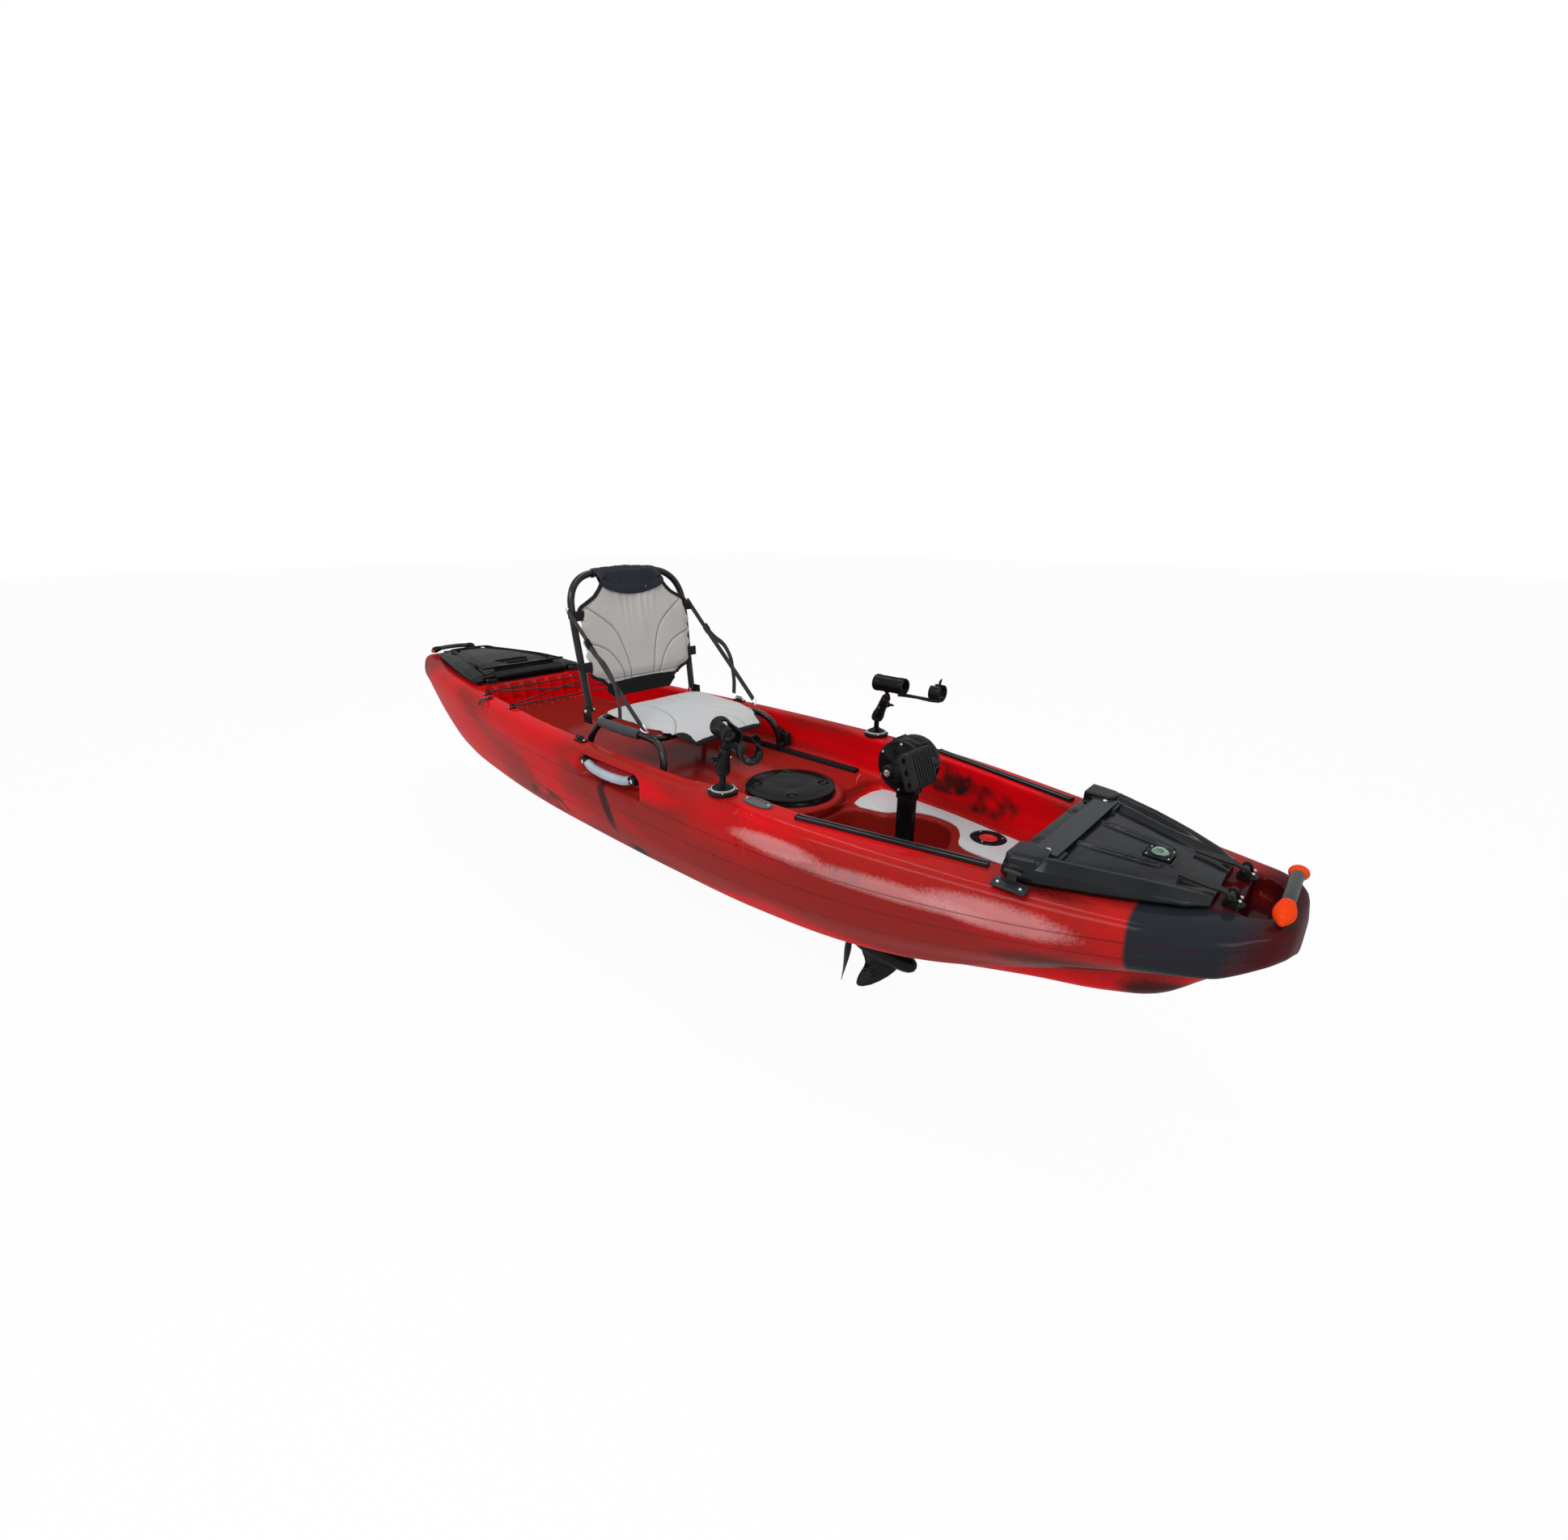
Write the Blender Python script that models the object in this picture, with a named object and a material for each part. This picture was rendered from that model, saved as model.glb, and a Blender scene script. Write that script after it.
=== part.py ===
"""Pedal kayak, modelled as separate pieces.

Units are metres. X points to the bow, Y to port and Z up. The origin lies on
the flat keel runner, amidships. A moving piece has its origin on its joint's
axis; pieces that move together hang on one empty that stands there.
"""
import math

import bmesh
import bpy
import numpy as np
from mathutils import Matrix, Vector

# Driving dimensions of the hull
BOW_X = 1.979
STERN_X = -1.948
WALL = 0.006
SEAM_DROP = 0.085
RAIL_WIDTH = 0.036
DECK_FLOOR_Z = 0.275
FOOT_FLOOR_Z = 0.235
WELL_FLOOR_Z = 0.120
RUNNER_HALF = 0.055
RUNNER_FRONT_X = 0.62
RUNNER_REAR_X = -1.10
GAP = 0.0004

# Lines plan: places along the hull, then the half widths and heights there
LINES_X = (-1.948, -1.90, -1.75, -1.50, -1.20, -0.85, -0.40, 0.05, 0.45, 0.80,
           1.10, 1.32, 1.52, 1.68, 1.79, 1.87, 1.925, 1.957, 1.972, 1.979)
BEAM = (0.130, 0.165, 0.212, 0.265, 0.314, 0.352, 0.398, 0.420, 0.428, 0.428,
        0.404, 0.366, 0.324, 0.285, 0.252, 0.216, 0.174, 0.134, 0.096, 0.052)
CREST = (0.110, 0.134, 0.176, 0.228, 0.272, 0.312, 0.360, 0.388, 0.394, 0.382,
         0.358, 0.312, 0.262, 0.222, 0.192, 0.162, 0.134, 0.102, 0.070, 0.032)
SHEER = (0.420, 0.424, 0.420, 0.412, 0.411, 0.406, 0.400, 0.400, 0.400, 0.400,
         0.397, 0.393, 0.390, 0.390, 0.392, 0.394, 0.398, 0.396, 0.384, 0.360)
CHINE_Y = (0.080, 0.104, 0.150, 0.210, 0.258, 0.296, 0.328, 0.336, 0.336, 0.326,
           0.296, 0.258, 0.216, 0.178, 0.146, 0.116, 0.088, 0.064, 0.044, 0.024)
CHINE_Z = (0.325, 0.285, 0.205, 0.110, 0.066, 0.052, 0.046, 0.046, 0.050, 0.056,
           0.072, 0.102, 0.150, 0.200, 0.236, 0.264, 0.286, 0.300, 0.308, 0.322)
KEEL_Z = (0.300, 0.250, 0.150, 0.056, 0.020, 0.009, 0.006, 0.006, 0.006, 0.008,
          0.014, 0.028, 0.050, 0.080, 0.122, 0.200, 0.244, 0.272, 0.292, 0.312)
MIDWAY_SPAN = 0.19
INNER_BOW_X = 1.93

# Cockpit and hatch openings
COCKPIT_REAR_X = -0.985
COCKPIT_STEP_X = 0.790
COCKPIT_FRONT_X = 1.455
BOW_OPENING_X = (1.520, 1.790)
STERN_OPENING_X = (-1.350, -1.060)
BOW_RECESS_X = (1.886, 1.922)
BOW_RECESS_Z = 0.352
ROUND_HATCH = (0.649, 0.0)
ROUND_HATCH_R = 0.145
ROUND_OPENING_R = 0.108

# Pedal drive
DRIVE_X = 1.085
CRANK_Z = 0.478
CRANK_LENGTH = 0.130
CRANK_ANGLE = math.radians(25.0)
DRUM_R = 0.073
SHAFT_Z = -0.155
PROP_X = 0.912
PROP_R = 0.150
BLADE_TILT = math.radians(15.0)
CRANK_GEAR_R = 0.052
TOP_PINION_R = 0.013
LOW_PINION_R = 0.018
PROP_GEAR_R = 0.009
TOWER_X = 0.050
TOWER_Y = 0.030
SLOT_X = (0.868, 1.176)
SLOT_HALF = 0.070

# Seat
SEAT_PIVOT = (-0.117, 0.453)
SEAT_HALF = 0.235
SEAT_FRAME_X = (-0.095, 0.262)
SEAT_FRAME_Z = 0.4215
SEAT_TUBE_R = 0.0125
BACK_LEAN = 0.108
BACK_AHEAD = 0.0285
RAIL_Y = 0.285
RAIL_X = (-0.300, 0.705)

# Fittings on the gunwales
ROD_BASE = (0.727, 0.360)
ROD_BALL_Z = 0.462
ROD_REACH = (0.036, 0.0, 0.0825)
ROD_TUBE_RISE = 0.0425
ROD_CUP_R = 0.0120
ROD_YAW = {"starboard": math.radians(-25.0), "port": 0.0}
TRACK_REAR = (0.986, 0.347)
TRACK_FRONT = (1.440, 0.243)
SIDE_HANDLE_X = (0.095, 0.395)
SIDE_HANDLE_Z = 0.352
BOW_HINGE = (1.858, 0.071, 0.412)
STERN_HINGE = (-1.802, 0.440)
SIDES = (("starboard", -1.0), ("port", 1.0))

PIVOTS = {}


# Scene, materials and mesh helpers
def clear_scene():
    for item in list(bpy.data.objects):
        bpy.data.objects.remove(item, do_unlink=True)


def finish(name, colour, roughness, metallic=0.0):
    made = bpy.data.materials.new(name)
    made.use_nodes = True
    shader = made.node_tree.nodes["Principled BSDF"]
    shader.inputs["Base Color"].default_value = (*colour, 1.0)
    shader.inputs["Roughness"].default_value = roughness
    shader.inputs["Metallic"].default_value = metallic
    made.diffuse_color = (*colour, 1.0)
    return made


def make(name, points, faces, look, sharp=32.0):
    mesh = bpy.data.meshes.new(name)
    mesh.from_pydata([tuple(p) for p in points], [], faces)
    work = bmesh.new()
    work.from_mesh(mesh)
    bmesh.ops.recalc_face_normals(work, faces=work.faces)
    work.to_mesh(mesh)
    work.free()
    if look:
        mesh.materials.append(look)
    mesh.shade_smooth()
    mesh.set_sharp_from_angle(angle=math.radians(sharp))
    made = bpy.data.objects.new(name, mesh)
    bpy.context.scene.collection.objects.link(made)
    return made


def loft(name, rings, look, ring_closed=False, sharp=32.0):
    """Skin rings of equal length; the ends are capped unless the rings close."""
    count = len(rings[0])
    points = [p for ring in rings for p in ring]
    faces = []
    last = len(rings) if ring_closed else len(rings) - 1
    for k in range(last):
        here = k * count
        there = ((k + 1) % len(rings)) * count
        for i in range(count):
            j = (i + 1) % count
            faces.append((here + i, here + j, there + j, there + i))
    if not ring_closed:
        faces.append(tuple(range(count)))
        faces.append(tuple((len(rings) - 1) * count + i for i in range(count)))
    return make(name, points, faces, look, sharp)


def prism(name, outline, low, high, look=None, shrink=0.0, sharp=32.0):
    """Raise an (x, y) outline from low to high; shrink pulls the foot in."""
    middle = Vector((sum(p[0] for p in outline), sum(p[1] for p in outline))) / len(outline)
    foot = []
    for x, y in outline:
        away = Vector((x, y)) - middle
        scale = 1.0 - shrink / max(away.length, 1e-6)
        foot.append((middle.x + away.x * scale, middle.y + away.y * scale, low))
    return loft(name, [foot, [(x, y, high) for x, y in outline]], look, sharp=sharp)


def box(name, low, high, look=None, bevel=0.0, segments=1):
    (x0, y0, z0), (x1, y1, z1) = low, high
    y0, y1 = min(y0, y1), max(y0, y1)
    foot = [(x0, y0, z0), (x1, y0, z0), (x1, y1, z0), (x0, y1, z0)]
    made = loft(name, [foot, [(x, y, z1) for x, y, z in foot]], look)
    if bevel:
        round_edges(made, bevel, segments)
    return made


def round_edges(made, width, segments=1, angle=40.0):
    work = bmesh.new()
    work.from_mesh(made.data)
    edges = [e for e in work.edges if e.calc_face_angle(0.0) > math.radians(angle)]
    bmesh.ops.bevel(work, geom=edges, offset=width, segments=segments, profile=0.5,
                    affect="EDGES", clamp_overlap=True)
    work.to_mesh(made.data)
    work.free()
    made.data.shade_smooth()
    made.data.set_sharp_from_angle(angle=math.radians(32.0))


def axes_for(direction):
    along = Vector(direction).normalized()
    helper = Vector((0, 0, 1)) if abs(along.z) < 0.9 else Vector((1, 0, 0))
    side = helper.cross(along).normalized()
    return along, side, along.cross(side)


def turned(name, profile, base, direction, look=None, count=24, bored=False, turn=0.0):
    """Spin (radius, height) pairs round an axis; bored closes the profile on itself."""
    along, side, up = axes_for(direction)
    rings = []
    for radius, height in profile:
        centre = Vector(base) + along * height
        ring = []
        for i in range(count):
            angle = turn + math.tau * i / count
            ring.append(centre + side * radius * math.cos(angle) + up * radius * math.sin(angle))
        rings.append(ring)
    return loft(name, rings, look, ring_closed=bored)


def rod(name, radius, start, end, look=None, count=12):
    way = Vector(end) - Vector(start)
    return turned(name, [(radius, 0.0), (radius, way.length)], start, way, look, count)


def smooth_path(points, steps=6, closed=False):
    """A smooth curve through the points."""
    knots = [Vector(p) for p in points]
    total = len(knots)
    path = []
    spans = total if closed else total - 1
    for k in range(spans):
        if closed:
            a, b, c, d = (knots[(k + n) % total] for n in (-1, 0, 1, 2))
        else:
            a = knots[max(k - 1, 0)]
            b, c = knots[k], knots[k + 1]
            d = knots[min(k + 2, total - 1)]
        for s in range(steps):
            t = s / steps
            path.append(0.5 * (2 * b + (c - a) * t + (2 * a - 5 * b + 4 * c - d) * t * t
                               + (3 * b - a - 3 * c + d) * t ** 3))
    if not closed:
        path.append(knots[-1])
    return path


def sweep(name, path, section, look=None, closed=False, up=(0, 0, 1), sharp=32.0):
    """Carry an outline along a path, kept square to it."""
    path = [Vector(p) for p in path]
    total = len(path)
    rings = []
    normal = Vector(up)
    for k in range(total):
        if closed:
            along = (path[(k + 1) % total] - path[k - 1]).normalized()
        else:
            along = (path[min(k + 1, total - 1)] - path[max(k - 1, 0)]).normalized()
        normal = (normal - along * normal.dot(along)).normalized()
        side = normal.cross(along)
        rings.append([path[k] + side * a + normal * b for a, b in section])
    return loft(name, rings, look, ring_closed=closed, sharp=sharp)


def circle(radius, count=8):
    return [(radius * math.cos(math.tau * i / count), radius * math.sin(math.tau * i / count))
            for i in range(count)]


def rounded(width, depth, radius, steps=2):
    """Outline of a rectangle with round corners, centred on zero."""
    points = []
    for n, (sx, sy) in enumerate(((1, 1), (-1, 1), (-1, -1), (1, -1))):
        for s in range(steps + 1):
            angle = math.radians(90.0 * (n + s / steps))
            points.append((sx * (width / 2 - radius) + radius * math.cos(angle),
                           sy * (depth / 2 - radius) + radius * math.sin(angle)))
    return points


def boolean(target, tool, operation="DIFFERENCE"):
    """Cut or join a tool into the target, then remove the tool."""
    step = target.modifiers.new("shape", "BOOLEAN")
    step.operation = operation
    step.solver = "EXACT"
    step.object = tool
    graph = bpy.context.evaluated_depsgraph_get()
    mesh = bpy.data.meshes.new_from_object(target.evaluated_get(graph), depsgraph=graph)
    target.modifiers.remove(step)
    target.data = mesh
    bpy.data.objects.remove(tool, do_unlink=True)
    return target


def join(target, *tools):
    for tool in tools:
        boolean(target, tool, "UNION")
    return target


def cut(target, *tools):
    for tool in tools:
        boolean(target, tool, "DIFFERENCE")
    return target


def pivot(name, place, parent=None):
    """An empty on a joint's axis, which the moving pieces hang on."""
    made = bpy.data.objects.new(name, None)
    bpy.context.scene.collection.objects.link(made)
    PIVOTS[name] = Vector(place)
    made.location = Vector(place) - (PIVOTS[parent] if parent else Vector())
    if parent:
        made.parent = bpy.data.objects[parent]
    return made


def hang(made, pivot_name):
    """Move an object's origin to a shared pivot and parent it there."""
    made.data.transform(Matrix.Translation(-PIVOTS[pivot_name]))
    made.parent = bpy.data.objects[pivot_name]
    return made


def stand(made, place, parent=None):
    """Put an object's origin on its own joint's axis."""
    PIVOTS[made.name] = Vector(place)
    made.data.transform(Matrix.Translation(-PIVOTS[made.name]))
    made.location = PIVOTS[made.name] - (PIVOTS[parent] if parent else Vector())
    if parent:
        made.parent = bpy.data.objects[parent]
    return made


# Hull
def line(values, x):
    """A value of the lines plan at any place along the hull, as a smooth curve."""
    xs = np.array(LINES_X)
    ys = np.array(values)
    slopes = np.gradient(ys, xs)
    k = int(np.clip(np.searchsorted(xs, x) - 1, 0, len(xs) - 2))
    h = xs[k + 1] - xs[k]
    t = (x - xs[k]) / h
    return float((2 * t**3 - 3 * t**2 + 1) * ys[k] + (t**3 - 2 * t**2 + t) * h * slopes[k]
                 + (3 * t**2 - 2 * t**3) * ys[k + 1] + (t**3 - t**2) * h * slopes[k + 1])


def section(x, inset=0.0):
    """One hull section; an inner one is read nearer the hull's end, so the ends keep a wall."""
    probe = x + math.copysign(inset, x)
    beam = line(BEAM, probe) - inset
    crest = line(CREST, probe) - inset
    sheer = line(SHEER, probe) - inset
    chine_y = line(CHINE_Y, probe) - inset
    chine_z = line(CHINE_Z, probe) + inset
    keel = line(KEEL_Z, probe) + inset
    low = max(keel, 0.0)
    seam = max(sheer - SEAM_DROP, (sheer + low) / 2) + 0.5 * inset
    side_z = 0.45 * seam + 0.55 * chine_z
    side_y = 0.42 * beam + 0.58 * chine_y + 0.22 * (beam - chine_y)
    half = [(crest, sheer),
            (crest + 0.55 * (beam - crest), sheer - 0.010),
            (crest + 0.88 * (beam - crest), sheer - 0.038),
            (beam, seam),
            (side_y, side_z),
            (chine_y + 0.30 * (side_y - chine_y), chine_z + 0.28 * (side_z - chine_z)),
            (chine_y - 0.10 * chine_y, 0.62 * chine_z + 0.38 * low),
            (0.62 * chine_y, 0.22 * chine_z + 0.78 * low),
            (0.30 * chine_y, low)]
    loop = [(x, -y, z) for y, z in half]
    loop += [(x, y, z) for y, z in reversed(half)]
    return loop


def hull_form(name, inset, look=None):
    """The closed form of the hull, drawn in by an inset for its inner face."""
    places = list(LINES_X)
    if inset:
        places = [STERN_X + inset] + [x for x in LINES_X[1:] if x <= INNER_BOW_X]
    places += [(a + b) / 2 for a, b in zip(LINES_X, LINES_X[1:]) if b - a > MIDWAY_SPAN]
    places.sort()
    return loft(name, [section(x, inset) for x in places], look, sharp=24.0)


def strip_outline(first, last, half_width, count, corner):
    """An outline along the hull whose half width follows a function of x."""
    places = [first + (last - first) * k / (count - 1) for k in range(count)]
    right = [(x, -half_width(x)) for x in places]
    left = [(x, half_width(x)) for x in reversed(places)]
    cut_corner = corner * 0.7
    front = [(last + cut_corner, -half_width(last) + corner * 1.3),
             (last + cut_corner, half_width(last) - corner * 1.3)]
    back = [(first - cut_corner, half_width(first) - corner * 1.3),
            (first - cut_corner, -half_width(first) + corner * 1.3)]
    return right + front + left + back


def cockpit_half(x):
    """Half width of the cockpit at its rim; it narrows ahead of the rod holders."""
    wide = line(CREST, x) - RAIL_WIDTH
    blend = min(max((x - 0.60) / 0.08, 0.0), 1.0)
    return wide - 0.026 * blend


def bow_opening_half(x):
    return line(CREST, x) - 0.060


def stern_opening_half(x):
    return line(CREST, x) - 0.046


def well_outline(grow=0.0):
    """Peanut outline round the drive slot: two round lobes with a waist."""
    places = ((0.812, 0.045), (0.828, 0.098), (0.870, 0.122), (0.925, 0.124), (0.968, 0.158),
              (1.020, 0.196), (1.075, 0.204), (1.130, 0.182), (1.166, 0.130), (1.190, 0.060))
    right = [(x + grow * (1 if x > 1.0 else -1), -y - grow) for x, y in places]
    left = [(x, -y) for x, y in reversed(right)]
    return right + left


def hull_cutters(grow):
    """The spaces moulded into the hull, grown by the wall for its inner face."""
    top = 0.60
    seat_well = prism("seat_well", strip_outline(COCKPIT_REAR_X - grow, COCKPIT_STEP_X + 0.30,
                                                 lambda x: cockpit_half(x) + grow, 12, 0.03),
                      DECK_FLOOR_Z - grow, top, shrink=0.022)
    foot_well = prism("foot_well", strip_outline(COCKPIT_STEP_X - grow, COCKPIT_FRONT_X + grow,
                                                 lambda x: cockpit_half(x) - 0.001 + grow, 8, 0.03),
                      FOOT_FLOOR_Z - grow, top, shrink=0.014)
    drive_well = prism("drive_well", well_outline(grow), WELL_FLOOR_Z - grow, top - 0.2,
                       shrink=0.008)
    slot = box("slot", (SLOT_X[0] - grow, -SLOT_HALF - grow, -0.10),
               (SLOT_X[1] + grow, SLOT_HALF + grow, 0.30))
    bow_recess = prism("bow_recess", strip_outline(BOW_RECESS_X[0] - grow, BOW_RECESS_X[1] + grow,
                                                   lambda x: line(CREST, x) - 0.048 + grow, 3,
                                                   0.012),
                       BOW_RECESS_Z - grow, top, shrink=0.006)
    return [seat_well, foot_well, drive_well, slot, bow_recess]


def build_hull(look):
    hull = hull_form("hull", 0.0, look)
    runner = loft("runner", [[(x, -RUNNER_HALF, 0.03), (x, RUNNER_HALF, 0.03),
                              (x, RUNNER_HALF - 0.008, drop), (x, -RUNNER_HALF + 0.008, drop)]
                             for x, drop in ((RUNNER_REAR_X - 0.06, 0.024), (RUNNER_REAR_X, 0.0),
                                             (RUNNER_FRONT_X, 0.0),
                                             (RUNNER_FRONT_X + 0.06, 0.016))], None)
    join(hull, runner)
    cut(hull, *hull_cutters(0.0))
    for _, s in SIDES:
        pocket = box("pocket", (SIDE_HANDLE_X[0] - 0.02, s * 0.378, SIDE_HANDLE_Z - 0.048),
                     (SIDE_HANDLE_X[1] + 0.02, s * 0.50, SIDE_HANDLE_Z + 0.026))
        cut(hull, pocket)
    inner = hull_form("inner", WALL)
    cut(inner, *hull_cutters(WALL))
    for _, s in SIDES:
        pocket = box("pocket", (SIDE_HANDLE_X[0] - 0.026, s * 0.372, SIDE_HANDLE_Z - 0.054),
                     (SIDE_HANDLE_X[1] + 0.026, s * 0.50, SIDE_HANDLE_Z + 0.032))
        cut(inner, pocket)
    cut(hull, inner)
    bow_opening = prism("bow_opening", strip_outline(*BOW_OPENING_X, bow_opening_half, 4, 0.03),
                        0.36, 0.60)
    stern_opening = prism("stern_opening",
                          strip_outline(*STERN_OPENING_X, stern_opening_half, 4, 0.03), 0.36, 0.60)
    round_opening = turned("round_opening", [(ROUND_OPENING_R, 0.0), (ROUND_OPENING_R, 0.1)],
                           (*ROUND_HATCH, 0.24), (0, 0, 1), count=24)
    cut(hull, bow_opening, stern_opening, round_opening)
    plug_hole = turned("plug_hole", [(0.0105, 0.0), (0.0105, 0.06)],
                       (STERN_X - 0.03, 0.0, 0.365), (1, 0, 0), count=12)
    cut(hull, plug_hole)
    return hull


# Hatches
def lid_section(x, half, foot, hump, middle, inset):
    """A lid's section: a low edge, a sloping side up to a hump, a flat middle."""
    out = half - inset
    profile = [(out, foot), (out - 0.004, foot + 0.4 * (hump - foot) - 0.4 * inset),
               (out - 0.050, hump - inset), (out - 0.082, hump - inset),
               (out - 0.104, middle - inset)]
    ring = [(x, -y, z) for y, z in profile]
    return ring + [(x, y, z) for y, z in reversed(profile)]


def moulded_lid(name, stations, foot, wall, look):
    """A lid moulded as a shell, open underneath."""
    lid = loft(name, [lid_section(x, half, foot, hump, middle, 0.0)
                      for x, half, hump, middle in stations], look, sharp=26.0)
    hollow = []
    for k, (x, half, hump, middle) in enumerate(stations):
        shift = wall if k == 0 else -wall if k == len(stations) - 1 else 0.0
        shift = math.copysign(shift, (stations[-1][0] - stations[0][0]) * shift)
        ring = lid_section(x + shift, half, foot, hump, middle, wall)
        hollow.append([(a, b, c if c > foot + 0.001 else foot - 0.01) for a, b, c in ring])
    return cut(lid, loft("lid_hollow", hollow, None))


BOW_LID = ((1.480, 0.268, 0.430, 0.424), (1.500, 0.281, 0.437, 0.427),
           (1.560, 0.264, 0.437, 0.427), (1.650, 0.228, 0.431, 0.423),
           (1.740, 0.186, 0.423, 0.417), (1.800, 0.154, 0.416, 0.412),
           (1.834, 0.124, 0.410, 0.408))
BOW_LID_FOOT = 0.3985
STERN_LID = ((-1.790, 0.118, 0.444, 0.450), (-1.765, 0.132, 0.452, 0.459),
             (-1.620, 0.166, 0.460, 0.468), (-1.400, 0.212, 0.464, 0.474),
             (-1.200, 0.248, 0.460, 0.470), (-1.050, 0.268, 0.446, 0.454),
             (-1.000, 0.268, 0.434, 0.440))
STERN_LID_FOOT = 0.4215


def lid_top(x):
    """Height of the bow lid's middle at x."""
    return float(np.interp(x, [s[0] for s in BOW_LID], [s[3] for s in BOW_LID]))


def build_bow_hatch(looks):
    charcoal, rubber, steel = looks["charcoal"], looks["rubber"], looks["black"]
    lid = moulded_lid("bow_hatch_lid", BOW_LID, BOW_LID_FOOT, 0.005, charcoal)
    hang(lid, "bow_hatch_axis")
    band = box("bow_lid_strap", (1.515, -0.196, 0.4375), (1.566, 0.196, 0.4415), steel)
    hang(band, "bow_hatch_axis")
    plate_z = lid_top(1.686) + GAP
    compass = box("compass", (1.686, -0.026, plate_z), (1.738, 0.026, plate_z + 0.004), steel)
    dome = [(0.019 * math.cos(a), 0.014 * math.sin(a)) for a in (0.0, 0.4, 0.8, 1.2, 1.5)]
    join(compass, turned("dome", [(0.019, -0.002)] + dome, (1.712, 0.0, plate_z + 0.004),
                         (0, 0, 1), count=16))
    hang(compass, "bow_hatch_axis")
    pin_x, pin_y, pin_z = BOW_HINGE
    for side, s in SIDES:
        y = s * pin_y
        leaf = loft("bow_hinge_leaf_" + side,
                    [[(x, y - h, z), (x, y + h, z), (x, y + h, z + 0.004), (x, y - h, z + 0.004)]
                     for x, h, z in ((1.765, 0.006, 0.4205), (1.822, 0.016, 0.4190),
                                     (1.842, 0.009, 0.4155), (pin_x + 0.001, 0.009, 0.4095))],
                    steel)
        join(leaf, turned("knuckle", [(0.0068, 0.0), (0.0068, 0.018)], (pin_x, y - 0.009, pin_z),
                          (0, 1, 0), count=12))
        cut(leaf, turned("eye", [(0.0034, 0.0), (0.0034, 0.04)], (pin_x, y - 0.02, pin_z),
                         (0, 1, 0), count=12))
        hang(leaf, "bow_hatch_axis")
        base = turned("bow_hinge_base_" + side, [(0.019, 0.0), (0.019, 0.004), (0.016, 0.006)],
                      (pin_x + 0.006, y, 0.3955), (0, 0, 1), steel, count=16)
        for t in (-1, 1):
            ear = box("ear", (pin_x - 0.006, y + t * 0.0095, 0.398),
                      (pin_x + 0.006, y + t * 0.0135, pin_z + 0.007))
            join(base, ear)
        join(base, turned("pin", [(0.0029, 0.0), (0.0029, 0.026)], (pin_x, y - 0.013, pin_z),
                          (0, 1, 0), count=12))
        latch = box("bow_latch_" + side, (1.498, s * 0.2845, 0.391), (1.532, s * 0.2945, 0.428),
                    rubber, bevel=0.003)
        stand(latch, (1.515, s * 0.2895, 0.396))


def build_stern_hatch(looks):
    lid = moulded_lid("stern_hatch_lid", STERN_LID, STERN_LID_FOOT, 0.005, looks["black"])
    grip_recess = prism("grip_recess", [(-1.235, -0.075), (-1.125, -0.05), (-1.125, 0.05),
                                        (-1.235, 0.075)], 0.4665, 0.50, shrink=0.008)
    cut(lid, grip_recess)
    hang(lid, "stern_hatch_axis")
    for side, s in SIDES:
        latch = box("stern_latch_" + side, (-0.9975, s * 0.180, 0.4125),
                    (-0.9885, s * 0.230, 0.4345), looks["black"], bevel=0.0025)
        stand(latch, (-0.992, s * 0.205, 0.430), parent="stern_hatch_axis")


def build_round_hatch(looks):
    x, y = ROUND_HATCH
    collar = [(ROUND_OPENING_R + 0.004, 0.0004), (ROUND_HATCH_R - 0.004, 0.0004),
              (ROUND_HATCH_R - 0.010, 0.018), (ROUND_OPENING_R + 0.004, 0.018)]
    turned("round_hatch_collar", collar, (x, y, DECK_FLOOR_Z), (0, 0, 1), looks["black"],
           count=28, bored=True)
    cap = turned("round_hatch_lid", [(0.106, 0.004), (0.106, 0.0186), (ROUND_HATCH_R, 0.0186),
                                     (ROUND_HATCH_R, 0.025), (0.130, 0.029), (0.060, 0.030)],
                 (x, y, DECK_FLOOR_Z), (0, 0, 1), looks["black"], count=28)
    for k in range(4):
        angle = math.radians(45 + 90 * k)
        cx, cy = x + 0.108 * math.cos(angle), y + 0.108 * math.sin(angle)
        cut(cap, turned("cup", [(0.017, 0.0), (0.020, 0.02)], (cx, cy, DECK_FLOOR_Z + 0.0235),
                        (0, 0, 1), count=10))
    stand(cap, (x, y, DECK_FLOOR_Z))


# Fittings on the hull
def channel(width, height, slot, depth):
    """Outline of a slotted rail, standing on zero."""
    return [(-width / 2, 0.0), (width / 2, 0.0), (width / 2, height), (slot / 2, height),
            (slot / 2, height - depth), (-slot / 2, height - depth), (-slot / 2, height),
            (-width / 2, height)]


def build_rails_and_mats(looks):
    for side, s in SIDES:
        ends = []
        for x, y in (TRACK_REAR, TRACK_FRONT):
            ends.append((x, s * y, line(SHEER, x) + 0.0012))
        sweep("gear_track_" + side, ends, channel(0.026, 0.013, 0.008, 0.007), looks["track"])
        floor = DECK_FLOOR_Z + GAP
        sweep("seat_rail_" + side, [(RAIL_X[0], s * RAIL_Y, floor), (RAIL_X[1], s * RAIL_Y, floor)],
              channel(0.024, 0.014, 0.008, 0.007), looks["black"])
        outer = [(x, cockpit_half(x) - 0.034) for x in (0.830, 0.95, 1.10, 1.25, 1.405)]
        inner = [(1.405, 0.085), (1.275, 0.080), (1.222, 0.105), (1.190, 0.165), (1.145, 0.212),
                 (1.080, 0.228), (1.010, 0.219), (0.950, 0.176), (0.910, 0.147), (0.830, 0.143)]
        mat = [(x, s * y) for x, y in outer + inner]
        prism("footwell_mat_" + side, mat, FOOT_FLOOR_Z + GAP, FOOT_FLOOR_Z + 0.0045, looks["mat"])


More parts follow.
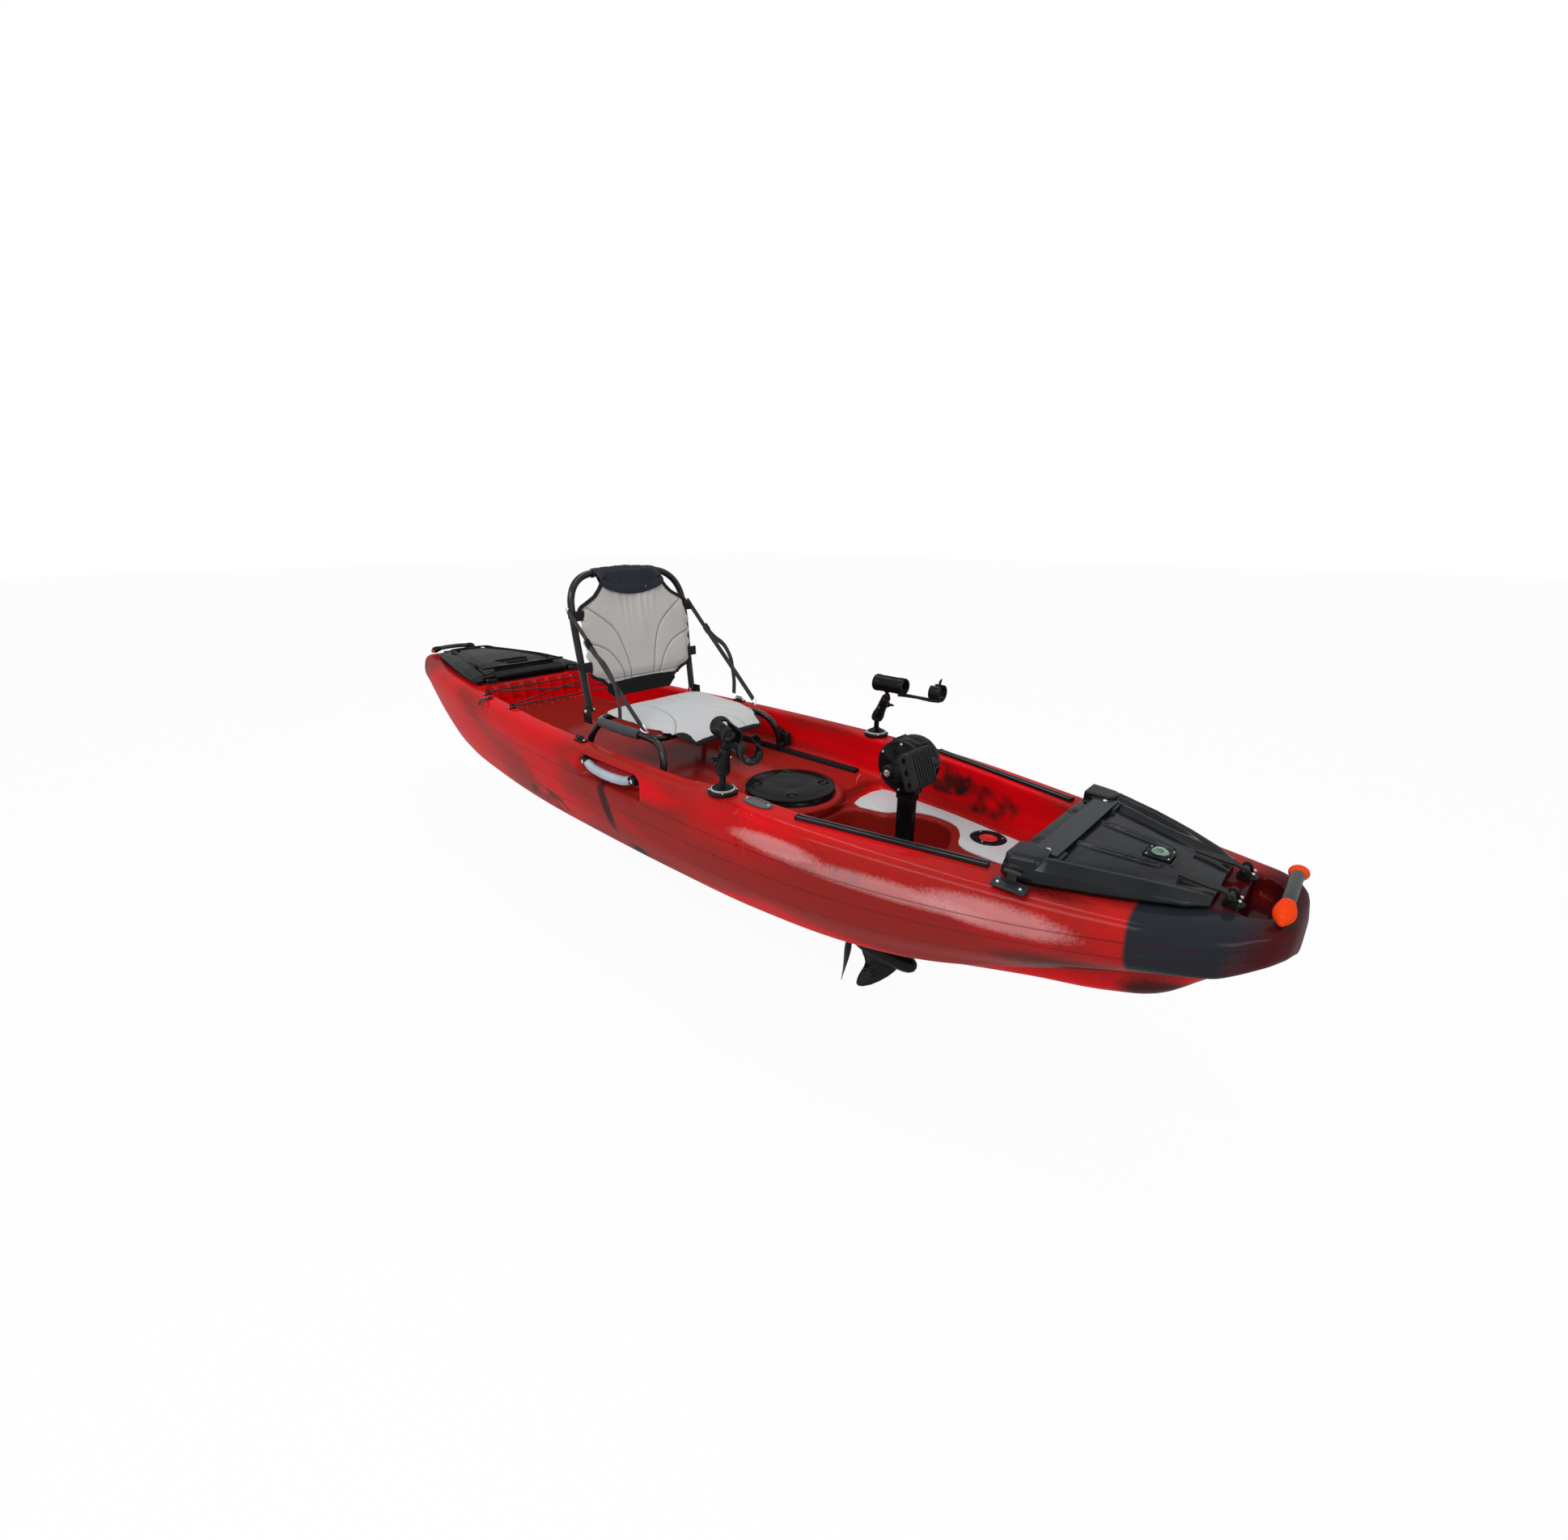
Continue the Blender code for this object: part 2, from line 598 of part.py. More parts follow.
def build_handles(looks):
    for side, s in SIDES:
        axis_y, axis_z = 0.4065, SIDE_HANDLE_Z + 0.006
        first, last = SIDE_HANDLE_X
        middle = (first + last) / 2
        bow = [(first + 0.010, 0.0, 0.0), (first + 0.036, 0.003, -0.008),
               (first + 0.075, 0.006, -0.017), (middle, 0.007, -0.020)]
        bow += [(first + last - x, out, drop) for x, out, drop in reversed(bow[:-1])]
        path = [(x, s * (axis_y + out), axis_z + drop) for x, out, drop in bow]
        grip = sweep("side_handle_" + side, path, circle(0.0125, 10), looks["grip"])
        for x0, x1 in ((first, first + 0.026), (last - 0.026, last)):
            join(grip, rod("end", 0.0108, (x0, s * axis_y, axis_z), (x1, s * axis_y, axis_z),
                           count=10))
        stand(grip, (middle, s * axis_y, axis_z))
    bow_half = ((0.128, 0.4105), (0.112, 0.4180), (0.088, 0.4265), (0.050, 0.4320), (0.0, 0.4335))
    stern_half = ((0.118, 0.4355), (0.106, 0.4430), (0.082, 0.4500), (0.044, 0.4540), (0.0, 0.4550))
    for name, x, half in (("bow_handle", 1.942, bow_half), ("stern_handle", -1.905, stern_half)):
        path = [(x, -y, z) for y, z in half] + [(x, y, z) for y, z in reversed(half[:-1])]
        sweep(name, path, circle(0.0105, 10), looks["grip"], up=(1, 0, 0))


def build_rod_holders(looks):
    x, y0 = ROD_BASE
    black = looks["black"]
    for side, s in SIDES:
        y = s * y0
        foot = 0.4012
        ball = [(0.0125 * math.sin(a), ROD_BALL_Z - foot - 0.0125 * math.cos(a))
                for a in np.linspace(0.75, 2.95, 7)]
        base = [(0.040, 0.0), (0.042, 0.004), (0.042, 0.010), (0.030, 0.018), (0.014, 0.025),
                (0.0085, 0.034)]
        turned("rod_holder_base_" + side, base + ball, (x, y, foot), (0, 0, 1), black, count=14)
        centre = Vector((x, y, ROD_BALL_Z))
        yaw = Matrix.Rotation(ROD_YAW[side], 4, "Z")
        place = Matrix.Translation(centre) @ yaw
        top = Vector(ROD_REACH)
        arm = turned("rod_arm_" + side,
                     [(0.0172, -0.004), (0.0185, 0.006), (0.0165, 0.022), (0.0130, 0.038),
                      (0.0130, 0.058), (0.0152, 0.072), (0.0152, top.length - 0.002)],
                     (0, 0, 0), top, black, count=12)
        pocket = [(0.0142 * math.sin(a), -0.0142 * math.cos(a)) for a in np.linspace(0.3, 2.9, 7)]
        cut(arm, turned("pocket", pocket, (0, 0, 0), (0, 0, 1), count=12))
        cut(arm, turned("throat", [(0.019, -0.03), (0.0130, 0.0)], (0, 0, 0), (0, 0, 1), count=12))
        cup = [(ROD_CUP_R * math.sin(a), -ROD_CUP_R * math.cos(a)) for a in np.linspace(0.3, 2.9, 7)]
        cut(arm, turned("cup", cup, top, (0, 0, 1), count=12))
        arm.data.transform(place)
        stand(arm, centre)
        knob_at = top.normalized() * 0.048
        knob = turned("rod_knob_" + side, [(0.0045, 0.0), (0.0045, 0.010), (0.0100, 0.012),
                                           (0.0100, 0.020)],
                      knob_at + Vector((0, s * 0.0136, 0)), (0, s, 0), black, count=12)
        wing_y = s * 0.0310
        join(knob, box("wing", (knob_at.x - 0.020, wing_y, knob_at.z - 0.0045),
                       (knob_at.x + 0.020, wing_y + s * 0.012, knob_at.z + 0.0045)))
        knob.data.transform(place)
        stand(knob, place @ knob_at, parent=arm.name)
        cradle = rod_cradle("rod_cradle_" + side, top, black)
        cradle.data.transform(place)
        stand(cradle, place @ top, parent=arm.name)


def rod_cradle(name, top, look):
    """A butt tube, a spine and an open front ring, on a ball."""
    z = top.z + ROD_TUBE_RISE
    cradle = turned(name, [(0.0205, 0.0), (0.0268, 0.0), (0.0285, 0.024), (0.0272, 0.115),
                           (0.0205, 0.115)],
                    (top.x - 0.045, 0, z), (1, 0, 0), look, count=14, bored=True)
    join(cradle, box("spine", (top.x + 0.045, -0.007, z - 0.0315),
                     (top.x + 0.190, 0.007, z - 0.0225)))
    ring = turned("ring", [(0.0220, 0.0), (0.0280, 0.0), (0.0280, 0.038), (0.0220, 0.038)],
                  (top.x + 0.170, 0, z), (1, 0, 0), count=14, bored=True)
    cut(ring, box("gap", (top.x + 0.16, -0.011, z), (top.x + 0.23, 0.011, z + 0.04)))
    join(cradle, ring)
    ball_r = ROD_CUP_R - 0.0008
    ball = [(ball_r * math.sin(a), -ball_r * math.cos(a)) for a in np.linspace(0.3, 2.7, 7)]
    join(cradle, turned("ball", ball, top, (0, 0, 1), count=12))
    join(cradle, rod("neck", 0.0062, top + Vector((0, 0, 0.005)),
                     top + Vector((0, 0, ROD_TUBE_RISE - 0.0245)), count=10))
    return cradle


def build_bungee(looks):
    """An elastic cord through four pad eyes over the tank well."""
    corners = []
    for name, x in (("rear", -0.835), ("front", -0.549)):
        y = line(CREST, x) - 0.018
        z = line(SHEER, x) + 0.0008
        for side, s in SIDES:
            eye = box("pad_eye_" + name + "_" + side, (x - 0.010, s * y - 0.017, z),
                      (x + 0.010, s * y + 0.017, z + 0.003), looks["black"])
            arch = [(x, s * y + 0.0105 * math.cos(a), z + 0.003 + 0.0125 * math.sin(a))
                    for a in np.linspace(-0.15, math.pi + 0.15, 8)]
            join(eye, sweep("arch", arch, circle(0.0028, 6), up=(1, 0, 0)))
            corners.append((x, s * y, z + 0.0085))
    rear_s, rear_p, front_s, front_p = (Vector(c) for c in corners)
    route = []
    order = (rear_s, rear_p, front_s, front_p)
    for k, here in enumerate(order):
        before, after = order[k - 1], order[(k + 1) % 4]
        inward = Vector((0, -math.copysign(1, here.y), 0))
        for other, sign in ((before, -1), (after, 1)):
            ahead = (other - here).normalized()
            step = 0.011 if other.x > here.x + 0.01 else -0.011
            if abs(other.x - here.x) <= 0.01:
                step = -0.011 if here.x < -0.7 else 0.011
            turn_out = here + Vector((step, 0, 0.001)) + inward * 0.003
            leave = here + ahead * 0.040 + Vector((step * 0.6, 0, 0.001))
            if sign < 0:
                route += [leave, turn_out, here]
            else:
                route += [turn_out, leave]
        if k in (1, 3):
            lift = 0.0055 if k == 1 else -0.0035
            middle = (here + after) / 2
            route.append(middle + Vector((0, 0, lift)))
    sweep("tank_bungee", route, circle(0.003, 8), looks["rubber"], closed=True)


def build_drain_plug(looks):
    turned("drain_plug", [(0.0098, 0.0), (0.0098, 0.020), (0.0160, 0.0203), (0.0160, 0.0255),
                          (0.0120, 0.0275)],
           (STERN_X + 0.0197, 0.0, 0.365), (-1, 0, 0), looks["black"], count=14)


# Pedal drive
def build_drive(looks):
    black, steel = looks["black"], looks["steel"]
    x = DRIVE_X
    centre = (x, 0.0, CRANK_Z)
    lift, crank = "drive_lift_axis", "crank_axis"
    housing = turned("gearbox_housing", [(DRUM_R - 0.006, -0.038), (DRUM_R, -0.032),
                                         (DRUM_R, 0.044), (DRUM_R - 0.012, 0.052)],
                     centre, (0, 1, 0), black, count=28)
    join(housing, box("neck", (x - 0.033, -0.024, CRANK_Z - 0.083), (x + 0.033, 0.024, CRANK_Z)))
    cut(housing, turned("hollow", [(DRUM_R - 0.009, -0.06), (DRUM_R - 0.009, 0.036),
                                   (DRUM_R - 0.020, 0.044)], centre, (0, 1, 0), count=28))
    cut(housing, turned("axle_hole", [(0.0106, 0.0), (0.0106, 0.1)], centre, (0, 1, 0), count=16))
    cut(housing, turned("shaft_hole", [(0.0090, 0.0), (0.0090, -0.10)], centre, (0, 0, 1),
                        count=12))
    hang(housing, lift)
    cover = turned("gearbox_cover", [(0.020, 0.0), (DRUM_R, 0.0), (DRUM_R, 0.006),
                                     (0.058, 0.010), (0.020, 0.016), (0.0108, 0.016),
                                     (0.0108, 0.0)],
                   (x, -0.0384, CRANK_Z), (0, -1, 0), black, count=28, bored=True)
    for k in range(6):
        angle = math.radians(30 + 60 * k)
        spot = Vector((x + 0.064 * math.cos(angle), -0.043, CRANK_Z + 0.064 * math.sin(angle)))
        join(cover, rod("screw", 0.0045, spot, spot + Vector((0, -0.0065, 0)), count=8))
    hang(cover, lift)
    tower = loft("drive_tower", [[(x + a, b, z) for a, b in rounded(w, d, 0.006, 2)]
                                 for z, w, d in ((-0.0196, TOWER_X - 0.004, TOWER_Y - 0.004),
                                                 (0.30, TOWER_X, TOWER_Y),
                                                 (CRANK_Z - 0.0834, TOWER_X, TOWER_Y))], black)
    cut(tower, turned("tower_bore", [(0.0105, -0.60), (0.0105, 0.10)], centre, (0, 0, 1), count=12))
    hang(tower, lift)
    middle = (SLOT_X[0] + SLOT_X[1]) / 2 - 0.011
    plate = prism("drive_mount_plate", [(middle + a, b) for a, b
                                        in rounded(0.320, 0.172, 0.03, 2)],
                  WELL_FLOOR_Z + 0.0005, WELL_FLOOR_Z + 0.0065, black)
    join(plate, box("collar", (x - 0.034, -0.024, WELL_FLOOR_Z + 0.001),
                    (x + 0.034, 0.024, WELL_FLOOR_Z + 0.026)))
    cut(plate, box("tower_hole", (x - TOWER_X / 2 - 0.0006, -TOWER_Y / 2 - 0.0006, 0.0),
                   (x + TOWER_X / 2 + 0.0006, TOWER_Y / 2 + 0.0006, 0.3)))
    hang(plate, lift)
    build_lower_unit(looks)
    axle = turned("crank_axle", [(0.0098, -0.110), (0.0098, 0.110)], centre, (0, 1, 0), steel,
                  count=14)
    front = 0.8 * TOP_PINION_R + GAP
    pitch = TOP_PINION_R + GAP
    join(axle, turned("crank_gear", [(0.8 * CRANK_GEAR_R, front), (CRANK_GEAR_R, pitch),
                                     (CRANK_GEAR_R, pitch + 0.007), (0.016, pitch + 0.012)],
                      centre, (0, 1, 0), count=32))
    hang(axle, crank)
    top = CRANK_Z - 0.8 * CRANK_GEAR_R - GAP
    low_apex = SHAFT_Z
    reach = PROP_GEAR_R
    shaft = turned("drive_shaft",
                   [(LOW_PINION_R, reach + 0.006), (LOW_PINION_R, reach + GAP),
                    (0.55 * LOW_PINION_R, 0.55 * reach + GAP)], (x, 0, low_apex), (0, 0, 1),
                   steel, count=18)
    join(shaft, turned("stem", [(0.006, 0.0), (0.006, top - low_apex - reach - 0.008)],
                       (x, 0, low_apex + reach + 0.004), (0, 0, 1), count=12))
    join(shaft, turned("top_pinion", [(TOP_PINION_R, -0.0185), (TOP_PINION_R, -0.0108),
                                      (0.8 * TOP_PINION_R, 0.0)], (x, 0, top), (0, 0, 1),
                       count=16))
    stand(shaft, (x, 0, 0), parent=lift)
    build_cranks(looks)
    build_propeller(looks)


def build_lower_unit(looks):
    x = DRIVE_X
    nose, tail = 1.156, 0.938
    body = [(0.0135, 0.0), (0.0225, 0.020), (0.0275, 0.055), (0.0290, 0.110), (0.0290, 0.168),
            (0.0255, 0.194), (0.0160, 0.211), (0.0060, 0.218)]
    unit = turned("lower_unit", body, (tail, 0, SHAFT_Z), (1, 0, 0), looks["black"], count=16,
                  turn=math.pi / 16)
    strut = loft("strut", [[(x + a * c, b, z) for a, b in ((0.045, 0.0), (0.030, 0.011),
                                                           (0.0, 0.0135), (-0.035, 0.008),
                                                           (-0.052, 0.0), (-0.035, -0.008),
                                                           (0.0, -0.0135), (0.030, -0.011))]
                           for z, c in ((SHAFT_Z, 1.0), (-0.0200, 0.72))], None)
    join(unit, strut)
    fin_edge = ((1.105, -0.165), (1.092, -0.192), (1.068, -0.228), (1.032, -0.268),
                (0.992, -0.305), (0.958, -0.328), (0.944, -0.322), (0.948, -0.300),
                (0.968, -0.252), (0.978, -0.222), (0.970, -0.200), (0.956, -0.178),
                (0.956, -0.160))
    fin = loft("fin", [[(a, -0.0035, b) for a, b in fin_edge], [(a, 0.0035, b)
                                                               for a, b in fin_edge]], None)
    join(unit, fin)
    cut(unit, turned("gear_room", [(0.0240, -0.022), (0.0240, 0.028)], (x, 0, SHAFT_Z),
                     (1, 0, 0), count=16))
    cut(unit, turned("shaft_bore", [(0.0080, 0.0), (0.0080, 0.20)], (x, 0, SHAFT_Z),
                     (0, 0, 1), count=12))
    cut(unit, turned("tail_bore", [(0.0080, 0.0), (0.0080, 0.17)], (tail - 0.03, 0, SHAFT_Z),
                     (1, 0, 0), count=12))
    hang(unit, "drive_lift_axis")


def build_cranks(looks):
    x = DRIVE_X
    for side, s in SIDES:
        lean = CRANK_ANGLE if s < 0 else CRANK_ANGLE + math.pi
        reach = Vector((CRANK_LENGTH * math.cos(lean), 0, CRANK_LENGTH * math.sin(lean)))
        hub = Vector((x, 0, CRANK_Z))
        end = hub + reach
        arm = turned("crank_arm_" + side, [(0.0190, 0.086), (0.0200, 0.090), (0.0200, 0.106),
                                           (0.0170, 0.109)], hub, (0, s, 0), looks["black"],
                     count=16)
        across = Vector((-reach.z, 0, reach.x)).normalized()
        rings = []
        for t, w in ((0.0, 0.0165), (0.45, 0.0125), (1.0, 0.0125)):
            spot = hub + reach * t
            rings.append([spot + across * w + Vector((0, s * 0.0880, 0)),
                          spot + across * w + Vector((0, s * 0.1040, 0)),
                          spot - across * w + Vector((0, s * 0.1040, 0)),
                          spot - across * w + Vector((0, s * 0.0880, 0))])
        join(arm, loft("bar", rings, None))
        join(arm, turned("eye", [(0.0135, 0.0875), (0.0135, 0.1055)], end, (0, s, 0), count=14))
        cut(arm, turned("axle_hole", [(0.0101, 0.05), (0.0101, 0.15)], hub, (0, s, 0), count=14))
        join(arm, turned("spindle", [(0.0062, 0.100), (0.0062, 0.192)], end, (0, s, 0), count=10))
        hang(arm, "crank_axis")
        stand(pedal("pedal_" + side, end, s, looks["black"]), end, parent="crank_axis")


def pedal(name, centre, s, look):
    """A ribbed platform whose treads lean with the rider's foot."""
    ribs, first, pitch = 8, 0.1090, 0.0115
    half, deep = 0.0160, 0.0060
    front, back = [], []
    for k in range(ribs):
        y = first + k * pitch
        for out, at in ((half, y), (half, y + 0.006), (half - deep, y + 0.006),
                        (half - deep, y + pitch)):
            front.append((out, at))
            back.append((-out, at))
    last = first + ribs * pitch - 0.0055
    outline = front[:-2] + [(half, last), (half, last + 0.010), (-half, last + 0.010),
                            (-half, last)] + list(reversed(back[:-2]))
    lean = math.radians(-20.0)
    rings = []
    for up in (-0.046, 0.046):
        rings.append([(centre.x + a * math.cos(lean) + up * math.sin(lean), s * b,
                       centre.z - a * math.sin(lean) + up * math.cos(lean))
                      for a, b in outline])
    made = loft(name, rings, look, sharp=20.0)
    cut(made, turned("bore", [(0.0068, 0.09), (0.0068, 0.30)], centre, (0, s, 0), count=10))
    return made


def build_propeller(looks):
    steel, black = looks["steel"], looks["black"]
    hub_at = (PROP_X, 0, SHAFT_Z)
    shaft = turned("propeller_shaft",
                   [(0.0075, -0.200), (0.0075, -0.062), (0.0044, -0.060),
                    (0.0044, 0.55 * LOW_PINION_R + GAP), (PROP_GEAR_R, LOW_PINION_R + GAP),
                    (PROP_GEAR_R, LOW_PINION_R + 0.006)],
                   (DRIVE_X, 0, SHAFT_Z), (1, 0, 0), steel, count=14)
    hang(shaft, "propeller_axis")
    hub = turned("propeller", [(0.0120, -0.036), (0.0175, -0.026), (0.0195, 0.0), (0.0180, 0.024)],
                 hub_at, (1, 0, 0), black, count=16)
    for k in range(2):
        angle = math.pi + BLADE_TILT + k * math.pi
        radial = Vector((0, math.sin(angle), math.cos(angle)))
        around = Vector((1, 0, 0)).cross(radial)
        rings = []
        for r, chord, thick in ((0.012, 0.024, 0.0080), (0.045, 0.040, 0.0065),
                                (0.085, 0.052, 0.0055), (0.120, 0.050, 0.0045),
                                (0.142, 0.034, 0.0040), (PROP_R, 0.014, 0.0030)):
            twist = math.atan2(0.56 / math.tau, max(r, 0.03))
            along = around * math.cos(twist) - Vector((1, 0, 0)) * math.sin(twist)
            flat = along.cross(radial)
            spot = Vector(hub_at) + radial * r
            rings.append([spot + along * chord * a + flat * thick * b
                          for a, b in ((0.5, 0.0), (0.2, 0.5), (-0.2, 0.5), (-0.5, 0.0),
                                       (-0.2, -0.5), (0.2, -0.5))])
        join(hub, loft("blade", rings, None))
    cut(hub, turned("bore", [(0.0080, -0.030), (0.0080, 0.04)], hub_at, (1, 0, 0), count=12))
    hang(hub, "propeller_axis")


# Seat
def build_seat(looks):
    tube = looks["tube"]
    z = SEAT_FRAME_Z
    corner = 0.05
    half = SEAT_HALF
    rear, front = SEAT_FRAME_X
    loop = []
    for cx, cy, start in ((front - corner, half - corner, 0), (rear + corner, half - corner, 90),
                          (rear + corner, -half + corner, 180),
                          (front - corner, -half + corner, 270)):
        for k in range(4):
            angle = math.radians(start + 30 * k)
            loop.append((cx + corner * math.cos(angle), cy + corner * math.sin(angle), z))
    frame = sweep("seat_base_frame", loop, circle(SEAT_TUBE_R, 8), tube, closed=True)
    foot = DECK_FLOOR_Z + 0.0185
    for _, s in SIDES:
        leg = smooth_path([(0.205, s * 0.238, z + 0.002), (0.290, s * 0.246, z - 0.006),
                           (0.336, s * 0.262, z - 0.048), (0.344, s * 0.282, foot)], 3)
        join(frame, sweep("front_leg", leg, circle(0.0115, 8)))
        leg = [(-0.060, s * 0.233, z - 0.002), (-0.082, s * 0.262, z - 0.050),
               (-0.086, s * 0.284, foot)]
        join(frame, sweep("rear_leg", smooth_path(leg, 3), circle(0.0115, 8)))
    hang(frame, "seat_slide_axis")
    for side, s in SIDES:
        clamp = box("seat_clamp_" + side, (0.306, s * 0.2985, DECK_FLOOR_Z + 0.016),
                    (0.362, s * 0.3250, DECK_FLOOR_Z + 0.066), looks["black"], bevel=0.003)
        hang(clamp, "seat_slide_axis")
    build_seat_pad(looks["pad"])
    back_path = [(SEAT_PIVOT[0], 0.240, SEAT_PIVOT[1]), (-0.134, 0.243, 0.60),
                 (-0.153, 0.247, 0.78), (-0.166, 0.236, 0.858), (-0.178, 0.196, 0.907),
                 (-0.184, 0.128, 0.928), (-0.185, 0.0, 0.934)]
    half_path = smooth_path(back_path, 2)
    full = half_path + [Vector((p.x, -p.y, p.z)) for p in reversed(half_path[:-1])]
    back = sweep("seat_back_frame", full, circle(SEAT_TUBE_R, 8), tube, up=(1, 0, 0))
    hang(back, "seat_back_axis")
    build_back_panel(looks["pad"])
    for side, s in SIDES:
        strap = sweep("seat_strap_" + side, [(-0.150, s * 0.2645, 0.808),
                                             (0.226, s * 0.2575, 0.462)],
                      [(-0.0015, -0.011), (0.0015, -0.011), (0.0015, 0.011), (-0.0015, 0.011)],
                      looks["webbing"])
        hang(strap, "seat_back_axis")


def build_seat_pad(look):
    """A crowned pad whose front edge rolls down."""
    stations = ((-0.068, 0.215, 0.4455), (-0.050, 0.232, 0.4475), (0.020, 0.240, 0.4485),
                (0.110, 0.240, 0.4475), (0.200, 0.236, 0.4450), (0.275, 0.216, 0.4400),
                (0.325, 0.198, 0.4290), (0.358, 0.182, 0.4130), (0.378, 0.160, 0.3960))
    rings = []
    for k, (x, half, z) in enumerate(stations):
        edge = 0.4 if k in (0, len(stations) - 1) else 1.0
        upper, lower = [], []
        for t in (-1.0, -0.93, -0.75, -0.4, 0.0, 0.4, 0.75, 0.93, 1.0):
            lift = (1.0 - abs(t) ** 4) ** 0.5 * edge
            crown = 0.006 * (1.0 - t * t)
            upper.append((x, half * t, z + 0.012 * lift + crown))
            if abs(t) < 1.0:
                lower.append((x, half * t, z - 0.005 * lift))
        rings.append(upper + list(reversed(lower)))
    hang(loft("seat_pad", rings, look, sharp=60.0), "seat_slide_axis")


def build_back_panel(look):
    """The sewn sling of the back: broad shoulders, a narrow head and a lumbar band."""
    stations = ((0.478, 0.130), (0.500, 0.160), (0.520, 0.165), (0.545, 0.176), (0.580, 0.232),
                (0.640, 0.240), (0.740, 0.250), (0.815, 0.240), (0.832, 0.212), (0.856, 0.160),
                (0.890, 0.128), (0.925, 0.112), (0.946, 0.096))
    rings = []
    for k, (z, half) in enumerate(stations):
        edge = 0.45 if k in (0, len(stations) - 1) else 1.0
        ahead = BACK_AHEAD * min(max((z - 0.50) / 0.08, 0.0), 1.0)
        x = SEAT_PIVOT[0] + ahead - (z - SEAT_PIVOT[1]) * BACK_LEAN
        front, rear = [], []
        for t in (-1.0, -0.9, -0.55, 0.0, 0.55, 0.9, 1.0):
            swell = (1.0 - t ** 4) ** 0.5 * edge
            hollow = 0.014 * (1.0 - t * t)
            front.append((x - hollow + 0.009 * swell, half * t, z))
            if abs(t) < 1.0:
                rear.append((x - hollow - 0.006 * swell, half * t, z))
        rings.append(front + list(reversed(rear)))
    hang(loft("seat_back_panel", rings, look, sharp=60.0), "seat_back_axis")


def build_pivots():
    pivot("bow_hatch_axis", (BOW_HINGE[0], 0.0, BOW_HINGE[2]))
    pivot("stern_hatch_axis", (STERN_HINGE[0], 0.0, STERN_HINGE[1]))
    pivot("drive_lift_axis", (DRIVE_X, 0.0, WELL_FLOOR_Z))
    pivot("crank_axis", (DRIVE_X, 0.0, CRANK_Z), parent="drive_lift_axis")
    pivot("propeller_axis", (PROP_X, 0.0, SHAFT_Z), parent="drive_lift_axis")
    pivot("seat_slide_axis", (0.0, 0.0, DECK_FLOOR_Z))
    pivot("seat_back_axis", (SEAT_PIVOT[0], 0.0, SEAT_PIVOT[1]), parent="seat_slide_axis")


def build():
    clear_scene()
    looks = {
        "hull": finish("hull_red", (0.60, 0.02, 0.03), 0.38),
        "charcoal": finish("lid_charcoal", (0.045, 0.050, 0.056), 0.45),
        "black": finish("moulded_black", (0.016, 0.017, 0.018), 0.42),
        "rubber": finish("soft_rubber", (0.020, 0.020, 0.020), 0.75),
        "steel": finish("bright_steel", (0.62, 0.62, 0.64), 0.25, 1.0),
        "track": finish("track_aluminium", (0.05, 0.052, 0.055), 0.40, 0.6),
        "tube": finish("frame_tube", (0.014, 0.014, 0.015), 0.30, 0.4),
        "mat": finish("foam_mat", (0.52, 0.53, 0.54), 0.85),
        "grip": finish("rubber_grip", (0.30, 0.34, 0.38), 0.70),
        "pad": finish("seat_fabric", (0.56, 0.56, 0.54), 0.90),
        "webbing": finish("webbing", (0.05, 0.05, 0.055), 0.85),
    }
    build_pivots()
    build_hull(looks["hull"])
    build_bow_hatch(looks)
    build_stern_hatch(looks)
    build_round_hatch(looks)
    build_rails_and_mats(looks)
    build_handles(looks)
    build_rod_holders(looks)
    build_bungee(looks)
    build_drain_plug(looks)
    build_drive(looks)
    build_seat(looks)


build()
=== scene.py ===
"""Looks of the pedal kayak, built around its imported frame. Metres, X to the bow, Z up."""
import math

import bmesh
import bpy
import numpy as np
from mathutils import Matrix, Vector


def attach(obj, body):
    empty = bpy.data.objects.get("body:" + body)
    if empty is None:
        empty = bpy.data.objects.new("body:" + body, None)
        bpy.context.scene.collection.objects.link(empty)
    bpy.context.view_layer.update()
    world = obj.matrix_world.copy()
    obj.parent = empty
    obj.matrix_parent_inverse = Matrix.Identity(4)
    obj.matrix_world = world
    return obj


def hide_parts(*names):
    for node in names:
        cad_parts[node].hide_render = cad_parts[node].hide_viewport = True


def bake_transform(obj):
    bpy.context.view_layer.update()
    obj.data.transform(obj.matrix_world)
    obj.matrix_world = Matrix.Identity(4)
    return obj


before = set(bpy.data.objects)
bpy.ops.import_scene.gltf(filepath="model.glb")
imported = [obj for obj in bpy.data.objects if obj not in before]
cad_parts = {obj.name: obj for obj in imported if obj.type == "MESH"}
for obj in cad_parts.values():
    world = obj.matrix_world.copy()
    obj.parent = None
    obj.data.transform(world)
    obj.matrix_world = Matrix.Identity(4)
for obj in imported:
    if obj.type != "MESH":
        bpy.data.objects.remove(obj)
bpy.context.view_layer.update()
SIDES = (("starboard", -1.0), ("port", 1.0))
UP = (0, 0, 1)


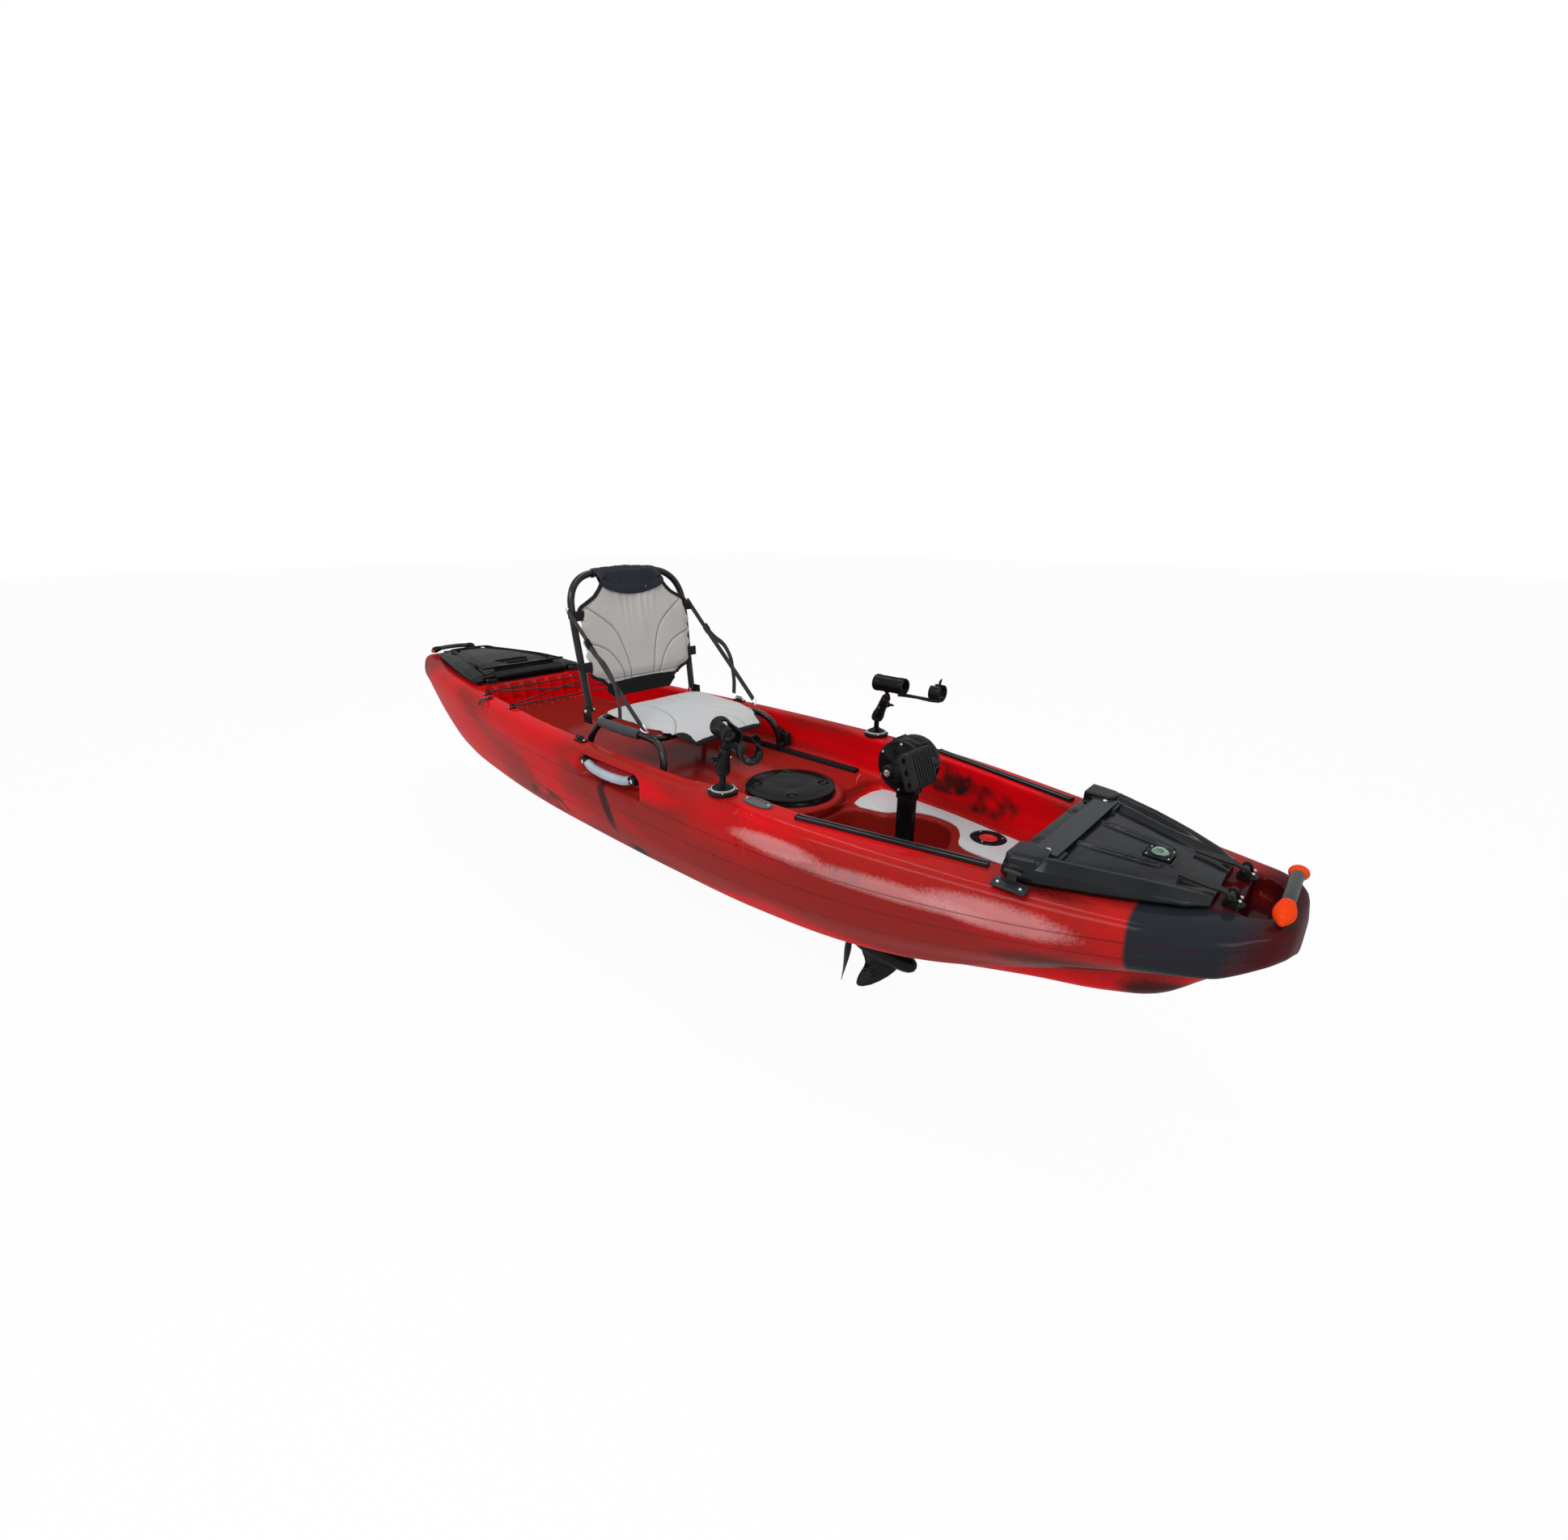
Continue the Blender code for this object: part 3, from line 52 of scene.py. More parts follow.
# Materials
class Look:
    """One procedural material, built from small node steps."""

    def __init__(self, name, rough, metal=0.0, **flat):
        self.made = bpy.data.materials.new(name)
        self.made.use_nodes = True
        self.nodes = self.made.node_tree.nodes
        self.links = self.made.node_tree.links
        self.shader = self.nodes["Principled BSDF"]
        self.shader.inputs["Roughness"].default_value = rough
        self.shader.inputs["Metallic"].default_value = metal
        for key, value in flat.items():
            self.shader.inputs[key.replace("_", " ")].default_value = value
        self.place = self.put("TexCoord").outputs["Object"]
        self.height = None

    def put(self, kind, sockets=None, **settings):
        node = self.nodes.new("ShaderNode" + kind)
        for key, value in settings.items():
            setattr(node, key, value)
        for key, value in (sockets or {}).items():
            self.plug(node.inputs[key], value)
        return node

    def plug(self, socket, value):
        if isinstance(value, bpy.types.NodeSocket):
            self.links.new(value, socket)
        else:
            socket.default_value = value

    def sum(self, operation, a, b=0.0, clamp=False):
        return self.put("Math", {0: a, 1: b}, operation=operation, use_clamp=clamp).outputs[0]

    def noise(self, scale, detail=3.0, stretch=None, warp=0.0):
        place = self.place
        if stretch:
            place = self.put("Mapping", {"Vector": place, "Scale": stretch}).outputs[0]
        made = self.put("TexNoise", {"Vector": place, "Scale": scale, "Detail": detail,
            "Distortion": warp})
        return made.outputs["Fac"]

    def span(self, value, low, high, start=0.0, end=1.0):
        made = self.put("MapRange", {"Value": value, "From Min": low, "From Max": high,
            "To Min": start, "To Max": end}, interpolation_type="SMOOTHSTEP")
        return made.outputs[0]

    def mix(self, share, first, second):
        made = self.put("Mix", {0: share}, data_type="RGBA")
        for socket, value in ((made.inputs[6], first), (made.inputs[7], second)):
            self.plug(socket, value if isinstance(value, bpy.types.NodeSocket) else (*value, 1.0))
        return made.outputs[2]

    def axis(self, name):
        return self.put("SeparateXYZ", {0: self.place}).outputs[name]

    def wave(self, scale, direction="X", profile="SIN", warp=0.0):
        made = self.put("TexWave", {"Vector": self.place, "Scale": scale,
            "Distortion": warp}, bands_direction=direction, wave_profile=profile)
        return made.outputs["Fac"]

    def worn(self):
        """Higher on the object's edges than on its faces."""
        return self.put("NewGeometry").outputs["Pointiness"]

    def bump(self, height, distance, strength=1.0):
        sockets = {"Height": height, "Distance": distance, "Strength": strength}
        if self.height:
            sockets["Normal"] = self.height
        self.height = self.put("Bump", sockets).outputs[0]

    def done(self, colour, rough=None):
        self.plug(self.shader.inputs["Base Color"], colour)
        if rough is not None:
            self.plug(self.shader.inputs["Roughness"], rough)
        if self.height:
            self.plug(self.shader.inputs["Normal"], self.height)
        return self.made


def plastic(name, colour, edge, rough, grain=900.0, depth=0.00012, dust=0.25, coat=0.0, spec=0.3):
    """Moulded plastic with a fine grain, uneven gloss and lighter edges."""
    look = Look(name, rough, Coat_Weight=coat, Coat_Roughness=0.16, Specular_IOR_Level=spec)
    cloud = look.noise(9.0, 5.0)
    fine = look.noise(grain, 2.0)
    tone = look.mix(look.span(cloud, 0.35, 0.7, 0.0, dust), colour, edge)
    tone = look.mix(look.span(look.worn(), 0.51, 0.6, 0.0, 0.55), tone, edge)
    look.bump(fine, depth)
    look.bump(look.noise(60.0, 2.0), depth * 2.0, 0.4)
    shine = look.sum("ADD", look.span(cloud, 0.3, 0.75, rough - 0.06, rough + 0.08),
        look.span(fine, 0.3, 0.7, -0.03, 0.03))
    return look.done(tone, shine)


def metal(name, colour, rough, direction=(1.0, 40.0, 40.0)):
    """Metal with fine drawn lines and a little tarnish."""
    look = Look(name, rough, 1.0)
    lines = look.noise(60.0, 4.0, direction)
    cloud = look.noise(14.0, 3.0)
    tone = look.mix(look.span(cloud, 0.35, 0.75, 0.0, 0.5), colour, [c * 0.72 for c in colour])
    look.bump(lines, 0.00006)
    return look.done(tone, look.span(lines, 0.3, 0.7, rough - 0.07, rough + 0.1))


def weave(name, colour, shade, pitch, rough=0.85, depth=0.0003, axes=("X", "Z"), fuzz=0.25,
        dirt=0.35, sewn=False):
    """Cloth of crossing yarns, with soft blotches where it's handled."""
    look = Look(name, rough, Sheen_Weight=fuzz * 0.5, Sheen_Roughness=0.6, Specular_IOR_Level=0.15)
    yarns = look.sum("MULTIPLY", look.wave(pitch, axes[0]), look.wave(pitch, axes[1]))
    blotch = look.noise(7.0, 5.0)
    tone = look.mix(look.span(yarns, 0.0, 0.7, 0.45, 0.0), colour, shade)
    tone = look.mix(look.span(blotch, 0.45, 0.75, 0.0, dirt), tone, shade)
    if sewn:
        seam = look.put("Attribute", attribute_name="seam").outputs["Fac"]
        tone = look.mix(look.span(seam, 0.25, 0.85, 0.0, 0.75), tone, [c * 0.22 for c in shade])
    look.bump(yarns, depth)
    look.bump(look.noise(45.0, 4.0), 0.0012, 0.35)
    return look.done(tone, look.span(blotch, 0.3, 0.8, rough - 0.05, rough + 0.08))


def hull_look():
    """Rotomoulded red plastic with smoky patches, fine strakes along the side with painted shade in
    them, painted shade on the well floors and a painted highlight on the starboard shoulder.
    """
    look = Look("hull_red", 0.28, Coat_Weight=0.15, Coat_Roughness=0.12, Specular_IOR_Level=0.0)
    x, y, z = (look.axis(a) for a in "XYZ")
    drift = look.noise(2.6, 4.0, (0.45, 1.0, 1.0), 0.4)
    speck = look.noise(170.0, 5.0)
    cloud = look.sum("ADD", look.span(drift, 0.3, 0.7), look.span(speck, 0.35, 0.65, -0.1, 0.1))

    def patch(centre, size, wander=0.45):
        """A soft-edged patch round a place on the hull; the patches are colour marks, painted shade
        and painted highlight.
        """
        parts = []
        for value, middle, reach in zip((x, y, z), centre, size):
            parts.append(look.sum("POWER", look.sum("ABSOLUTE", look.sum("DIVIDE",
                look.sum("SUBTRACT", value, middle), reach)), 2.0))
        far = look.sum("ADD", look.sum("ADD", parts[0], parts[1]), parts[2])
        far = look.sum("ADD", far, look.sum("MULTIPLY", look.sum("SUBTRACT", cloud, 0.5),
            wander * 2.0))
        return look.span(far, 0.45, 1.35, 1.0, 0.0)

    bright, brick, black = (0.68, 0.003, 0.007), (0.24, 0.016, 0.012), (0.006, 0.006, 0.007)
    maroon, brown = (0.04, 0.003, 0.005), (0.055, 0.014, 0.011)
    # The pale pink colour is a painted highlight: the lamps' glare along the starboard shoulder.
    soot, painted_glare = (0.012, 0.01, 0.01), (0.74, 0.36, 0.36)
    grit = look.noise(15.0, 12.0)
    tone = look.mix(look.span(cloud, 0.15, 0.95, 0.1, 0.9), bright, brick)
    for colour, share, spots in ((bright, 0.95, (((1.2, -0.36, 0.03), (0.7, 0.25, 0.075)),
            ((-1.4, -0.24, 0.24), (0.42, 0.22, 0.2)), ((-0.6, 0.0, 0.31), (0.5, 0.4, 0.07)),
            ((0.3, 0.3, 0.34), (1.0, 0.09, 0.06)), ((0.3, -0.42, 0.35), (0.34, 0.06, 0.05)),
            ((1.34, 0.24, 0.32), (0.22, 0.08, 0.08)))),
            (brown, 0.8, (((1.66, -0.22, 0.22), (0.24, 0.16, 0.06)),)),
            (bright, 1.0, (((1.56, -0.1, 0.03), (0.24, 0.3, 0.13)),)),
            (maroon, 0.95, (((1.99, 0.0, 0.36), (0.15, 0.4, 0.17)), ((1.88, 0.0, 0.385),
            (0.1, 0.14, 0.05)), ((1.6, -0.27, 0.402), (0.16, 0.05, 0.022)))),
            (black, 0.9, (((0.2, -0.42, 0.22), (0.032, 0.1, 0.15)), ((0.29, -0.36, 0.06),
            (0.06, 0.1, 0.04)), ((-1.99, 0.0, 0.34), (0.17, 0.3, 0.2)), ((1.8, -0.06, 0.13),
            # The brick patches darken the floors of the cockpit, the area behind the seat, the foot
            # well and the drive well: painted shade of the recesses.
            (0.1, 0.12, 0.07)))), (brick, 0.8, (((0.2, 0.0, 0.265), (1.3, 0.34, 0.03)),
            ((1.12, 0.0, 0.225), (0.42, 0.34, 0.035)), ((1.0, 0.0, 0.16), (0.26, 0.26, 0.1)),
            ((-0.7, 0.0, 0.265), (0.5, 0.34, 0.03)))),
            (soot, 0.9, (((1.02, 0.3, 0.34), (0.12, 0.08, 0.045)), ((1.2, 0.26, 0.31),
            (0.1, 0.08, 0.04)), ((1.18, -0.4, 0.335), (0.07, 0.07, 0.032)), ((-0.3, -0.37, 0.1),
            # Painted highlight: pale pink glare on the starboard shoulder.
            (0.2, 0.16, 0.05)))), (painted_glare, 0.48, (((1.34, -0.385, 0.32), (0.5, 0.06, 0.03)),
            ((1.5, -0.33, 0.33), (0.24, 0.06, 0.036)), ((0.96, -0.4, 0.34), (0.16, 0.05, 0.024))))):
        for centre, size in spots:
            near = look.sum("MULTIPLY", patch(centre, size), share)
            if colour is soot:
                near = look.sum("MULTIPLY", near, look.span(grit, 0.38, 0.62))
            tone = look.mix(near, tone, colour)
    bow = look.sum("MULTIPLY", look.span(look.sum("ADD", x, look.sum("MULTIPLY", z, 0.15)),
        1.778, 1.788), look.sum("MULTIPLY", look.span(y, -0.08, -0.13),
        look.span(look.sum("ADD", x, look.sum("MULTIPLY", cloud, 0.04)), 1.97, 1.9)))
    bow = look.sum("MULTIPLY", bow, look.span(z, 0.262, 0.292))
    tone = look.mix(bow, tone, (0.016, 0.019, 0.025))
    girth = look.put("Attribute", attribute_name="girth").outputs["Fac"]
    lines = None
    for level in (0.3, 0.52, 0.72):
        near = look.span(look.sum("ABSOLUTE", look.sum("SUBTRACT", girth, level)), 0.0, 0.013,
            1.0, 0.0)
        lines = near if lines is None else look.sum("ADD", lines, near)
    # The strake lines are also darkened in colour: painted shade of their grooves.
    tone = look.mix(look.sum("MULTIPLY", lines, 0.45), tone, (0.1, 0.006, 0.008))
    look.bump(lines, 0.0016)
    look.bump(look.noise(420.0, 2.0), 0.00018, 0.8)
    look.bump(look.noise(14.0, 2.0), 0.002, 0.3)
    scuff = look.noise(30.0, 6.0, (0.2, 1.0, 1.6))
    tone = look.mix(look.span(scuff, 0.62, 0.8, 0.0, 0.1), tone, (0.34, 0.1, 0.09))
    shine = look.sum("ADD", look.span(cloud, 0.1, 0.9, 0.22, 0.36), look.span(scuff, 0.5, 0.8,
        0.0, 0.12))
    return look.done(tone, shine)


# Mesh helpers
def make(name, points, faces, look, sharp=35.0):
    """An object from points and faces."""
    mesh = bpy.data.meshes.new(name)
    mesh.from_pydata([tuple(p) for p in points], [], faces)
    work = bmesh.new()
    work.from_mesh(mesh)
    bmesh.ops.recalc_face_normals(work, faces=work.faces)
    work.to_mesh(mesh)
    work.free()
    if look:
        mesh.materials.append(look)
    mesh.shade_smooth()
    mesh.set_sharp_from_angle(angle=math.radians(sharp))
    made = bpy.data.objects.new(name, mesh)
    bpy.context.scene.collection.objects.link(made)
    return made


def loft(name, rings, look=None, ring_closed=False, sharp=35.0):
    """A skin over rings of the same count, closed by end caps or into a torus."""
    count = len(rings[0])
    points = [p for ring in rings for p in ring]
    faces = []
    for k in range(len(rings) if ring_closed else len(rings) - 1):
        here = k * count
        there = ((k + 1) % len(rings)) * count
        for i in range(count):
            j = (i + 1) % count
            faces.append((here + i, here + j, there + j, there + i))
    if not ring_closed:
        faces.append(tuple(range(count)))
        faces.append(tuple((len(rings) - 1) * count + i for i in range(count)))
    return make(name, points, faces, look, sharp)


def prism(name, outline, low, high, look=None, shrink=0.0):
    """An upright block on an outline, its foot shrunk for draft."""
    middle = Vector((sum(p[0] for p in outline), sum(p[1] for p in outline))) / len(outline)
    foot = []
    for x, y in outline:
        away = Vector((x, y)) - middle
        scale = 1.0 - shrink / max(away.length, 1e-6)
        foot.append((middle.x + away.x * scale, middle.y + away.y * scale, low))
    return loft(name, [foot, [(x, y, high) for x, y in outline]], look)


def box(name, low, high, look=None, bevel=0.0, segments=2):
    """A box between two corners, with its edges rounded where a bevel is given."""
    (x0, y0, z0), (x1, y1, z1) = low, high
    y0, y1 = min(y0, y1), max(y0, y1)
    foot = [(x0, y0, z0), (x1, y0, z0), (x1, y1, z0), (x0, y1, z0)]
    made = loft(name, [foot, [(x, y, z1) for x, y, z in foot]], look)
    if bevel:
        soften(made, bevel, segments)
    return made


def soften(made, width, segments=2, angle=30.0):
    """Round every edge that is sharper than the angle."""
    work = bmesh.new()
    work.from_mesh(made.data)
    edges = [e for e in work.edges if e.calc_face_angle(0.0) > math.radians(angle)]
    bmesh.ops.bevel(work, geom=edges, offset=width, segments=segments, profile=0.5,
        affect="EDGES", clamp_overlap=True)
    work.to_mesh(made.data)
    work.free()
    made.data.shade_smooth()
    made.data.set_sharp_from_angle(angle=math.radians(40.0))
    return made


def axes_of(direction):
    """A direction and two square to it."""
    along = Vector(direction).normalized()
    helper = Vector((0, 0, 1)) if abs(along.z) < 0.9 else Vector((1, 0, 0))
    side = helper.cross(along).normalized()
    return along, side, along.cross(side)


def turned(name, profile, base, direction, look=None, count=40, bored=False, turn=0.0, sharp=35.0):
    """A turned form; the profile gives radius and height along the direction."""
    along, side, up = axes_of(direction)
    rings = []
    for radius, height in profile:
        centre = Vector(base) + along * height
        rings.append([centre + side * radius * math.cos(turn + math.tau * i / count) + up * radius
            * math.sin(turn + math.tau * i / count) for i in range(count)])
    return loft(name, rings, look, ring_closed=bored, sharp=sharp)


def rod(name, radius, start, end, look=None, count=16):
    way = Vector(end) - Vector(start)
    return turned(name, [(radius, 0.0), (radius, way.length)], start, way, look, count)


def smooth_path(points, steps=6, closed=False):
    """A curve through all the points."""
    knots = [Vector(p) for p in points]
    total = len(knots)
    path = []
    for k in range(total if closed else total - 1):
        if closed:
            a, b, c, d = (knots[(k + n) % total] for n in (-1, 0, 1, 2))
        else:
            a, b, c = knots[max(k - 1, 0)], knots[k], knots[k + 1]
            d = knots[min(k + 2, total - 1)]
        for s in range(steps):
            t = s / steps
            path.append(0.5 * (2 * b + (c - a) * t + (2 * a - 5 * b + 4 * c - d) * t * t
                + (3 * b - a - 3 * c + d) * t ** 3))
    if not closed:
        path.append(knots[-1])
    return path


def heading(path, k):
    """The way that an open path runs at its point k."""
    return (path[min(k + 1, len(path) - 1)] - path[max(k - 1, 0)]).normalized()


def sweep(name, path, outline, look=None, closed=False, up=UP, sharp=35.0):
    """An outline carried along a path without twisting."""
    path = [Vector(p) for p in path]
    total = len(path)
    rings = []
    normal = Vector(up)
    for k in range(total):
        along = (path[(k + 1) % total] - path[k - 1]).normalized() if closed else heading(path, k)
        normal = (normal - along * normal.dot(along)).normalized()
        side = normal.cross(along)
        rings.append([path[k] + side * a + normal * b for a, b in outline])
    return loft(name, rings, look, ring_closed=closed, sharp=sharp)


def tenths(*flat, n=2):
    """Groups of n lengths in metres, from flat numbers in tenths of a millimetre."""
    return [tuple(v / 10000 for v in flat[k:k + n]) for k in range(0, len(flat), n)]


def circle(radius, count=16):
    return [(radius * math.cos(math.tau * i / count), radius * math.sin(math.tau * i / count))
        for i in range(count)]


def rounded(width, depth, radius, steps=4):
    """The outline of a rounded rectangle."""
    points = []
    for n, (sx, sy) in enumerate(((1, 1), (-1, 1), (-1, -1), (1, -1))):
        for s in range(steps + 1):
            angle = math.radians(90.0 * (n + s / steps))
            points.append((sx * (width / 2 - radius) + radius * math.cos(angle),
                sy * (depth / 2 - radius) + radius * math.sin(angle)))
    return points


def modify(made, kind, **settings):
    """Add one modifier and apply it."""
    step = made.modifiers.new("step", kind)
    for key, value in settings.items():
        setattr(step, key, value)
    return apply_modifiers(made)


def remesh(made, voxel, smooth):
    """One even skin over a built-up form, then its soft radii."""
    modify(made, "REMESH", mode="VOXEL", voxel_size=voxel, use_smooth_shade=True)
    return modify(made, "SMOOTH", factor=0.5, iterations=smooth)


def read_points(data, key="co"):
    """All vertex places, or normals, of a mesh as rows of three."""
    flat = np.empty(len(data) * 3)
    data.foreach_get(key, flat)
    return flat.reshape(-1, 3)


def apply_modifiers(made):
    graph = bpy.context.evaluated_depsgraph_get()
    graph.update()
    mesh = bpy.data.meshes.new_from_object(made.evaluated_get(graph), depsgraph=graph)
    made.modifiers.clear()
    made.data = mesh
    return made


def boolean(target, tool, operation="DIFFERENCE"):
    modify(target, "BOOLEAN", operation=operation, solver="EXACT", object=tool)
    bpy.data.objects.remove(tool, do_unlink=True)
    return target


def cut(target, *tools):
    for tool in tools:
        boolean(target, tool)
    return target


def join(target, *tools):
    """Put several meshes into one object; each keeps its own material."""
    for tool in tools:
        slots = []
        for look in tool.data.materials:
            if look.name not in target.data.materials:
                target.data.materials.append(look)
            slots.append(target.data.materials.find(look.name))
        work = bmesh.new()
        work.from_mesh(target.data)
        before = len(work.faces)
        work.from_mesh(tool.data)
        work.faces.ensure_lookup_table()
        for face in work.faces[before:]:
            face.material_index = slots[min(face.material_index, len(slots) - 1)]
        work.to_mesh(target.data)
        work.free()
        bpy.data.objects.remove(tool, do_unlink=True)
    return target


def place(made, body, slot, node=None):
    """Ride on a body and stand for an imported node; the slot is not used."""
    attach(made, body)
    if node:
        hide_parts(node)
    return made


# Hull plan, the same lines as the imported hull
WALL_RED = hull_look()
STERN_X, BOW_X = -1.948, 1.979
DECK_FLOOR_Z, FOOT_FLOOR_Z, WELL_FLOOR_Z = 0.275, 0.235, 0.12
ROUND_HATCH_X, COMPASS_X = 0.649, 1.712
PORT_X, PORT_Y = 1.25, 0.186
ROD_X, ROD_Y, ROD_FOOT_Z = 0.727, 0.36, 0.4012
LINES_X = (-1.948, -1.90, -1.75, -1.50, -1.20, -0.85, -0.40, 0.05, 0.45, 0.80,
           1.10, 1.32, 1.52, 1.68, 1.79, 1.87, 1.925, 1.957, 1.972, 1.979)
BEAM = (0.130, 0.165, 0.212, 0.265, 0.314, 0.352, 0.398, 0.420, 0.428, 0.428,
        0.404, 0.366, 0.324, 0.285, 0.252, 0.216, 0.174, 0.134, 0.096, 0.052)
CREST = (0.110, 0.134, 0.176, 0.228, 0.272, 0.312, 0.360, 0.388, 0.394, 0.382,
         0.358, 0.312, 0.262, 0.222, 0.192, 0.162, 0.134, 0.102, 0.070, 0.032)
SHEER = (0.420, 0.424, 0.420, 0.412, 0.411, 0.406, 0.400, 0.400, 0.400, 0.400,
         0.397, 0.393, 0.390, 0.390, 0.392, 0.394, 0.398, 0.396, 0.384, 0.360)
CHINE_Y = (0.080, 0.104, 0.150, 0.210, 0.258, 0.296, 0.328, 0.336, 0.336, 0.326,
           0.296, 0.258, 0.216, 0.178, 0.146, 0.116, 0.088, 0.064, 0.044, 0.024)
CHINE_Z = (0.325, 0.285, 0.205, 0.110, 0.066, 0.052, 0.046, 0.046, 0.050, 0.056,
           0.072, 0.104, 0.156, 0.210, 0.248, 0.278, 0.300, 0.314, 0.322, 0.332)
KEEL_Z = (0.300, 0.250, 0.150, 0.056, 0.020, 0.009, 0.006, 0.006, 0.006, 0.008,
          0.014, 0.028, 0.050, 0.080, 0.130, 0.216, 0.262, 0.290, 0.306, 0.322)


def line(values, x):
    """A hull line's value at x, through its stations."""
    xs, ys = np.array(LINES_X), np.array(values)
    slopes = np.gradient(ys, xs)
    x = np.clip(x, xs[0], xs[-1])
    k = np.clip(np.searchsorted(xs, x) - 1, 0, len(xs) - 2)
    h = xs[k + 1] - xs[k]
    t = (x - xs[k]) / h
    return ((2 * t**3 - 3 * t**2 + 1) * ys[k] + (t**3 - 2 * t**2 + t) * h * slopes[k]
        + (3 * t**2 - 2 * t**3) * ys[k + 1] + (t**3 - t**2) * h * slopes[k + 1])


def hull_section(x):
    """The section at x as a smooth closed loop, with a hollow above the forefoot."""
    beam, crest, sheer = line(BEAM, x), line(CREST, x), line(SHEER, x)
    chine_y, chine_z, keel = line(CHINE_Y, x), line(CHINE_Z, x), line(KEEL_Z, x)
    low = max(keel, 0.0)
    seam = max(sheer - 0.085, (sheer + low) / 2)
    side_z = 0.45 * seam + 0.55 * chine_z
    side_y = 0.42 * beam + 0.58 * chine_y + 0.22 * (beam - chine_y)
    pinch = math.exp(-((x - 1.62) / 0.21) ** 2)
    half = [(crest, sheer), (crest + 0.55 * (beam - crest), sheer - 0.01),
        (crest + 0.88 * (beam - crest), sheer - 0.038), (beam, seam), (side_y, side_z),
        (chine_y + 0.3 * (side_y - chine_y), chine_z + 0.28 * (side_z - chine_z))]
    for plain, tight in (((0.97, 0.8), (0.93, 0.95)), ((0.9, 0.62), (0.66, 0.9)),
            ((0.78, 0.4), (0.59, 0.58)), ((0.62, 0.22), (0.5, 0.22)), ((0.3, 0.0), (0.27, 0.0))):
        out, rise = (a + (b - a) * pinch for a, b in zip(plain, tight))
        half.append((out * chine_y, rise * chine_z + (1.0 - rise) * low))
    path = smooth_path([(x, -y, z) for y, z in half], 4)
    return path + [Vector((p.x, -p.y, p.z)) for p in reversed(path)]


def strip(first, last, half_width, count, corner):
    """A plan outline along the hull, with cut corners."""
    places = [first + (last - first) * k / (count - 1) for k in range(count)]
    right = [(x, -half_width(x)) for x in places]
    left = [(x, half_width(x)) for x in reversed(places)]
    front = [(last + corner * 0.7, -half_width(last) + corner * 1.3),
        (last + corner * 0.7, half_width(last) - corner * 1.3)]
    back = [(first - corner * 0.7, half_width(first) - corner * 1.3), (first - corner * 0.7,
        -half_width(first) + corner * 1.3)]
    return right + front + left + back


def cockpit_half(x):
    """Half the cockpit's width at x."""
    return line(CREST, x) - 0.036 - 0.026 * min(max((x - 0.6) / 0.08, 0.0), 1.0)


def well_outline():
    """The plan of the well under the pedals."""
    places = tenths(8120, 450, 8280, 980, 8700, 1220, 9250, 1240, 9680, 1580, 10200, 1960,
        10750, 2040, 11300, 1820, 11660, 1300, 11900, 600)
    knots = [(x, -y, 0) for x, y in places]
    knots += [(x, -y, 0) for x, y, _ in reversed(knots)]
    return [(p.x, p.y) for p in smooth_path(knots, 3, closed=True)]


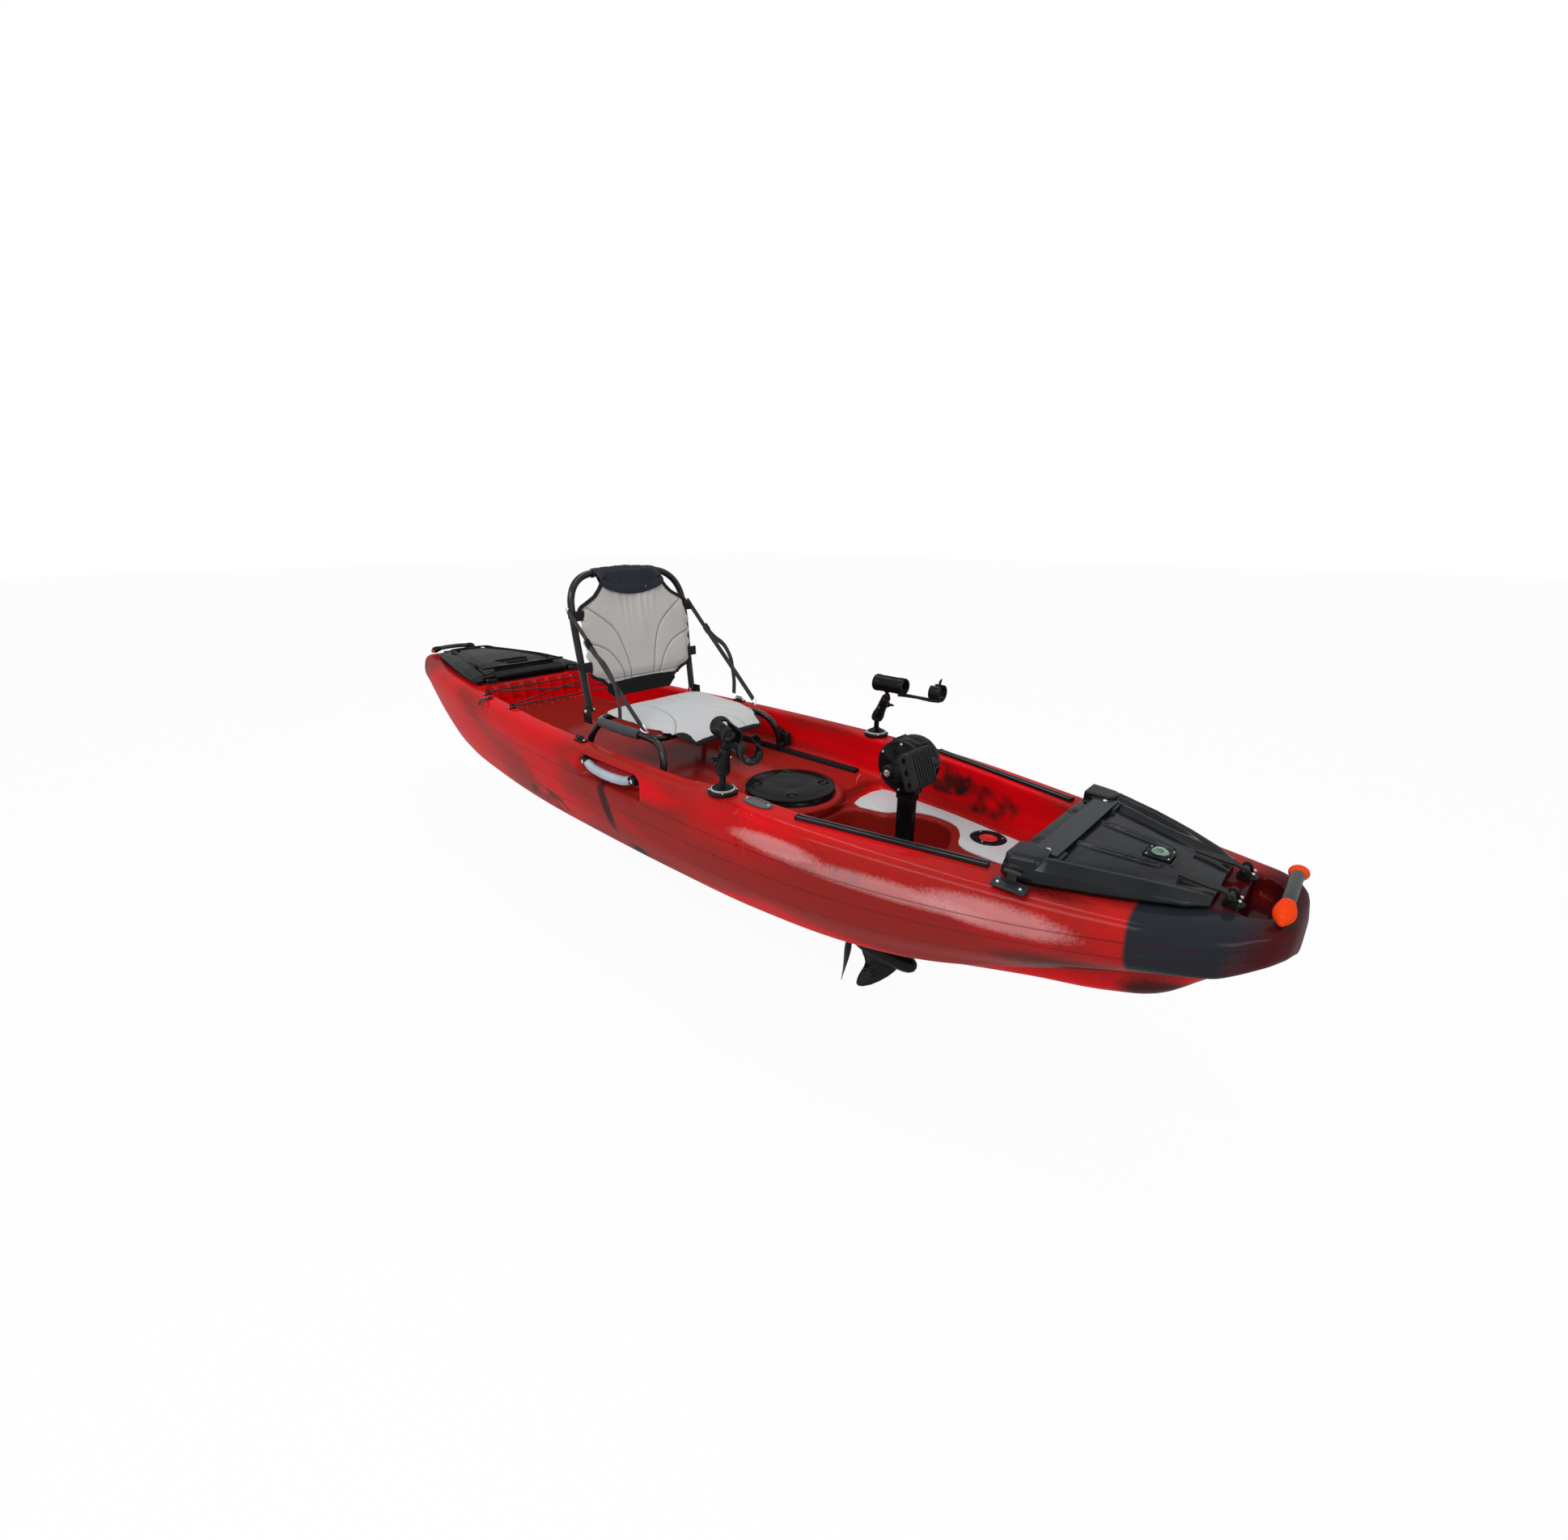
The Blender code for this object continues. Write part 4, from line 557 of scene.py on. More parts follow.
def build_hull():
    stations = (list(np.linspace(STERN_X, -1.88, 14))
        + list(np.linspace(-1.86, 1.84, 170)) + list(np.linspace(1.855,
        BOW_X, 40)))
    hull = loft("kayak_hull", [hull_section(float(x)) for x in stations], WALL_RED)
    runner = loft("runner", [[(x, -0.055, 0.03), (x, 0.055, 0.03), (x, 0.047, drop),
        (x, -0.047, drop)] for x, drop in tenths(-11600, 240, -11000, 0, 6200, 0, 6800, 160)])
    boolean(hull, runner, "UNION")
    top = 0.62
    cuts = [prism("seat_well", strip(-0.985, 1.09, lambda x: cockpit_half(x) - 0.008, 24,
        0.03), DECK_FLOOR_Z, 0.335, None, 0.012), prism("seat_well_top",
        strip(-0.985, 1.09, cockpit_half, 24, 0.03), 0.328, top, None, 0.01),
        prism("foot_well", strip(0.79, 1.455, lambda x: cockpit_half(x) - 0.009, 12,
        0.03), FOOT_FLOOR_Z, 0.315, None, 0.012), prism("foot_well_top", strip(0.79, 1.455,
        lambda x: cockpit_half(x) - 0.001, 12, 0.03), 0.308, top, None, 0.006),
        prism("drive_well", well_outline(), WELL_FLOOR_Z, 0.4, None, 0.008),
        box("slot", (0.868, -0.07, -0.1), (1.176, 0.07, 0.3)), prism("bow_recess",
        strip(1.886, 1.922, lambda x: line(CREST, x) - 0.048, 3, 0.012), 0.352, top, None,
        0.006), prism("bow_hold", strip(1.532, 1.778, lambda x: line(CREST, x) - 0.064, 8,
        0.03), 0.215, 0.372, None, 0.05), prism("bow_mouth", strip(1.52, 1.79,
        lambda x: line(CREST, x) - 0.06, 8, 0.03), 0.362, top), prism("stern_hold",
        strip(-1.345, -1.065, lambda x: line(CREST, x) - 0.05, 8, 0.03), 0.15, 0.372, None,
        0.02), prism("stern_mouth", strip(-1.35, -1.06, lambda x: line(CREST, x) - 0.046, 8,
        0.03), 0.362, top), turned("round_mouth", tenths(1040, 0, 1080, 600, 1080, 1200),
        (ROUND_HATCH_X, 0, 0.13), UP), turned("round_mouth_top", [(0.108, 0.0), (0.108, 0.12)],
        (ROUND_HATCH_X, 0, 0.24), UP), turned("plug_hole", [(0.0115, 0.0), (0.0115, 0.055)],
        (STERN_X - 0.03, 0.0, 0.365), (1, 0, 0), count=16),]
    for _, s in SIDES:
        scoop = []
        for y, x0, x1, z0, z1, r in ((0.381, 0.104, 0.386, 0.32, 0.362, 0.019),
                (0.392, 0.088, 0.402, 0.311, 0.371, 0.026), (0.412, 0.07, 0.42, 0.298, 0.378,
                0.034), (0.46, 0.046, 0.444, 0.276, 0.384, 0.046)):
            middle = Vector(((x0 + x1) / 2, (z0 + z1) / 2))
            scoop.append([(middle.x + a, s * y, middle.y + b) for a, b in rounded(x1 - x0,
                z1 - z0, r, 8)])
        cuts.append(loft("pocket", scoop))
    cut(hull, *cuts)
    for k in range(7):
        y = -0.192 + 0.064 * k
        rib = loft("rib", [[(-1.01, y - w, z), (-1.01, y + w, z), (-1.005 + d, y + w * 0.6, z),
            (-1.005 + d, y - w * 0.6, z)] for z, w, d in tenths(2620, 100, 400, 3750, 100, 300,
            3970, 90, 180, n=3)])
        boolean(hull, rib, "UNION")
    ring = turned("hatch_ring", tenths(1445, -100, 1780, -100, 1720, 75, 1475, 90),
        (ROUND_HATCH_X, 0, DECK_FLOOR_Z), UP, bored=True, count=64)
    boolean(hull, ring, "UNION")
    remesh(hull, *(((0.0058, 14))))
    mark_girth(hull)
    hull.data.materials.clear()
    hull.data.materials.append(WALL_RED)
    hull.data.shade_smooth()
    return place(hull, "hull", "hull", "hull")


def mark_girth(hull):
    """Store how far up the outer skin each vertex is, and press the small mouldings in."""
    mesh = hull.data
    spots = read_points(mesh.vertices)
    normals = read_points(mesh.vertex_normals, "vector")
    x, y, z = spots.T
    chine = np.array([line(CHINE_Z, v) for v in np.linspace(STERN_X, BOW_X, 200)])
    sheer = np.array([line(SHEER, v) for v in np.linspace(STERN_X, BOW_X, 200)])
    crest = np.array([line(CREST, v) for v in np.linspace(STERN_X, BOW_X, 200)])
    grid = np.linspace(STERN_X, BOW_X, 200)
    low, high, rim = (np.interp(x, grid, v) for v in (chine, sheer, crest))
    girth = (z - low) / (high - low)
    inside = (np.abs(y) < rim - 0.004) & (z > low + 0.03)
    girth[inside] = -1.0
    outward = np.abs(normals[:, 1]) > 0.15
    notch = (np.abs(np.abs(x - 0.852) - 0.55 * (girth - 0.66) * 0.13) < 0.006)
    notch &= (girth > 0.66) & (girth < 0.98) & ~inside & outward
    spots[notch] -= normals[notch] * 0.004
    mesh.vertices.foreach_set("co", spots.ravel())
    store = mesh.attributes.new("girth", "FLOAT", "POINT")
    store.data.foreach_set("value", girth)
    mesh.update()


# Other materials
CHARCOAL = plastic("lid_charcoal", (0.0075, 0.0085, 0.0105), (0.04, 0.045, 0.052), 0.27,
    700.0, 0.00014, 0.22, 0.32, 0.0)
BLACK = plastic("moulded_black", (0.0045, 0.0047, 0.005), (0.026, 0.027, 0.029), 0.3, 900.0,
    0.0001, 0.22, 0.2, 0.0)
GLOSS = plastic("stern_black", (0.003, 0.003, 0.0034), (0.014, 0.014, 0.016), 0.15, 500.0,
    0.00005, 0.25, 0.2, 0.0)
RUBBER = plastic("soft_rubber", (0.008, 0.008, 0.0085), (0.03, 0.03, 0.03), 0.66, 1200.0,
    0.0002, 0.25, 0.0, 0.3)
ORANGE = plastic("signal_orange", (0.8, 0.045, 0.003), (0.85, 0.09, 0.012), 0.36, 900.0,
    0.0001, 0.15, 0.1, 0.0)
RING_GREY = plastic("ring_grey", (0.26, 0.265, 0.27), (0.42, 0.42, 0.42), 0.45)
RED_TRIM = plastic("red_trim", (0.62, 0.008, 0.014), (0.75, 0.1, 0.09), 0.33)
GRIP = plastic("rubber_grip", (0.3, 0.36, 0.43), (0.5, 0.56, 0.62), 0.62, 700.0, 0.0002, 0.45)
DARK_GRIP = plastic("dark_grip", (0.016, 0.018, 0.02), (0.06, 0.06, 0.065), 0.5, 600.0, 0.0003,
    0.25, 0.0, 0.3)
OVAL = plastic("oval_plate", (0.026, 0.034, 0.031), (0.08, 0.1, 0.09), 0.36)
STEEL = metal("bright_steel", (0.62, 0.62, 0.64), 0.24)
BRASS = metal("worn_brass", (0.42, 0.36, 0.26), 0.38)
TRACK = metal("track_aluminium", (0.045, 0.048, 0.052), 0.42, (1.5, 60.0, 60.0))


def tube_look():
    """Black coated tube, glossy with fine orange peel."""
    look = Look("frame_tube", 0.24, 0.0, Coat_Weight=0.2, Coat_Roughness=0.1,
        Specular_IOR_Level=0.2)
    peel = look.noise(260.0, 2.0)
    cloud = look.noise(12.0, 4.0)
    look.bump(peel, 0.00005)
    tone = look.mix(look.span(cloud, 0.4, 0.7, 0.0, 0.6), (0.005, 0.005, 0.0055),
        (0.012, 0.012, 0.013))
    return look.done(tone, look.span(cloud, 0.3, 0.7, 0.2, 0.34))


def foam_look():
    """Closed-cell foam mat with a brushed, speckled top."""
    look = Look("foam_mat", 0.9, Sheen_Weight=0.15, Sheen_Roughness=0.5)
    fine = look.noise(520.0, 3.0)
    cloud = look.noise(10.0, 5.0)
    tone = look.mix(look.span(fine, 0.3, 0.75), (0.46, 0.47, 0.49), (0.6, 0.61, 0.62))
    tone = look.mix(look.span(cloud, 0.5, 0.75, 0.0, 0.35), tone, (0.4, 0.4, 0.41))
    look.bump(fine, 0.0006)
    return look.done(tone)


TUBE, FOAM = tube_look(), foam_look()


def moulded(made, voxel, smooth):
    """Give a built-up form the soft radii of a moulding."""
    remesh(made, voxel * (1.0), smooth)
    made.data.shade_smooth()
    return made


def fuse(target, *tools):
    for tool in tools:
        boolean(target, tool, "UNION")
    return target


def screw(name, spot, direction, radius):
    """A pan head with a cross recess, standing on a surface."""
    head = turned(name, [(radius, -0.0015), (radius, 0.0008), (radius * 0.82, 0.002),
        (radius * 0.45, 0.0026), (radius * 0.12, 0.0027)], spot, direction, STEEL, count=20)
    along, side, up = axes_of(direction)
    top = Vector(spot) + along * 0.0022
    for a, b in ((side, up), (up, side)):
        ring = [top + a * i * radius * 0.55 + b * j * radius * 0.13 for i, j in ((-1, -1),
            (1, -1), (1, 1), (-1, 1))]
        boolean(head, loft("cross", [ring, [p + along * 0.002 for p in ring]]))
    return head


def screws(name, body, radius, direction, *spots):
    """Steel screws of one size on a body."""
    for spot in spots:
        place(screw(name, spot, direction, radius), body, "steel")


BOW_LID = tenths(14800, 2680, 4300, 4240, 15000, 2810, 4370, 4270, 15600, 2640, 4370, 4270,
    16500, 2280, 4310, 4230, 17400, 1860, 4230, 4170, 18000, 1540, 4160, 4120, 18340, 1240,
    4100, 4080, n=4)
STERN_LID = tenths(-17900, 1180, 4440, 4500, -17650, 1320, 4520, 4590, -16200, 1660, 4600, 4680,
    -14000, 2120, 4640, 4740, -12000, 2480, 4600, 4700, -10500, 2680, 4460, 4540, -10000, 2680,
    4340, 4400, n=4)


def lid_values(stations, x):
    """Half width, edge height and middle height of a lid at x."""
    xs = [s[0] for s in stations]
    return [float(np.interp(x, xs, [s[n] for s in stations])) for n in (1, 2, 3)]


def lid_body(name, stations, foot, wall, look, count, shape):
    """A lid shell, hollow below; the shape gives its profile from the rim to the middle."""
    first, last = stations[0][0], stations[-1][0]
    outer, inner = [], []
    for x in np.linspace(first, last, count):
        half, hump, middle = lid_values(stations, x)
        right = [(x, -y, z) for y, z in shape(x, half, hump, middle, foot)]
        outer.append(right + [(x, -y, z) for _, y, z in reversed(right[:-1])])
    for x in np.linspace(first + wall, last - wall, 12):
        half, hump, middle = lid_values(stations, x)
        profile = [(half - wall, foot - 0.01), (half - wall, foot + 0.3 * (hump - foot)),
            (half - 0.052, foot + 0.5 * (hump - foot)), (half - 0.086, middle - 2.4 * wall),
            (half - 0.108, middle - 2.2 * wall)]
        right = [(x, -y, z) for y, z in profile]
        inner.append(right + [(x, y, z) for y, z in reversed(profile)])
    return cut(loft(name, outer, look), loft("lid_hollow", inner))


def stern_shape(_, half, hump, middle, foot):
    return [(half, foot), (half - 0.001, foot + 0.45 * (hump - foot)),
        (half - 0.01, foot + 0.8 * (hump - foot)), (half - 0.03, hump - 0.002),
        (half - 0.05, hump + 0.001), (half - 0.078, hump + 0.001), (half - 0.106, middle),
        (0.35 * half, middle + 0.001), (0.0, middle + 0.0015)]


def bow_shape(x, half, hump, middle, foot):
    """A long rounded bead along each side, hollowed inside in its forward half."""
    fade = float(np.interp(x, [1.48, 1.56, 1.7, 1.8, 1.834], [1.0, 1.0, 0.9, 0.5, 0.15]))
    dip = 0.0035 * math.exp(-((x - 1.66) / 0.06) ** 2)
    lift = 0.012 * fade
    return [(half, foot), (half - 0.001, foot + 0.4 * (hump - foot)),
        (half - 0.005, foot + 0.72 * (hump - foot)), (half - 0.014, hump - 0.001),
        (half - 0.026, hump + lift), (half - 0.04, hump + lift * 0.8),
        (half - 0.052, hump - 0.002 - dip), (half - 0.072, middle - 0.0035 * fade - dip),
        (half - 0.098, middle - 0.002 * fade), (0.4 * half, middle),
        (0.25 * half, middle + 0.001), (0.0, middle + 0.0015)]


def build_bow_lid():
    lid = lid_body("bow_lid", BOW_LID, 0.3985, 0.006, CHARCOAL, 56, bow_shape)
    parts = []
    for _, s in SIDES:
        parts.append(loft("corner", [[(1.484, s * 0.19, z), (1.484, s * 0.262, z),
            (1.497, s * (0.274 - d), z), (1.545, s * (0.262 - d), z), (1.556, s * (0.246 - d), z),
            (1.556, s * 0.198, z), (1.545, s * 0.188, z)] for z, d in ((0.4, 0.0), (0.438, 0.003),
            (0.4455, 0.008), (0.4495, 0.02))]))
        rib = [(x, s * y, z) for x, y, z in tenths(15450, 760, 4275, 16000, 680, 4300, 16800,
            560, 4270, 17300, 470, 4215, n=3)]
        parts.append(sweep("rib", smooth_path(rib, 4), rounded(0.012, 0.01, 0.004, 2)))
        parts.append(prism("strap_pad", [(1.505, s * 0.15), (1.505, s * 0.2), (1.574, s * 0.2),
            (1.574, s * 0.15)], 0.42, 0.4365))
        parts.append(loft("step", [[(1.484, s * (y - 0.018), z), (1.484, s * (y + 0.018), z),
            (1.512, s * (y + 0.012), z), (1.512, s * (y - 0.012), z)] for z in (0.415, 0.4315)
            for y in (0.105,)]))
    parts.append(prism("compass_pad", tenths(16780, -340, 17460, -340, 17460, 340, 16780,
        340), 0.408, 0.4205))
    fuse(lid, *parts)
    cuts = []
    for _, s in SIDES:
        leaf = tenths(17480, 85, 17650, 130, 18250, 255, 18500, 260, 18500, -260, 18250, -255,
            17650, -130, 17480, -85)
        cuts.append(prism("leaf_pocket", [(x, s * 0.071 + y) for x, y in leaf], 0.417, 0.46,
            None, 0.001))
        cuts.append(turned("latch_notch", [(0.02, 0.0), (0.02, 0.1)], (1.515, s * 0.2965, 0.38),
            (0, 0, 1)))
        lens = []
        for k in range(13):
            t = k / 12
            x = 1.585 + 0.135 * t
            half, _, middle = lid_values(BOW_LID, x)
            wide = 0.0145 * math.sin(math.pi * t) + 0.0004
            lens.append([(x, s * (half - 0.068 + wide * a), middle + 0.003 + 0.0115 * b
                * math.sin(math.pi * min(t * 0.9 + 0.1, 1.0))) for a, b in circle(1.0, 12)])
        cuts.append(loft("lens", lens))
        flank = []
        for k in range(13):
            t = k / 12
            x = 1.565 + 0.1 * t
            half, hump, _ = lid_values(BOW_LID, x)
            wide = 0.0105 * math.sin(math.pi * t) + 0.0004
            flank.append([(x, s * (half + 0.0035 + 0.0085 * a), hump - 0.014 + wide * b)
                for a, b in circle(1.0, 12)])
        cuts.append(loft("flank", flank))
    cuts.append(box("compass_seat", (1.6845, -0.0275, 0.415), (1.7395, 0.0275, 0.45)))
    cut(lid, *cuts)
    moulded(lid, 0.0024, 9)
    place(lid, "bow_hatch", "charcoal", "bow_hatch_lid")
    for _, s in SIDES:
        screws("strap_screw", "bow_hatch", 0.0055, UP, (1.5405, s * 0.178, 0.4416))
        build_hinge(s)


def build_hinge(s):
    """The barrel, ears and screws of a bow hinge, on its packed leaf and base."""
    x, y, z = 1.858, s * 0.071, 0.412
    barrel = turned("hinge_barrel", tenths(40, -250, 66, -235, 70, -100, 62, -95, 62, 95, 70,
        100, 66, 235, 40, 250), (x, y, z), (0, 1, 0), BLACK, 28)
    for shift in (-0.0175, 0.0175):
        ear = tenths(-85, -105, 125, -105, 110, 10, 70, 80, 0, 105, -60, 85, -90, 10)
        join(barrel, loft("ear", [[(x + a, y + shift + w, z + b) for a, b in ear]
            for w in (-0.0042, 0.0042)], BLACK))
    soften(barrel, 0.0009, 2, 40.0)
    place(barrel, "hull", "black")
    screws("hinge_screw", "hull", 0.0036, UP, *((1.873, y + d, 0.4095) for d in (-0.01, 0.01)))


def build_compass():
    z = 0.4201
    plate = box("compass_plate", (1.686, -0.026, z), (1.738, 0.026, z + 0.0045), BLACK, 0.0012)
    cup = turned("compass_cup", tenths(205, 0, 215, 20, 205, 38, 182, 42, 180, 0),
        (COMPASS_X, 0.0, z + 0.004), UP, BLACK, bored=True)
    join(plate, cup)
    place(plate, "bow_hatch", "black", "compass")
    card_look = Look("compass_card", 0.35)
    ticks = card_look.put("TexWave", {"Vector": card_look.place, "Scale": 60.0,
        "Distortion": 4.0, "Detail": 2.0}, wave_type="RINGS").outputs["Fac"]
    tone = card_look.mix(card_look.span(ticks, 0.55, 0.7), (0.008, 0.035, 0.025), (0.3, 0.42, 0.33))
    card = turned("compass_card", tenths(165, 0, 165, 20, 40, 45, 0, 50),
        (COMPASS_X, 0.0, z + 0.0035), UP, card_look.done(tone), 32)
    place(card, "bow_hatch", "black")
    glass = Look("compass_dome", 0.06, Transmission_Weight=0.9, IOR=1.4)
    swirl = glass.noise(40.0, 3.0)
    dome = [(0.0178 * math.cos(a), 0.0125 * math.sin(a)) for a in np.linspace(0.0, 1.56, 9)]
    shell = turned("compass_dome", [(0.0178, -0.003)] + dome, (COMPASS_X, 0.0, z + 0.005), UP,
        glass.done(glass.mix(swirl, (0.35, 0.62, 0.5), (0.55, 0.72, 0.64)), glass.span(swirl,
        0.3, 0.7, 0.04, 0.1)), 40)
    place(shell, "bow_hatch", "black")
    for a in (-1, 1):
        for b in (-1, 1):
            screws("compass_screw", "bow_hatch", 0.0019, UP, (COMPASS_X + a * 0.0215, b * 0.0215,
                z + 0.0047))


def build_stern_lid():
    lid = lid_body("stern_lid", STERN_LID, 0.4215, 0.006, GLOSS, 48, stern_shape)
    outline = tenths(-17000, 850, -16000, 1040, -14300, 1420, -12600, 1760, -11000, 1860,
        -10750, 1760)
    knots = [(x, -y, 0) for x, y in outline] + [(x, y, 0) for x, y in reversed(outline)]
    knots = [(p.x, p.y, 0.4695 - 0.012 * max(0.0, abs(p.x + 1.38) - 0.12) ** 1.3)
        for p in smooth_path(knots, 4, closed=True)]
    bead = sweep("bead", knots, rounded(0.01, 0.01, 0.004, 2), closed=True)
    fuse(lid, bead, box("grip_floor", (-1.255, -0.105, 0.449), (-1.1, 0.105, 0.466)))
    cuts = [prism("grip_recess", tenths(-12360, -800, -12220, -880, -11360, -600, -11220, -460,
        -11220, 460, -11360, 600, -12220, 880, -12360, 800), 0.456, 0.5, None, 0.012)]
    for _, s in SIDES:
        cuts.append(box("latch_notch", (-1.02, s * 0.176, 0.405), (-0.98, s * 0.234, 0.4385)))
    cut(lid, *cuts)
    bar = loft("grip_bar", [[(-1.17, y, z - 0.0035), (-1.15, y, z - 0.0035),
        (-1.15, y, z + 0.004), (-1.17, y, z + 0.004)] for y, z in tenths(-700, 4620, -450, 4665,
        450, 4665, 700, 4620)])
    fuse(lid, bar)
    moulded(lid, 0.003, 4)
    place(lid, "stern_hatch", "black", "stern_hatch_lid")
    for _, s in SIDES:
        pad = box("stern_hinge_pad", (-1.8, s * 0.052, 0.4325), (-1.768, s * 0.096, 0.452),
            GLOSS, 0.004, 3)
        place(pad, "stern_hatch", "black")


def build_latches():
    for side, s in SIDES:
        tongue = sweep("bow_latch_tongue_" + side, smooth_path([(1.515, s * 0.2885, 0.3925),
            (1.515, s * 0.2915, 0.404), (1.515, s * 0.2905, 0.416), (1.515, s * 0.2875, 0.4275)],
            4), rounded(0.02, 0.0042, 0.0018, 3), RUBBER, up=(0, 1, 0))
        bar = sweep("bar", [(1.497, s * 0.2905, 0.4235), (1.533, s * 0.2905, 0.4235)],
            rounded(0.007, 0.008, 0.003, 3), RUBBER)
        for k in range(3):
            x = 1.509 + 0.006 * k
            join(bar, sweep("ridge", [(x, s * 0.2925, 0.4), (x, s * 0.2935, 0.417)],
                rounded(0.002, 0.002, 0.0009, 2), RUBBER, up=(1, 0, 0)))
        join(tongue, bar)
        place(tongue, "bow_latch_" + side, "rubber", "bow_latch_" + side)
        slope = math.radians(18.0)
        plate = box("bow_latch_plate_" + side, (1.478, -0.0165, -0.006),
            (1.552, 0.0165, 0.0), CHARCOAL, 0.0016)
        plate.data.transform(Matrix.Translation((0, s * 0.296, 0.3982)) @ Matrix.Rotation(-s
            * slope * 0.3, 4, "X"))
        place(plate, "hull", "charcoal")
        screws("latch_screw", "hull", 0.004, (0, s * 0.1, 1), *((x, s * 0.301, 0.3978)
            for x in (1.491, 1.539)))
        paddle = sweep("stern_latch_paddle_" + side, smooth_path([(-0.9965, s * 0.205, 0.4335),
            (-0.9905, s * 0.205, 0.426), (-0.9895, s * 0.205, 0.414)], 4),
            rounded(0.05, 0.0042, 0.0018, 3), BLACK, up=(1, 0, 0))
        place(paddle, "stern_latch_" + side, "black", "stern_latch_" + side)


def build_seals():
    """Rubber seals round the two hatch mouths, on the hull."""
    for name, first, last, inset in (("bow", 1.52, 1.79, 0.054), ("stern", -1.35, -1.06, 0.04)):
        rim = strip(first - 0.006, last + 0.006, lambda x: line(CREST, x) - inset, 10, 0.03)
        path = [Vector((x, y, float(line(SHEER, x)) + 0.0008)) for x, y in rim]
        seal = sweep(name + "_seal", path, rounded(0.007, 0.0052, 0.0022, 3), RUBBER, closed=True)
        place(seal, "hull", "rubber")


def build_round_lid():
    x, y, z = ROUND_HATCH_X, 0.0, DECK_FLOOR_Z
    cap = turned("round_lid", tenths(1055, 45, 1060, 186, 1440, 186, 1450, 215, 1440, 250, 1390,
        266, 1330, 282, 1300, 275, 1275, 283, 600, 295, 520, 285, 440, 292, 0, 296), (x, y, z),
        UP, GLOSS, 96)
    for k in range(4):
        angle = math.radians(45 + 90 * k)
        spot = (x + 0.108 * math.cos(angle), y + 0.108 * math.sin(angle), z + 0.0232)
        boolean(cap, turned("cup", tenths(165, 0, 185, 30, 195, 200), spot, UP, count=32))
    soften(cap, 0.0006, 2, 40.0)
    place(cap, "round_hatch", "black", "round_hatch_lid")
    for k in range(4):
        angle = math.radians(45 + 90 * k)
        centre = Vector((x + 0.108 * math.cos(angle), y + 0.108 * math.sin(angle), z + 0.023))
        cam = turned("cam", tenths(92, 0, 100, 30, 92, 52, 35, 60), centre, UP, BLACK, 28)
        across = Vector((math.cos(angle + 0.8), math.sin(angle + 0.8), 0))
        arm = sweep("arm", [centre + Vector((0, 0, 0.004)), centre + across * 0.0165 + Vector((0,
            0, 0.0044))], rounded(0.007, 0.003, 0.0012, 3), BLACK)
        join(cam, arm)
        place(cam, "round_hatch", "black")
    collar = turned("round_collar", tenths(1120, 6, 1405, 6, 1400, 30, 1360, 165, 1345, 180,
        1120, 180), (x, y, z), UP, BLACK, 96, bored=True)
    place(collar, "hull", "black", "round_hatch_collar")


# Fittings on the hull
def build_rails():
    groove = tenths(-130, 0, 130, 0, 130, 118, 118, 130, 50, 130, 42, 122, 42, 90, 88, 90, 88, 45,
        -88, 45, -88, 90, -42, 90, -42, 122, -50, 130, -118, 130, -130, 118)
    for side, s in SIDES:
        ends = [Vector((x, s * y, float(line(SHEER, x)) + 0.0012)) for x, y in ((0.986, 0.347),
            (1.44, 0.243))]
        slim = [(a * 0.78, b * 0.66) for a, b in groove]
        track = sweep("track_" + side, ends, slim, TRACK)
        place(track, "hull", "track", "gear_track_" + side)
        for end, other in ((0, 1), (1, 0)):
            way = (ends[other] - ends[end]).normalized()
            cap = sweep("track_cap", [ends[end] - way * 0.0035, ends[end] + way * 0.0005],
                tenths(-108, -4, 108, -4, 108, 82, 96, 93, -96, 93, -108, 82), BLACK)
            place(cap, "hull", "black")
        screws("track_screw", "hull", 0.0036, UP,
            *(ends[0].lerp(ends[1], t) + Vector((0, 0, 0.0031)) for t in (0.06, 0.35, 0.64, 0.94)))
        floor = DECK_FLOOR_Z + 0.0004
        scale = [(a * 0.92, b * 1.07) for a, b in groove]
        rail = sweep("rail_" + side, [(-0.3, s * 0.285, floor), (0.705, s * 0.285, floor)],
            scale, BLACK)
        place(rail, "hull", "black", "seat_rail_" + side)
        screws("rail_screw", "hull", 0.0034, UP, *((x, s * 0.285, floor + 0.005)
            for x in (-0.26, 0.04, 0.42, 0.69)))
        clamp = box("clamp_" + side, (0.306, s * 0.2985, 0.291), (0.362, s * 0.325, 0.341),
            BLACK, 0.004, 3)
        for k in range(4):
            x = 0.316 + 0.012 * k
            boolean(clamp, box("flute", (x, s * 0.3225, 0.297), (x + 0.005, s * 0.33, 0.335)))
        place(clamp, "seat", "black", "seat_clamp_" + side)
        lever = sweep("clamp_lever_" + side, smooth_path([(0.334, s * 0.3115, 0.34),
            (0.33, s * 0.311, 0.352), (0.3, s * 0.308, 0.358), (0.276, s * 0.306, 0.352)],
            5), rounded(0.013, 0.006, 0.0025, 3), BLACK)
        place(lever, "seat", "black")


